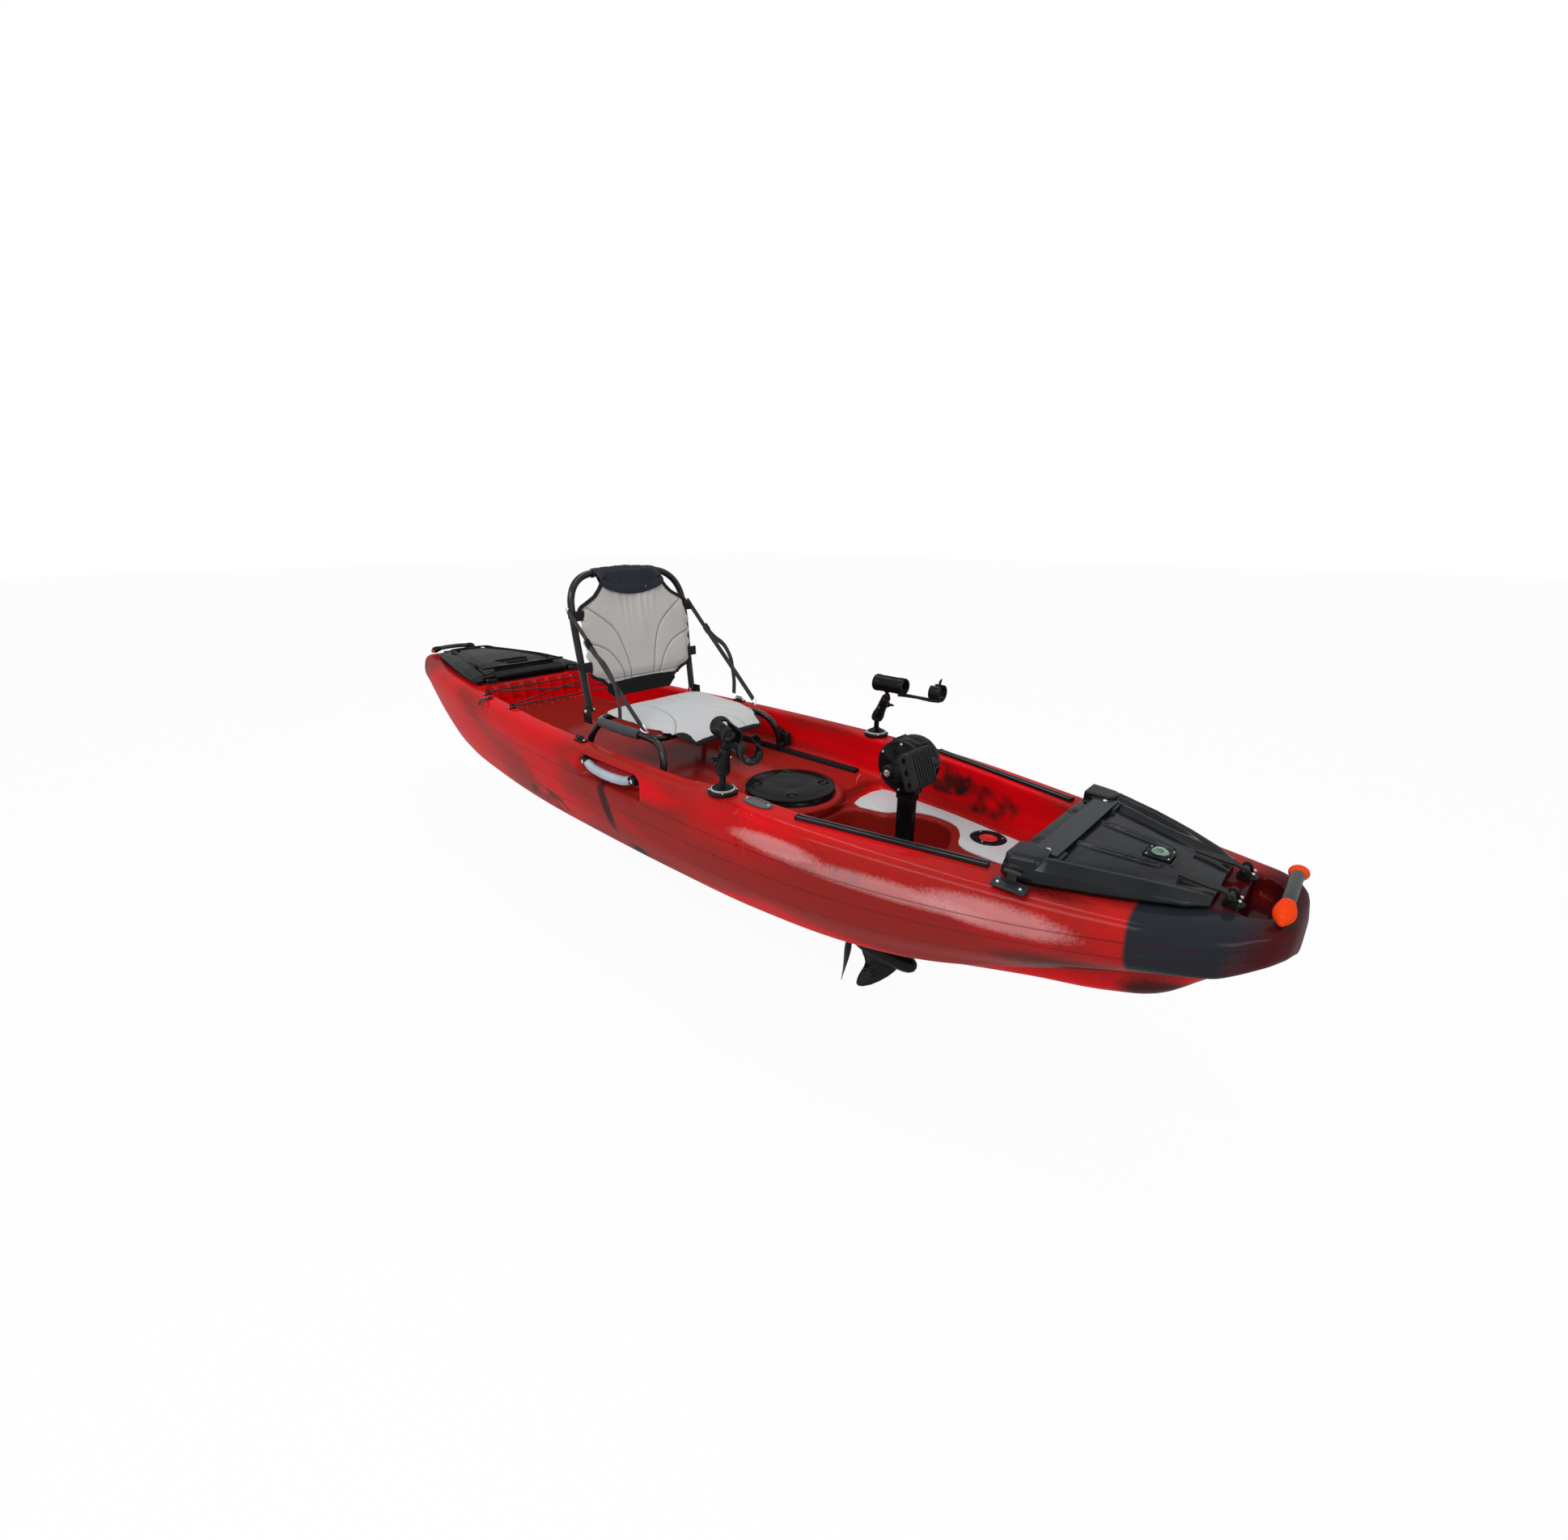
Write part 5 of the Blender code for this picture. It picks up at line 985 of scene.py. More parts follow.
def build_mats():
    for side, s in SIDES:
        outer = [(x, cockpit_half(x) - 0.028) for x in (0.812, 0.95, 1.1, 1.25, 1.41)]
        inner = tenths(14100, 780, 12680, 700, 12080, 920, 11820, 1460, 11420, 1960, 10790,
            2150, 10130, 2080, 9570, 1690, 9210, 1350, 8120, 1300)
        knots = [(x, s * y, 0.0) for x, y in outer + inner]
        mat = prism("mat_" + side, [(p.x, p.y) for p in smooth_path(knots, 3,
            closed=True)], FOOT_FLOOR_Z + 0.0008, FOOT_FLOOR_Z + 0.0048, FOAM)
        if s > 0:
            boolean(mat, turned("hole", [(0.052, -0.1), (0.052, 0.1)], (PORT_X, PORT_Y, 0.24),
                UP, count=48))
        soften(mat, 0.0012, 2, 60.0)
        place(mat, "hull", "mat", "footwell_mat_" + side)


def build_trim():
    """Small trim on the hull: a deck port, an oval plate, a knob, a loop and clips."""
    z = FOOT_FLOOR_Z
    flange = turned("port_flange", tenths(260, 5, 500, 5, 500, 30, 465, 60, 300, 72, 270, 60,
        262, 30), (PORT_X, PORT_Y, z), UP, BLACK, 56, bored=True)
    place(flange, "hull", "black")
    cap = turned("port_cap", tenths(262, 0, 262, 35, 240, 52, 165, 50, 150, 36, 0, 36),
        (PORT_X, PORT_Y, z), UP, RED_TRIM, 48)
    bar = box("port_bar", (1.2365, 0.1832, z + 0.003), (1.2635, 0.1888, z + 0.0068),
        RED_TRIM, 0.0015)
    join(cap, bar)
    place(cap, "hull", "hull")
    for k in range(3):
        angle = math.radians(30 + 120 * k)
        screws("port_screw", "hull", 0.0036, UP, (PORT_X + 0.039 * math.cos(angle),
            PORT_Y + 0.039 * math.sin(angle), z + 0.0068))
    for side, s in SIDES:
        lift = float(line(SHEER, 0.848))
        points = [(0.049 * math.cos(a) * abs(math.cos(a)) ** -0.25 if math.cos(a) else 0.0,
            0.0215 * math.sin(a)) for a in np.linspace(0.02, math.tau + 0.02, 41)[:-1]]
        rings = [[(0.848 + a * k, s * (0.348 + b * k), lift + h) for a, b in points]
            for k, h in ((1.0, 0.0), (1.0, 0.003), (0.94, 0.0048), (0.72, 0.0052), (0.66, 0.004),
            (0.3, 0.0042))]
        plate = loft("oval_plate_" + side, rings, OVAL)
        place(plate, "hull", "black")
        screws("oval_screw", "hull", 0.0032, UP, *((x, s * 0.348, lift + 0.005)
            for x in (0.809, 0.887)))
    knob = turned("well_knob", tenths(130, 0, 130, 40, 85, 60, 85, 120, 125, 140, 130, 200, 100,
        225, 0, 230), (1.05, 0.118, WELL_FLOOR_Z + 0.0005), UP, BRASS, 36)
    place(knob, "hull", "steel")
    loop = sweep("deck_loop", smooth_path(tenths(8400, 1150, 2330, 8400, 1120, 2500, 8400, 950,
        2590, 8400, 780, 2500, 8400, 750, 2330, n=3), 6), circle(0.0032, 12), RED_TRIM)
    loop.data.transform(Matrix.Translation((-0.072, 0.125, 0.0415)))
    place(loop, "hull", "hull")
    for side, s in SIDES:
        edge = 0.3835
        strap = [(-0.764, s * (edge - 0.062), 0.406), (-0.764, s * (edge - 0.03), 0.4075),
            (-0.764, s * (edge - 0.01), 0.401), (-0.764, s * (edge - 0.001), 0.384)]
        clip = sweep("side_clip_" + side,
            smooth_path([(x, y - s * 0.012, z) for x, y, z in strap], 5),
            rounded(0.022, 0.003, 0.0012, 3), RUBBER)
        place(clip, "hull", "rubber")
        stud = turned("clip_stud", tenths(75, -20, 80, 20, 60, 42, 0, 48),
            (-0.764, s * 0.318, 0.4085), UP, BLACK, 24)
        place(stud, "hull", "black")


def build_side_handles():
    axis_y, axis_z = 0.4065, 0.358
    for side, s in SIDES:
        bow = tenths(1210, 10, -10, 1360, 40, -60, 1700, 75, -130, 2450, 95, -165, 3200, 75,
            -130, 3540, 40, -60, 3690, 10, -10, n=3)
        path = smooth_path([(x, s * (axis_y + out), axis_z + drop) for x, out, drop in bow], 12)
        rings = []
        for k, spot in enumerate(path):
            t = k / (len(path) - 1)
            swell = 0.0126 + 0.0026 * math.sin(math.pi * t) + 0.0004 * math.sin(t * 90.0)
            along = heading(path, k)
            outward = Vector((0, s, 0))
            outward = (outward - along * outward.dot(along)).normalized()
            high = along.cross(outward)
            rings.append([spot + outward * 1.05 * a * swell + high * 0.95 * b * swell
                for a, b in circle(1.0, 28)])
        grip = loft("side_grip_" + side, rings, GRIP)
        place(grip, "side_handle_" + side, "grip", "side_handle_" + side)
        for x0, x1 in ((0.095, 0.128), (0.395, 0.362)):
            way = 1 if x1 > x0 else -1
            end = sweep("grip_end", smooth_path([(x0, s * axis_y, axis_z), (x0 + way * 0.018,
                s * axis_y, axis_z), (x1, s * (axis_y + 0.001), axis_z - 0.003)], 5),
                rounded(0.029, 0.025, 0.009, 4), BLACK)
            soften(end, 0.002, 2, 50.0)
            place(end, "side_handle_" + side, "grip")
            screws("grip_screw", "side_handle_" + side, 0.0068, (0, s, 0), (x0 + way * 0.014,
                s * (axis_y + 0.013), axis_z))
        coil = []
        for k in range(49):
            angle = math.tau * k / 12
            coil.append((0.01 + 0.0085 * k / 12, s * 0.372 + 0.0062 * math.cos(angle) * s,
                0.4125 + 0.0062 * math.sin(angle)))
        spring = sweep("bungee_coil_" + side, coil, circle(0.0021, 8), RUBBER)
        place(spring, "hull", "rubber")
        foot = box("coil_foot_" + side, (0.0, s * 0.36, 0.401), (0.056, s * 0.3835, 0.4062),
            BLACK, 0.002)
        place(foot, "hull", "black")
        screws("coil_screw", "hull", 0.0046, UP, (0.05, s * 0.372, 0.4065))


def build_end_handles():
    """Toggle handles across the bow and the stern, with bright tapered ends."""
    specs = (("bow_handle", 1.942, tenths(1280, 4105, 1120, 4180, 880, 4265, 500, 4320, 0, 4335)),
        ("stern_handle", -1.905, tenths(1180, 4355, 1060, 4430, 820, 4500, 440, 4540, 0, 4550)))
    for name, x, half in specs:
        knots = [(x, -y, z) for y, z in half] + [(x, y, z) for y, z in reversed(half[:-1])]
        path = smooth_path(knots, 8)
        inner = [p for p in path if abs(p.y) < 0.071]
        rings = []
        for k, spot in enumerate(inner):
            fine = 0.00035 * math.sin(k * 2.1)
            radius = 0.0112 + fine - 0.0012 * (k in (0, len(inner) - 1))
            along = heading(inner, k)
            side = Vector((1, 0, 0))
            high = along.cross(side)
            rings.append([spot + side * radius * a + high * radius * b for a, b in circle(1.0, 24)])
        grip = loft(name + "_grip", rings, DARK_GRIP)
        place(grip, "hull", "grip", name)
        for s in (-1, 1):
            outer = [p for p in path if p.y * s > 0.068]
            outer.sort(key=lambda p: abs(p.y))
            rings = []
            for k, spot in enumerate(outer):
                t = k / (len(outer) - 1)
                radius = 0.0124 + 0.0062 * math.sin(math.pi * min(t * 1.15, 1.0)) - 0.0085 * t ** 3
                along = heading(outer, k)
                side = Vector((1, 0, 0))
                high = along.cross(side)
                rings.append([spot + side * radius * a + high * radius * 0.9 * b
                    for a, b in circle(1.0, 24)])
            if x < 0:
                place(loft(name + "_neck", rings[:len(rings) * 2 // 3], BLACK, sharp=60.0),
                    "hull", "grip")
                rings = rings[len(rings) * 2 // 3 - 1:]
            place(loft(name + "_end", rings, ORANGE, sharp=60.0), "hull", "grip")


def build_rod_holders():
    top = Vector((0.036, 0.0, 0.0825))
    for side, s in SIDES:
        x, y, foot = ROD_X, s * ROD_Y, ROD_FOOT_Z
        ball = [(0.0125 * math.sin(a), 0.462 - foot - 0.0125 * math.cos(a))
            for a in np.linspace(0.75, 3.1, 14)]
        base = turned("rod_base_" + side, tenths(395, 0, 415, 30, 415, 85, 400, 98, 300, 105,
            290, 165, 225, 200, 140, 240, 88, 290, 85, 360) + ball, (x, y, foot), UP, BLACK, 48)
        place(base, "hull", "black", "rod_holder_base_" + side)
        ring = turned("rod_base_ring_" + side, tenths(300, 100, 345, 100, 350, 125, 335, 145,
            300, 150), (x, y, foot), UP, RING_GREY, 56, bored=True)
        place(ring, "hull", "black")
        for k in range(4):
            angle = math.radians(45 + 90 * k)
            screws("base_screw", "hull", 0.0028, UP, (x + 0.0375 * math.cos(angle),
                y + 0.0375 * math.sin(angle), foot + 0.0094))
        centre = Vector((x, y, 0.462))
        frame_at = Matrix.Translation(centre) @ Matrix.Rotation(math.radians(-25.0) if s < 0
            else 0.0, 4, "Z")
        halves = []
        for h in (-1, 1):
            shell = turned("shell", [(0.0172, -0.006), (0.02, 0.002), (0.0205, 0.012),
                (0.0192, 0.022), (0.0172, 0.032), (0.0164, 0.044), (0.016, 0.056), (0.016, 0.064),
                (0.0155, 0.072), (0.0153, 0.084), (0.0142, top.length - 0.002)], (0, 0, 0),
                top, BLACK, 36)
            cut(shell, box("half", (-0.2, -h * 0.0006, -0.2), (0.2, -h * 0.2, 0.3)))
            for at, radius in ((Vector(), 0.0142), (top, 0.012)):
                cut(shell, turned("pocket", [(radius * math.sin(a), -radius * math.cos(a))
                    for a in np.linspace(0.05, 3.09, 14)], at, UP, count=32))
            cut(shell, turned("throat", [(0.022, -0.03), (0.0135, 0.0)], (0, 0, 0), UP, count=32))
            halves.append(shell)
        join(*halves)
        soften(halves[0], 0.0007, 2, 50.0)
        bolt_at = top.normalized() * 0.048
        join(halves[0], rod("bolt", 0.003, bolt_at + Vector((0, -0.0195, 0)),
            bolt_at + Vector((0, 0.0195, 0)), STEEL))
        halves[0].data.transform(frame_at)
        halves[0].name = "rod_double_arm_" + side
        place(halves[0], "rod_arm_" + side, "black", "rod_arm_" + side)
        knob = turned("rod_wing_" + side, tenths(50, 0, 55, 90, 92, 115, 100, 145, 94, 200, 0,
            205), bolt_at + Vector((0, s * 0.017, 0)), (0, s, 0), BLACK, 32)
        wing = []
        for a, w, h in tenths(-205, 35, 36, -140, 60, 42, -60, 48, 44, 60, 48, 44, 140, 60, 42,
                205, 35, 36, n=3):
            wing.append([(bolt_at.x + a, s * 0.037 + s * p * w, bolt_at.z + q * h)
                for p, q in circle(1.0, 16)])
        join(knob, loft("wing", wing, BLACK, sharp=60.0))
        knob.data.transform(frame_at)
        place(knob, "rod_knob_" + side, "black", "rod_knob_" + side)
        cradle = build_cradle(side, top)
        cradle.data.transform(frame_at)
        place(cradle, "rod_cradle_" + side, "black", "rod_cradle_" + side)


def build_cradle(side, top):
    """Rear tube with a slot, a ribbed spine and an open front ring, standing on a ball."""
    z = top.z + 0.0425
    tube = turned("rod_rest_" + side, tenths(207, 0, 272, 0, 284, 30, 284, 140, 272, 180, 267,
        840, 276, 880, 276, 1100, 260, 1150, 207, 1150), (top.x - 0.045, 0, z), (1, 0, 0), BLACK,
        48, bored=True)
    cut(tube, box("slot", (top.x - 0.012, -0.0075, z), (top.x + 0.09, 0.0075, z + 0.05)))
    ring = turned("ring", tenths(219, 0, 270, 0, 280, 30, 280, 350, 270, 380, 219, 380),
        (top.x + 0.17, 0, z), (1, 0, 0), BLACK, 48, bored=True)
    cut(ring, box("gap", (top.x + 0.16, -0.0135, z), (top.x + 0.23, 0.0135, z + 0.05)))
    for made in (tube, ring):
        soften(made, 0.0009, 2, 50.0)
    spine = []
    for a, w, low in tenths(460, 85, -345, 720, 72, -325, 1200, 62, -310, 1680, 80, -325, 2000,
            66, -305, n=3):
        spine.append([(top.x + a, -w, z + low), (top.x + a, w, z + low), (top.x + a, w * 0.6,
            z - 0.0222), (top.x + a, -w * 0.6, z - 0.0222)])
    bar = loft("spine", spine, BLACK)
    soften(bar, 0.0015, 2, 50.0)
    ball = [(0.0112 * math.sin(a), -0.0112 * math.cos(a)) for a in np.linspace(0.05, 2.8, 14)]
    foot = turned("foot_ball", ball, top, UP, BLACK, 32)
    neck = turned("neck", tenths(62, 50, 62, 125, 98, 150, 108, 195), top, UP, BLACK, 32)
    hook = sweep("hook", smooth_path([(top.x + 0.178, 0.0252, z + 0.01), (top.x + 0.182, 0.0242,
        z + 0.026), (top.x + 0.189, 0.0135, z + 0.037), (top.x + 0.193, 0.005, z + 0.0365)],
        5), rounded(0.013, 0.0045, 0.0018, 3), BLACK, up=(1, 0, 0))
    return join(tube, ring, bar, foot, neck, hook)


def build_pad_eyes():
    for name, x in (("rear", -0.835), ("front", -0.549)):
        y, z = float(line(CREST, x)) - 0.018, float(line(SHEER, x)) + 0.0008
        for side, s in SIDES:
            eye = box("eye_base", (x - 0.01, s * y - 0.017, z), (x + 0.01, s * y + 0.017,
                z + 0.003), BLACK, 0.001)
            arch = [(x, s * y + 0.0105 * math.cos(a), z + 0.003 + 0.0125 * math.sin(a))
                for a in np.linspace(-0.15, math.pi + 0.15, 20)]
            join(eye, sweep("arch", arch, circle(0.0028, 12), BLACK, up=(1, 0, 0)))
            eye.name = "tank_eye_" + name + "_" + side
            place(eye, "hull", "black", "pad_eye_" + name + "_" + side)
            screws("eye_screw", "hull", 0.0026, UP, *((x, s * y + t * 0.014, z + 0.003)
                for t in (-1, 1)))


# Pedal drive
DRIVE_X, CRANK_Z, SHAFT_Z, PROP_X = 1.085, 0.478, -0.155, 0.912
CRANK_REACH, CRANK_ANGLE, PEDAL_LEAN = 0.13, 25.0, -20.0
BLADE_ROOT, BLADE_SPAN, BLADE_PITCH, BLADE_TURN = 0.012, 0.1375, 0.56, 15.0


def build_drive():
    x = DRIVE_X
    centre = (x, 0.0, CRANK_Z)
    house = turned("drive_housing", tenths(640, -380, 700, -365, 730, -310, 730, -60, 715, -40,
        730, -20, 730, 330, 700, 420, 620, 480, 480, 515, 120, 520), centre, (0, 1, 0), BLACK, 72)
    neck = loft("neck", [[(x + a, b, z) for a, b in rounded(w, d, 0.01, 4)]
        for z, w, d in ((CRANK_Z - 0.0828, 0.066, 0.048), (CRANK_Z - 0.06, 0.072, 0.052),
        (CRANK_Z, 0.1, 0.055))], BLACK)
    fuse(house, neck)
    cut(house, turned("hollow", tenths(640, -600, 640, 360, 530, 440), centre, (0, 1, 0), count=48))
    cut(house, turned("axle_hole", [(0.0108, 0.0), (0.0108, 0.1)], centre, (0, 1, 0)))
    for k in range(6):
        angle = math.radians(60 * k)
        spot = Vector((x + 0.0735 * math.cos(angle), 0.0, CRANK_Z + 0.0735 * math.sin(angle)))
        if math.sin(angle) > -0.9:
            fuse(house, turned("rib", [(0.0042, -0.028), (0.0042, 0.03)], spot, (0, 1, 0),
                count=16))
    soften(house, 0.001, 2, 45.0)
    place(house, "drive", "black", "gearbox_housing")
    cover = turned("drive_cover", tenths(110, 0, 725, 0, 730, 20, 730, 50, 705, 68, 620, 80, 560,
        92, 520, 120, 300, 135, 250, 160, 108, 160), (x, -0.0384, CRANK_Z), (0, -1, 0), BLACK,
        72, bored=True)
    cap = turned("drive_far_cap", tenths(480, 505, 480, 525, 300, 532, 115, 532, 115, 505),
        centre, (0, 1, 0), BLACK, 56, bored=True)
    place(cap, "drive", "black")
    for k in range(6):
        angle = math.radians(30 + 60 * k)
        spot = Vector((x + 0.064 * math.cos(angle), -0.045, CRANK_Z + 0.064 * math.sin(angle)))
        join(cover, turned("boss", [(0.0068, 0.0), (0.0062, 0.003)], spot, (0, -1, 0), BLACK, 20))
        screws("cover_screw", "drive", 0.004, (0, -1, 0), spot + Vector((0, -0.0026, 0)))
    place(cover, "drive", "black", "gearbox_cover")
    bolt = turned("crank_bolt", tenths(94, 0, 94, 35, 80, 50, 40, 50, 40, 30, 0, 30),
        (x, -0.109, CRANK_Z), (0, -1, 0), STEEL, 6)
    place(bolt, "crank", "steel")
    tower = loft("drive_column", [[(x + a, b, z) for a, b in rounded(w, d, 0.007, 5)]
        for z, w, d in tenths(-196, 455, 255, 1000, 465, 270, 2900, 500, 300, 3720, 500, 300,
        3750, 560, 360, 3940, 560, 360, n=3)], BLACK)
    for s in (-1, 1):
        groove = box("groove", (x - 0.012, s * 0.0143, 0.155), (x + 0.012, s * 0.03, 0.362))
        cut(tower, groove)
    soften(tower, 0.0012, 2, 40.0)
    place(tower, "drive", "black", "drive_tower")
    middle = 1.011
    plate = prism("drive_plate", [(middle + a, b) for a, b in rounded(0.32, 0.172, 0.03,
        8)], WELL_FLOOR_Z + 0.0005, WELL_FLOOR_Z + 0.0065, BLACK)
    collar = prism("collar", [(x + a, b) for a, b in rounded(0.068, 0.048, 0.01, 5)],
        WELL_FLOOR_Z + 0.001, WELL_FLOOR_Z + 0.026, None, -0.003)
    fuse(plate, collar)
    for k in range(4):
        for s in (-1, 1):
            gusset = box("gusset", (x - 0.075 + 0.04 * k, s * 0.02, WELL_FLOOR_Z + 0.004),
                (x - 0.071 + 0.04 * k, s * 0.07, WELL_FLOOR_Z + 0.012))
            fuse(plate, gusset)
    cut(plate, box("tower_hole", (x - 0.0256, -0.0156, 0.0), (x + 0.0256, 0.0156, 0.3)))
    soften(plate, 0.0012, 2, 45.0)
    place(plate, "drive", "black", "drive_mount_plate")
    screws("plate_screw", "drive", 0.005, UP, *((a, s * 0.066, WELL_FLOOR_Z + 0.0066)
        for a in (0.875, 1.148) for s in (-1, 1)))
    build_lower_unit()
    build_cranks()
    build_propeller()


def build_lower_unit():
    x, tail = DRIVE_X, 0.938
    unit = turned("underwater_unit", tenths(150, 0, 205, 120, 250, 350, 280, 700, 290, 1100,
        290, 1600, 272, 1850, 225, 2020, 150, 2130, 60, 2178), (tail, 0, SHAFT_Z), (1, 0, 0),
        BLACK, 48, turn=0.05)
    rings = []
    for z, c in ((SHAFT_Z, 1.08), (SHAFT_Z + 0.03, 0.92), (SHAFT_Z + 0.055, 0.8), (-0.06, 0.74),
            (-0.02, 0.72)):
        foil = []
        for k in range(24):
            angle = math.tau * k / 24
            reach = 0.048 * math.cos(angle)
            foil.append((x + reach * c, 0.0135 * math.sin(angle) * (1.0 + 0.35 * math.cos(angle))
                * min(c, 1.0), z))
        rings.append(foil)
    fuse(unit, loft("strut", rings))
    edge = tenths(11050, -1650, 10980, -1800, 10840, -2040, 10620, -2340, 10320, -2680, 10000,
        -2990, 9700, -3210, 9530, -3275, 9450, -3220, 9460, -3080, 9520, -2860, 9620, -2620, 9720,
        -2400, 9760, -2210, 9710, -2030, 9620, -1880, 9560, -1720, 9560, -1580)
    middle = Vector((sum(p[0] for p in edge), 0, sum(p[1] for p in edge))) / len(edge)
    rings = []
    for y, pull in ((-0.0042, 0.16), (-0.0034, 0.02), (0.0, -0.01), (0.0034, 0.02), (0.0042, 0.16)):
        rings.append([(a + (middle.x - a) * pull, y, b + (middle.z - b) * pull) for a, b in edge])
    fuse(unit, loft("fin", rings))
    for k in range(5):
        t = k / 4
        start = Vector((1.07 - 0.052 * t, 0, -0.196 - 0.014 * t))
        end = Vector((0.976 - 0.006 * t, 0, -0.3 + 0.058 * t - 0.008))
        if k == 0:
            end = Vector((0.962, 0, -0.312))
        fuse(unit, sweep("fin_rib", [start, start.lerp(end, 0.5) + Vector((0.003, 0, 0)),
            end], rounded(0.0094, 0.0022, 0.001, 2), up=(0.7, 0, 0.7)))
    cut(unit, turned("gear_room", [(0.023, -0.022), (0.023, 0.028)], (x, 0, SHAFT_Z),
        (1, 0, 0)), turned("shaft_bore", [(0.008, 0.0), (0.008, 0.2)], (x, 0, SHAFT_Z), UP),
        turned("tail_bore", [(0.008, 0.0), (0.008, 0.17)], (tail - 0.03, 0, SHAFT_Z), (1, 0, 0)))
    place(unit, "drive", "black", "lower_unit")


def build_cranks():
    x = DRIVE_X
    for side, s in SIDES:
        lean = math.radians(CRANK_ANGLE if s < 0 else CRANK_ANGLE + 180.0)
        reach = Vector((CRANK_REACH * math.cos(lean), 0, CRANK_REACH * math.sin(lean)))
        hub = Vector((x, 0, CRANK_Z))
        end = hub + reach
        arm = turned("crank_" + side, tenths(180, 865, 198, 885, 200, 1050, 185, 1080, 120,
            1088), hub, (0, s, 0), BLACK, 48)
        across = Vector((-reach.z, 0, reach.x)).normalized()
        rings = []
        for t in np.linspace(0.0, 1.0, 9):
            width = 0.0168 - 0.0042 * math.sin(math.pi * min(t, 0.6) / 1.2)
            spot = hub + reach * float(t) + Vector((0, s * 0.096, 0))
            rings.append([spot + across * width * a * 2 + Vector((0, b, 0))
                for a, b in rounded(1.0, 0.016, 0.0045, 4)])
        fuse(arm, loft("bar", rings))
        fuse(arm, turned("eye", tenths(128, 878, 136, 890, 136, 1045, 126, 1055), end,
            (0, s, 0), count=36))
        cut(arm, turned("axle_hole", [(0.0101, 0.05), (0.0101, 0.15)], hub, (0, s, 0)))
        soften(arm, 0.001, 2, 50.0)
        fuse(arm, turned("spindle", tenths(62, 1000, 62, 1915, 50, 1930), end, (0, s, 0), count=24))
        place(arm, "crank", "black", "crank_arm_" + side)
        place(build_pedal(side, s, end), "pedal_" + side, "black", "pedal_" + side)


def build_pedal(side, s, centre):
    """A ribbed foot block, leaned to the rider, with three holes in its outer plate."""
    def spot(out, y, up):
        lean = math.radians(PEDAL_LEAN)
        return (centre.x + out * math.cos(lean) + up * math.sin(lean), s * y,
            centre.z - out * math.sin(lean) + up * math.cos(lean))
    core = loft("pedal_block_" + side, [[spot(a, y, b) for a, b in rounded(0.0215, 0.088, 0.008,
        4)] for y in (0.11, 0.204)], BLACK)
    for k in range(8):
        y = 0.109 + 0.0115 * k
        rib = loft("rib", [[spot(a * w, y + h, b * w) for a, b in rounded(0.032, 0.092, 0.006,
            4)] for h, w in ((0.0, 0.97), (0.0008, 1.0), (0.0052, 1.0), (0.006, 0.97))])
        fuse(core, rib)
    plate = loft("plate", [[spot(a * w, y, b * w) for a, b in rounded(0.0318, 0.0918, 0.01, 5)]
        for y, w in ((0.1955, 1.0), (0.205, 1.0), (0.2063, 0.95))])
    fuse(core, plate)
    for up in (-0.03, 0.0, 0.03):
        hole = [Vector(spot(0.0062 * math.cos(a), 0.201, up + 0.0078 * math.sin(a)))
            for a in np.linspace(0, math.tau, 25)[:-1]]
        boolean(core, loft("hole", [[p - Vector((0, s * 0.004, 0)) for p in hole],
            [p + Vector((0, s * 0.02, 0)) for p in hole]]))
    cut(core, turned("bore", [(0.0068, 0.09), (0.0068, 0.196)], centre, (0, s, 0)))
    soften(core, 0.0006, 1, 50.0)
    return core


def build_propeller():
    hub_at = Vector((PROP_X, 0, SHAFT_Z))
    hub = turned("screw_propeller", tenths(85, -360, 140, -335, 172, -260, 190, -100, 195, 40,
        190, 160, 180, 240, 85, 240), hub_at, (1, 0, 0), BLACK, 40)
    for k in range(2):
        angle = math.pi + math.radians(BLADE_TURN) + k * math.pi
        radial = Vector((0, math.sin(angle), math.cos(angle)))
        around = Vector((1, 0, 0)).cross(radial)
        rings = []
        for r in np.linspace(BLADE_ROOT, 0.1495, 22):
            t = (r - BLADE_ROOT) / BLADE_SPAN
            chord = 0.024 + 0.03 * math.sin(math.pi * min(t / 1.25, 0.62))
            chord *= max(1.0 - max(t - 0.72, 0.0) ** 2 * 11.5, 0.08) ** 0.5
            thick = 0.0082 - 0.0052 * t
            twist = math.atan2(BLADE_PITCH / math.tau, max(float(r), 0.03))
            along = around * math.cos(twist) - Vector((1, 0, 0)) * math.sin(twist)
            flat = along.cross(radial)
            spot = hub_at + radial * float(r)
            rings.append([spot + along * chord * 0.5 * math.cos(a) + flat * thick * 0.5
                * math.sin(a) for a in np.linspace(0, math.tau, 17)[:-1]])
        fuse(hub, loft("blade", rings))
    cut(hub, turned("bore", [(0.008, -0.03), (0.008, 0.04)], hub_at, (1, 0, 0)))
    hub.data.shade_smooth()
    hub.data.set_sharp_from_angle(angle=math.radians(50.0))
    place(hub, "propeller", "black", "propeller")


# Seat
PIVOT_X, PIVOT_Z = -0.117, 0.453
PAD_CLOTH = weave("pad_cloth", (0.6, 0.61, 0.62), (0.46, 0.465, 0.475), 620.0, 0.9, 0.0003,
    ("X", "Y"), 0.1, 0.25, True)
BACK_CLOTH = weave("back_cloth", (0.66, 0.64, 0.61), (0.47, 0.455, 0.43), 620.0, 0.88, 0.0003,
    ("Y", "Z"), 0.15, 0.4, True)
DARK_CLOTH = weave("dark_cloth", (0.0055, 0.006, 0.0075), (0.016, 0.017, 0.02), 560.0, 0.82,
    0.0003, ("Y", "Z"), 0.06, 0.5)
NAVY_CLOTH = weave("headrest_cloth", (0.006, 0.009, 0.017), (0.018, 0.023, 0.034), 560.0,
    0.7, 0.0003, ("Y", "Z"), 0.1, 0.5)
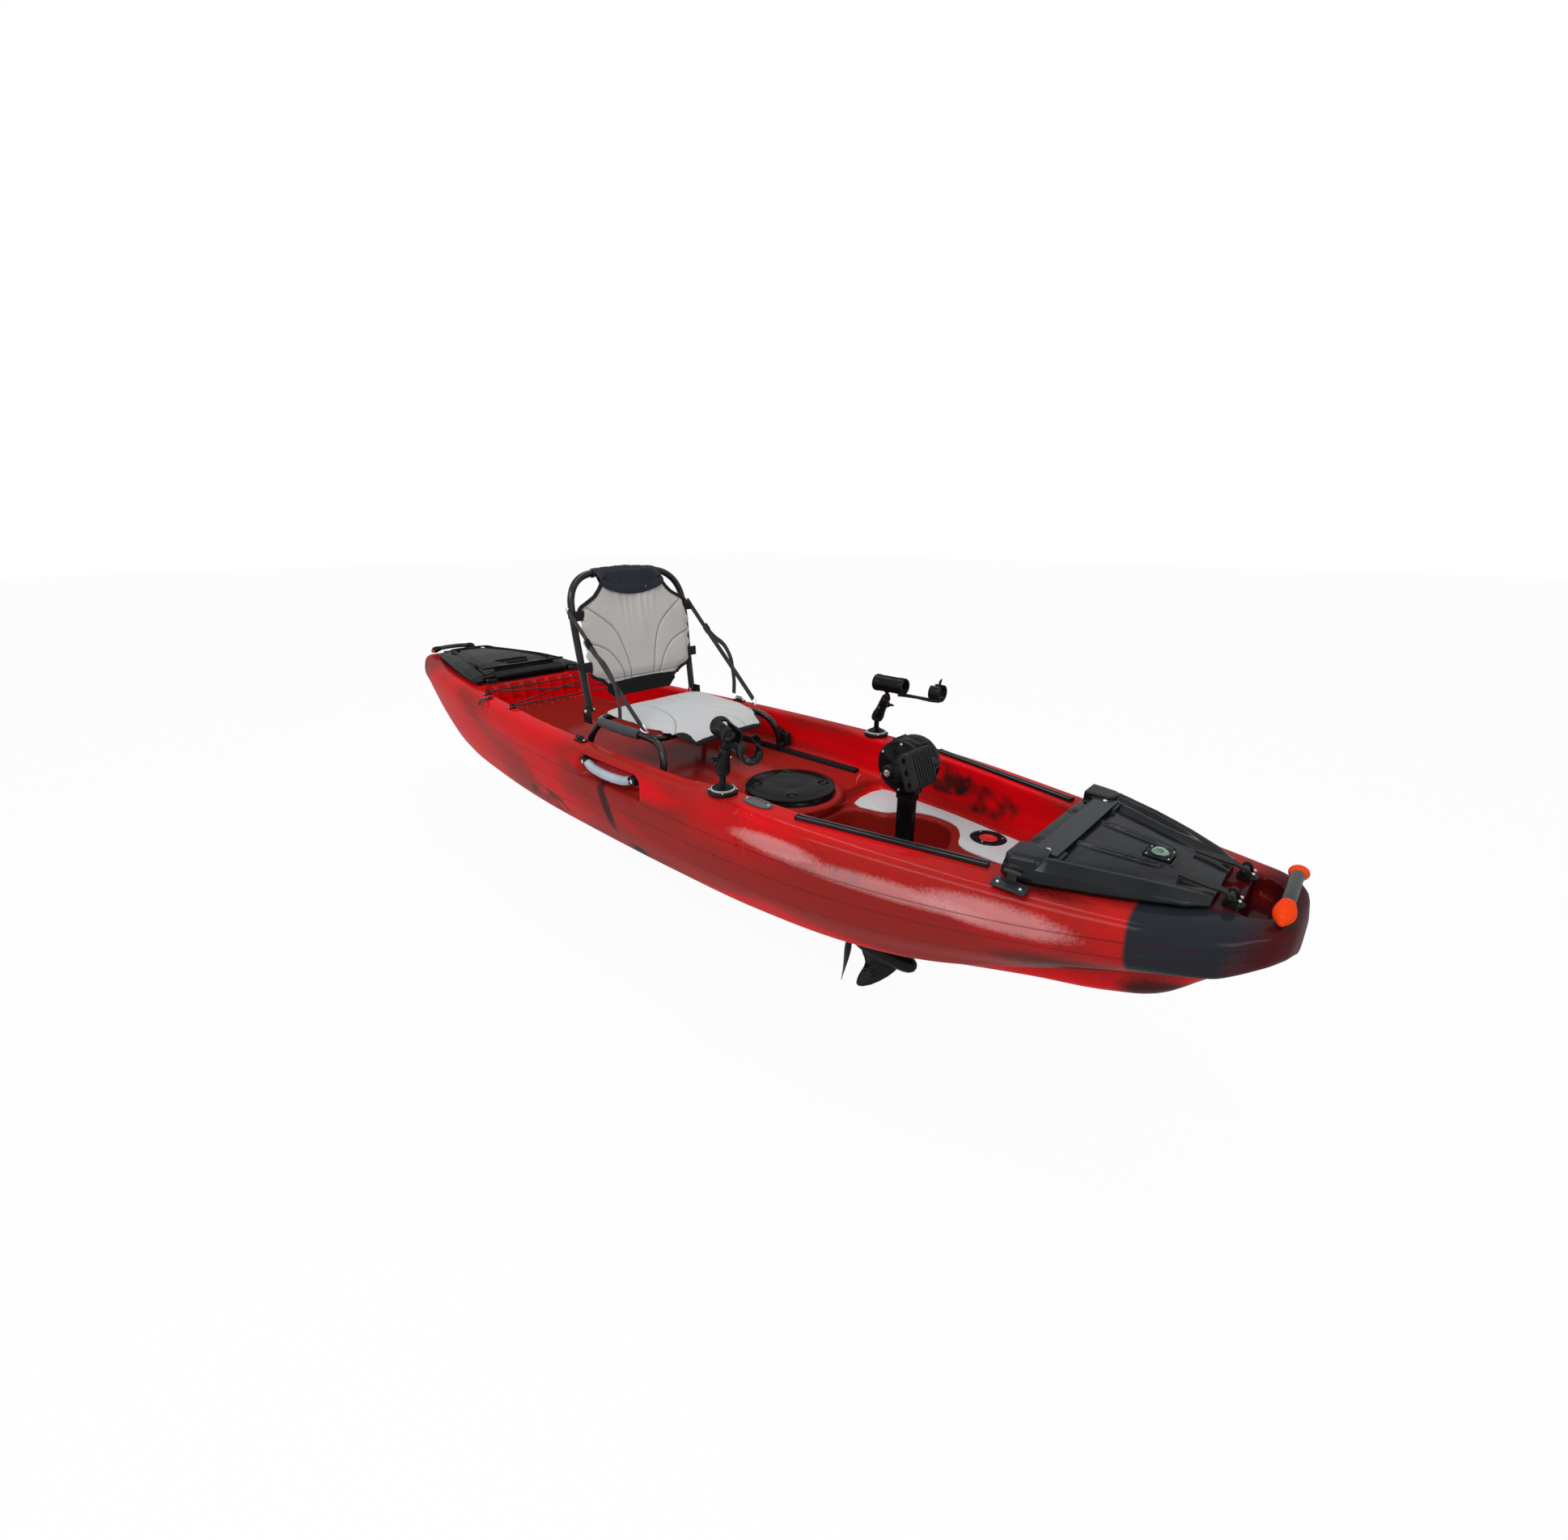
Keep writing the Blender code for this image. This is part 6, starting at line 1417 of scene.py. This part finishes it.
WEBBING = weave("webbing", (0.036, 0.037, 0.041), (0.014, 0.014, 0.016), 420.0, 0.82, 0.0005,
    ("Y", "Z"), 0.2, 0.3)
GREY_PAD = weave("side_padding", (0.052, 0.054, 0.062), (0.026, 0.027, 0.031), 480.0, 0.85,
    0.0003, ("X", "Z"), 0.3, 0.4)


def puff(made, cap, voxel=0.005, pressure=4.0):
    """Swell a closed form with a short cloth run, no point moving further than the cap."""
    voxel = voxel * 1.0
    modify(made, "REMESH", mode="VOXEL", voxel_size=voxel, use_smooth_shade=True)
    start = read_points(made.data.vertices)
    cloth = made.modifiers.new("cloth", "CLOTH")
    cloth.settings.use_pressure = True
    cloth.settings.uniform_pressure_force = pressure
    cloth.settings.quality = 5
    cloth.settings.tension_stiffness = 12
    cloth.settings.compression_stiffness = 12
    cloth.settings.bending_stiffness = 1.5
    cloth.settings.effector_weights.gravity = 0.0
    cloth.point_cache.frame_start = 1
    cloth.point_cache.frame_end = 20
    for frame_now in range(1, 21):
        bpy.context.scene.frame_set(frame_now)
    apply_modifiers(made)
    bpy.context.scene.frame_set(1)
    shift = read_points(made.data.vertices) - start
    length = np.linalg.norm(shift, axis=1, keepdims=True)
    shift *= np.minimum(1.0, cap / np.maximum(length, 1e-9))
    made.data.vertices.foreach_set("co", (start + shift).ravel())
    modify(made, "SUBSURF", levels=1, render_levels=1)
    modify(made, "SMOOTH", factor=0.5, iterations=3)
    made.data.shade_smooth()
    return made


def press(made, axes, curves, depth, width, facing):
    """Press sewn channels along curves into the side that faces a direction."""
    mesh = made.data
    spots = read_points(mesh.vertices)
    normals = read_points(mesh.vertex_normals, "vector")
    flat = spots[:, axes]
    near = np.full(len(spots), 1.0)
    for curve in curves:
        line_points = np.array([(p[0], p[1]) for p in curve])
        for a, b in zip(line_points, line_points[1:]):
            way = b - a
            share = np.clip(((flat - a) @ way) / max(way @ way, 1e-12), 0, 1)
            near = np.minimum(near, np.linalg.norm(flat - (a + share[:, None] * way), axis=1))
    toward = normals @ np.array(facing) > 0.2
    fall = np.exp(-(near / width) ** 2) * toward
    spots += -np.array(facing)[None, :] * (depth * fall)[:, None]
    mesh.vertices.foreach_set("co", spots.ravel())
    seam = np.exp(-(near / 0.002) ** 2) * toward
    store = mesh.attributes.get("seam")
    if store is None:
        store = mesh.attributes.new("seam", "FLOAT", "POINT")
    before = np.empty(len(mesh.vertices))
    store.data.foreach_get("value", before)
    store.data.foreach_set("value", np.maximum(before, seam))
    mesh.update()


def plane_curve(points, steps=10):
    return [(p.x, p.y) for p in smooth_path([(a, b, 0) for a, b in points], steps)]


def build_pad():
    stations = tenths(-640, 2080, 4455, -500, 2240, 4475, 200, 2330, 4480, 1100, 2330, 4470,
        2000, 2290, 4445, 2750, 2100, 4395, 3250, 1920, 4290, 3560, 1760, 4135, 3740, 1560, 3980,
        n=3)
    path = smooth_path([(x, h, z) for x, h, z in stations], 6)
    rings = []
    for k, spot in enumerate(path):
        edge = 0.55 if k in (0, len(path) - 1) else 1.0
        upper, lower = [], []
        for t in np.linspace(-1.0, 1.0, 29):
            lift = (1.0 - abs(t) ** 5) ** 0.5 * edge
            crown = 0.0045 * (1.0 - t * t)
            upper.append((spot.x, spot.y * t, spot.z + 0.01 * lift + crown))
            if abs(t) < 0.999:
                lower.append((spot.x, spot.y * t, spot.z - 0.004 * lift))
        rings.append(upper + list(reversed(lower)))
    pad = puff(loft("seat_cushion", rings, PAD_CLOTH), 0.005)
    curves = [plane_curve(tenths(-400, -850, 600, -780, 1500, -920, 2350, -1280, 3000,
        -1800)), plane_curve(tenths(-450, 400, 600, 300, 1800, 400, 3600, 850)),
        plane_curve(tenths(-400, 850, 600, 780, 1500, 920, 2350, 1280, 3000, 1800))]
    press(pad, [0, 1], curves, 0.004, 0.0046, UP)
    pad.data.materials.append(DARK_CLOTH)
    edge_x = [s[0] for s in stations]
    edge_y = [s[1] for s in stations]
    for face in pad.data.polygons:
        centre = face.center
        rim = abs(centre.y) / np.interp(centre.x, edge_x, edge_y)
        low = face.normal.z < -0.15
        hem = centre.x > 0.366 or centre.x < -0.06 or rim > 0.985
        scallop = centre.x > 0.3 and rim > 0.93 - 0.1 * math.exp(-((centre.x - 0.335) / 0.03) ** 2)
        face.material_index = 1 if low or hem or scallop else 0
    place(pad, "seat", "pad", "seat_pad")
    for side, s in SIDES:
        points = [(-0.06, s * 0.2365, 0.4215), (0.02, s * 0.2385, 0.4215), (0.11, s * 0.2385,
            0.4215), (0.18, s * 0.2375, 0.4215)]
        path = smooth_path(points, 10)
        rings = []
        for k, spot in enumerate(path):
            t = k / (len(path) - 1)
            swell = 0.0185 - 0.004 * abs(2 * t - 1) ** 3 + 0.0006 * math.sin(23 * t)
            rings.append([(spot.x, spot.y + swell * a, spot.z + swell * b)
                for a, b in circle(1.0, 24)])
        roll = loft("side_roll_" + side, rings, GREY_PAD, sharp=70.0)
        boolean(roll, loft("core", [[(p.x + e, p.y + 0.013 * a, p.z + 0.013 * b)
            for a, b in circle(1.0, 20)] for p, e in ((path[0], -0.01), (path[len(path) // 2],
            0.0), (path[-1], 0.01))]))
        place(roll, "seat", "pad")


BACK_STATIONS = tenths(4800, 1280, 5000, 1540, 5200, 1600, 5420, 1650, 5560, 1800, 5700, 2120,
    5820, 2280, 6400, 2340, 7400, 2440, 8080, 2360, 8190, 2260, 8320, 2000, 8500, 1680, 8720,
    1460, 9000, 1260, 9250, 1120, 9440, 960)


def back_x(z):
    ahead = 0.0285 * np.clip((z - 0.5) / 0.08, 0.0, 1.0)
    return PIVOT_X + ahead - (z - PIVOT_Z) * 0.108


def build_back():
    heights = np.linspace(0.48, 0.944, 96)
    zs = [s[0] for s in BACK_STATIONS]
    ys = [s[1] for s in BACK_STATIONS]
    rings = []
    for k, z in enumerate(heights):
        half = float(np.interp(z, zs, ys)) + 0.006
        edge = 0.6 if k in (0, len(heights) - 1) else 1.0
        front, rear = [], []
        for t in np.linspace(-1.0, 1.0, 33):
            swell = (1.0 - abs(t) ** 8) ** 0.5 * edge
            hollow = 0.012 * (1.0 - t * t)
            x = float(back_x(z)) - hollow
            front.append((x + 0.0055 * swell, half * t, float(z)))
            if abs(t) < 0.999:
                rear.append((x - 0.0045 * swell, half * t, float(z)))
        rings.append(front + list(reversed(rear)))
    back = puff(loft("seat_sling", rings, BACK_CLOTH), 0.0035)
    mesh = back.data
    spots = read_points(mesh.vertices)
    y, z = spots[:, 1], spots[:, 2]
    folds = np.zeros(len(spots))
    for at, lean, reach, height in ((-0.072, 0.1, 0.01, 0.1), (-0.04, 0.02, 0.008, 0.16),
            (-0.012, -0.02, 0.009, 0.12), (0.022, 0.03, 0.01, 0.19), (0.055, -0.05, 0.008, 0.11),
            (0.088, -0.12, 0.009, 0.09)):
        run = np.clip((z - (0.865 - height)) / height, 0, 1) * np.clip((0.905 - z) / 0.03, 0, 1)
        folds += 0.0045 * np.exp(-((y - at - lean * (0.87 - z)) / reach) ** 2) * run
    spots[:, 0] += folds - 0.002 * np.clip((z - 0.78) / 0.06, 0, 1) * np.clip((0.89 - z) / 0.03,
        0, 1)
    mesh.vertices.foreach_set("co", spots.ravel())
    mesh.update()
    curves = []
    for s in (-1, 1):
        curves.append(plane_curve([(s * 0.05, 0.548), (s * 0.066, 0.64), (s * 0.105, 0.735),
            (s * 0.205, 0.816)]))
        curves.append(plane_curve([(s * 0.08, 0.548), (s * 0.1, 0.606), (s * 0.15, 0.665),
            (s * 0.234, 0.7)]))
    hem = plane_curve(tenths(-1820, 5580, 0, 5530, 1820, 5580))
    press(back, [1, 2], curves, 0.0042, 0.004, (1, 0, 0))
    press(back, [1, 2], [hem], 0.0014, 0.003, (1, 0, 0))
    for look in (DARK_CLOTH, NAVY_CLOTH):
        mesh.materials.append(look)
    for face in mesh.polygons:
        c = face.center
        half = float(np.interp(c.z, zs, ys))
        lumbar = c.z < 0.542 + 0.004 * math.cos(c.y * 12)
        head = c.z > 0.872 + 0.9 * c.y * c.y * 1.6
        bound = (0.819 < c.z < 0.872 or 0.545 < c.z < 0.598) and half - abs(c.y) < 0.009
        face.material_index = 2 if head else 1 if lumbar or bound or c.z > 0.93 else 0
    place(back, "seat_back", "pad", "seat_back_panel")
    for side, s in SIDES:
        for part, low, high in (("upper", 0.806, 0.912), ("lower", 0.536, 0.584)):
            edge = []
            for z in np.linspace(low, high, 22):
                edge.append((float(back_x(z)) - 0.0008,
                    s * (float(np.interp(z, zs, ys)) - 0.0005), float(z)))
            tape = sweep("edge_tape_" + part + "_" + side, smooth_path(edge, 2),
                rounded(0.0115, 0.0125, 0.0035, 3), DARK_CLOTH, up=(1, 0, 0), sharp=60.0)
            place(tape, "seat_back", "pad")
    build_headrest()


def build_headrest():
    """A sleeve that wraps the top tube, and its front flap with a curved lower edge."""
    rings = []
    for y in np.linspace(-0.138, 0.138, 51):
        t = abs(y) / 0.138
        top, x = arch_at(y)
        flare = 0.0006 * math.sin(y * 130.0) + 0.0005 * math.sin(y * 310.0)
        ring = []
        for k in range(28):
            angle = math.tau * k / 28
            radius = 0.0165 + flare - 0.0012 * t ** 6
            ring.append((x + 0.0005 + math.cos(angle) * radius, float(y),
                top + math.sin(angle) * radius * 0.98))
        rings.append(ring)
    sleeve = loft("headrest_sleeve", rings, NAVY_CLOTH, sharp=70.0)
    core = []
    for y in np.linspace(-0.17, 0.17, 25):
        top, x = arch_at(y)
        core.append((x, float(y), top))
    cut(sleeve, sweep("core", core, circle(0.0128, 20), up=(1, 0, 0)))
    place(sleeve, "seat_back", "pad")
    for name, ahead, low, width in (("headrest_front", 1, 0.85, 0.134), ("headrest_flap", -1,
            0.8, 0.12)):
        rings = []
        for t in np.linspace(-1.0, 1.0, 41):
            y = width * float(t)
            top, x = arch_at(y)
            foot = low + 0.03 * abs(t) ** 2.0 + 0.006 * abs(t) ** 12
            ring = []
            for k in range(15):
                u = k / 14
                z = top + 0.006 + (foot - top - 0.006) * u
                sling = float(back_x(z)) - 0.012 * (1 - min(abs(y) / 0.15, 1.0) ** 2)
                near = sling + 0.0135 if ahead > 0 else sling - 0.012
                start = x + ahead * 0.0165
                way = start + (near - start) * min(u * 1.5, 1.0)
                ring.append((way + 0.0014 * math.sin(37.0 * y + 3.0 * u), y, z))
            rings.append(ring + [(a - ahead * 0.0026, b, c) for a, b, c in reversed(ring)])
        flap = loft(name, rings, NAVY_CLOTH, sharp=70.0)
        place(flap, "seat_back", "pad")


def arch_at(y):
    """Height and place of the back's top tube at y."""
    ys = (0.0, 0.128, 0.17, 0.196)
    return (float(np.interp(abs(y), ys, (0.934, 0.928, 0.917, 0.907))),
        float(np.interp(abs(y), ys, (-0.185, -0.184, -0.181, -0.178))))


def seat_tube(name, path, look, radius=0.0125, closed=False, up=UP):
    return sweep(name, path, circle(radius, 24), look, closed=closed, up=up, sharp=60.0)


def build_frames():
    z, corner, half, rear, front = 0.4215, 0.05, 0.235, -0.095, 0.262
    loop = []
    for cx, cy, start in ((front - corner, half - corner, 0), (rear + corner, half - corner, 90),
            (rear + corner, -half + corner, 180), (front - corner, -half + corner, 270)):
        for k in range(10):
            angle = math.radians(start + 10 * k)
            loop.append((cx + corner * math.cos(angle), cy + corner * math.sin(angle), z))
    base = seat_tube("seat_frame", loop, TUBE, closed=True)
    for _, s in SIDES:
        leg = smooth_path([(0.205, s * 0.238, z + 0.002), (0.29, s * 0.246, z - 0.006),
            (0.336, s * 0.262, z - 0.048), (0.344, s * 0.282, 0.2935)], 10)
        join(base, seat_tube("front_leg", leg, TUBE, 0.0115))
        leg = smooth_path([(-0.06, s * 0.233, z - 0.002), (-0.082, s * 0.262, z - 0.05),
            (-0.086, s * 0.284, 0.2935)], 10)
        join(base, seat_tube("rear_leg", leg, TUBE, 0.0115))
    place(base, "seat", "tube", "seat_base_frame")
    for _, s in SIDES:
        for x in (0.344, -0.086):
            foot = turned("leg_foot", tenths(150, 0, 160, 30, 150, 160, 122, 190),
                (x, s * 0.2825, 0.2899), UP, BLACK, 28)
            place(foot, "seat", "black")
        bracket = box("pivot_bracket", (-0.136, s * 0.2535, 0.41), (-0.084, s * 0.257, 0.47),
            BLACK, 0.0015)
        place(bracket, "seat", "tube")
        pin = turned("pivot_pin", tenths(75, 0, 75, 40, 45, 45, 45, 320, 78, 325, 70, 365, 0,
            370), (PIVOT_X, s * 0.2235, PIVOT_Z), (0, s, 0), STEEL, 28)
        place(pin, "seat", "steel")
    knots = [(PIVOT_X, 0.24, PIVOT_Z), (-0.134, 0.243, 0.6), (-0.153, 0.247, 0.78),
        (-0.166, 0.236, 0.858), (-0.178, 0.196, 0.907), (-0.184, 0.128, 0.928),
        (-0.185, 0.0, 0.934)]
    half_path = smooth_path(knots, 10)
    full = half_path + [Vector((p.x, -p.y, p.z)) for p in reversed(half_path[:-1])]
    back = seat_tube("back_frame", full, TUBE, up=(1, 0, 0))
    place(back, "seat_back", "tube", "seat_back_frame")
    for _, s in SIDES:
        for z_at in (0.612, 0.79):
            spot = Vector((-0.117 - (z_at - PIVOT_Z) * 0.113,
                s * (0.24 + (z_at - PIVOT_Z) * 0.021), z_at))
            tab = box("sling_tab", (-0.006, -0.02, -0.017), (0.0035, 0.02, 0.017), DARK_CLOTH,
                0.001)
            tab.data.transform(Matrix.Translation((float(back_x(z_at)) + 0.0005, s * 0.239, z_at)))
            place(tab, "seat_back", "pad")
            band = turned("tube_band", tenths(138, -110, 145, -90, 145, 90, 138, 110, 127, 110,
                127, -110), spot, (-0.113, 0, 1), DARK_CLOTH, 28, bored=True)
            place(band, "seat_back", "pad")
    for _, s in SIDES:
        bolt = turned("strap_bolt", tenths(78, 0, 82, 30, 60, 48, 0, 52), (-0.157, s * 0.2605,
            0.81), (0.2, s, 0), STEEL, 28)
        place(bolt, "seat_back", "steel")


def build_straps():
    for side, s in SIDES:
        high, low = Vector((-0.15, s * 0.2645, 0.808)), Vector((0.226, s * 0.2575, 0.462))
        way = (high - low).normalized()
        face = Vector((0, s, 0))
        face = (face - way * face.dot(way)).normalized()
        flat = way.cross(face)
        strap_path = []
        for t in np.linspace(0.0, 1.0, 60):
            sag = Vector((0, s * 0.0008 * math.sin(7.0 * t), 0))
            strap_path.append(low.lerp(high, float(t)) + sag)

        def ribbon(name, path, width=0.0215, thick=0.0022, look=WEBBING):
            rings = []
            for k, spot in enumerate(path):
                along = heading(path, k)
                out = (face - along * face.dot(along)).normalized()
                wide = along.cross(out)
                rings.append([spot + wide * a + out * b for a, b in rounded(width, thick,
                    thick * 0.42, 2)])
            return loft(name, rings, look, sharp=50.0)
        strap = ribbon("back_strap_" + side, strap_path)
        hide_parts("seat_strap_" + side)
        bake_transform(strap)
        at = low.lerp(high, 0.7)
        turn = Matrix((way, flat, face)).transposed().to_4x4()
        buckle = box("buckle", (-0.015, -0.015, -0.001), (0.015, 0.015, 0.0062), BLACK, 0.0022, 3)
        for a in (-0.0085, 0.0035):
            boolean(buckle, box("slot", (a, -0.0118, 0.0022), (a + 0.005, 0.0118, 0.02)))
        join(buckle, box("tongue", (-0.001, -0.0112, 0.0048), (0.0195, 0.0112, 0.007), BLACK,
            0.0009))
        buckle.data.transform(Matrix.Translation(at) @ turn)
        buckle.name = "strap_buckle_" + side
        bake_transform(buckle)
        tail = [at - way * back + face * out + Vector((x, 0, z)) for back, out, x, z in tenths(
            120, 52, 0, 0, 500, 70, 40, 40, 1050, 85, 160, 160, 1600, 80, 120, 100,
            2000, 60, -40, -60, 2220, 50, -120, -400, 2260, 50, -180, -850, n=4)]
        loose = ribbon("strap_tail_" + side, smooth_path(tail, 8), 0.02, 0.0018)
        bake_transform(loose)
        bend = [low + way * a + flat * b + face * c for a, b, c in tenths(
            40, 120, 0, -80, 110, 0, -200, 40, -40, -260, 0, -100,
            -200, -40, -40, -80, -110, 0, 40, -120, 0, n=3)]
        hook = sweep("strap_hook_" + side, smooth_path(bend, 6), circle(0.0026, 14), STEEL)
        place(hook, "seat", "steel")


def dress_frame():
    """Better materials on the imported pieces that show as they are."""
    dress = {"bow_lid_strap": CHARCOAL, "tank_bungee": RUBBER, "drain_plug": BLACK,
        "crank_axle": STEEL, "drive_shaft": STEEL, "propeller_shaft": STEEL}
    for side, _ in SIDES:
        dress["bow_hinge_leaf_" + side] = dress["bow_hinge_base_" + side] = BLACK
    for node, look in dress.items():
        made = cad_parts[node]
        made.data.materials.clear()
        made.data.materials.append(look)
        made.data.shade_smooth()
        made.data.set_sharp_from_angle(angle=math.radians(40.0))


# Studio
def build_studio():
    scene = bpy.context.scene
    camera = bpy.data.objects.new("camera", bpy.data.cameras.new("camera"))
    scene.collection.objects.link(camera)
    yaw, pitch = 2.313, 0.354
    ahead = Vector((math.cos(yaw) * math.cos(pitch), math.sin(yaw) * math.cos(pitch),
        -math.sin(pitch)))
    side = ahead.cross(Vector((0, 0, 1))).normalized()
    up = side.cross(ahead)
    turn = Matrix((side, up, -ahead)).transposed().to_4x4()
    camera.matrix_world = Matrix.Translation((1.963, -1.462, 1.075)) @ turn
    camera.data.lens = 14.995
    camera.data.sensor_width = 36.0
    camera.data.clip_start = 0.02
    scene.camera = camera
    scene.view_settings.view_transform = "Standard"
    floor_look = Look("floor_paper", 0.6)
    floor = make("floor", [(-30, -30, -0.36), (30, -30, -0.36), (30, 30, -0.36),
        (-30, 30, -0.36)], [(0, 1, 2, 3)], None)
    tone = floor_look.mix(floor_look.noise(3.0, 2.0), (0.86, 0.86, 0.86), (0.88, 0.88, 0.88))
    floor_look.done(tone)
    glow = floor_look.put("Emission", {"Color": (1, 1, 1, 1), "Strength": 1.0})
    rays = floor_look.put("LightPath").outputs
    seen = floor_look.sum("ADD", floor_look.sum("ADD", rays["Is Camera Ray"],
        rays["Is Glossy Ray"]), rays["Is Transmission Ray"], True)
    blend = floor_look.put("MixShader", {0: floor_look.sum("MULTIPLY", seen, 0.955)})
    floor_look.links.new(floor_look.shader.outputs[0], blend.inputs[1])
    floor_look.links.new(glow.outputs[0], blend.inputs[2])
    floor_look.links.new(blend.outputs[0], floor_look.nodes["Material Output"].inputs[0])
    floor.data.materials.append(floor_look.made)
    world = bpy.data.worlds.new("studio")
    world.use_nodes = True
    nodes, links = world.node_tree.nodes, world.node_tree.links
    soft = nodes["Background"]
    soft.inputs[0].default_value = (1.0, 1.0, 1.0, 1.0)
    soft.inputs[1].default_value = 0.52
    paper = nodes.new("ShaderNodeBackground")
    paper.inputs[0].default_value = (1.0, 1.0, 1.0, 1.0)
    rays = nodes.new("ShaderNodeLightPath").outputs
    shown = rays["Is Camera Ray"]
    for ray in ("Is Glossy Ray", "Is Transmission Ray"):
        step = nodes.new("ShaderNodeMath")
        step.use_clamp = True
        links.new(shown, step.inputs[0])
        links.new(rays[ray], step.inputs[1])
        shown = step.outputs[0]
    choice = nodes.new("ShaderNodeMixShader")
    links.new(shown, choice.inputs[0])
    links.new(soft.outputs[0], choice.inputs[1])
    links.new(paper.outputs[0], choice.inputs[2])
    links.new(choice.outputs[0], nodes["World Output"].inputs[0])
    scene.world = world
    for name, spot, target, size, power in (
            ("key", (1.0, -2.6, 3.0), (0.4, 0.0, 0.2), (3.2, 0.7), 56.0),
            ("top", (0.3, 0.1, 3.3), (0.2, -0.1, 0.2), (3.8, 0.28), 34.0),
            ("bow", (4.2, -1.2, 1.8), (1.4, 0.0, 0.2), (1.4, 0.6), 13.0)):
        light = bpy.data.lights.new(name, "AREA")
        light.shape = "RECTANGLE"
        light.size, light.size_y = size
        light.energy = power
        lamp = bpy.data.objects.new(name, light)
        scene.collection.objects.link(lamp)
        way = Vector(target) - Vector(spot)
        lamp.rotation_euler = way.to_track_quat("-Z", "Y").to_euler()
        lamp.location = spot


build_studio()
build_hull()
build_bow_lid()
build_compass()
build_stern_lid()
build_latches()
build_seals()
build_round_lid()
build_rails()
build_mats()
build_trim()
build_side_handles()
build_end_handles()
build_rod_holders()
build_pad_eyes()
build_drive()
build_frames()
build_pad()
build_back()
build_straps()
dress_frame()
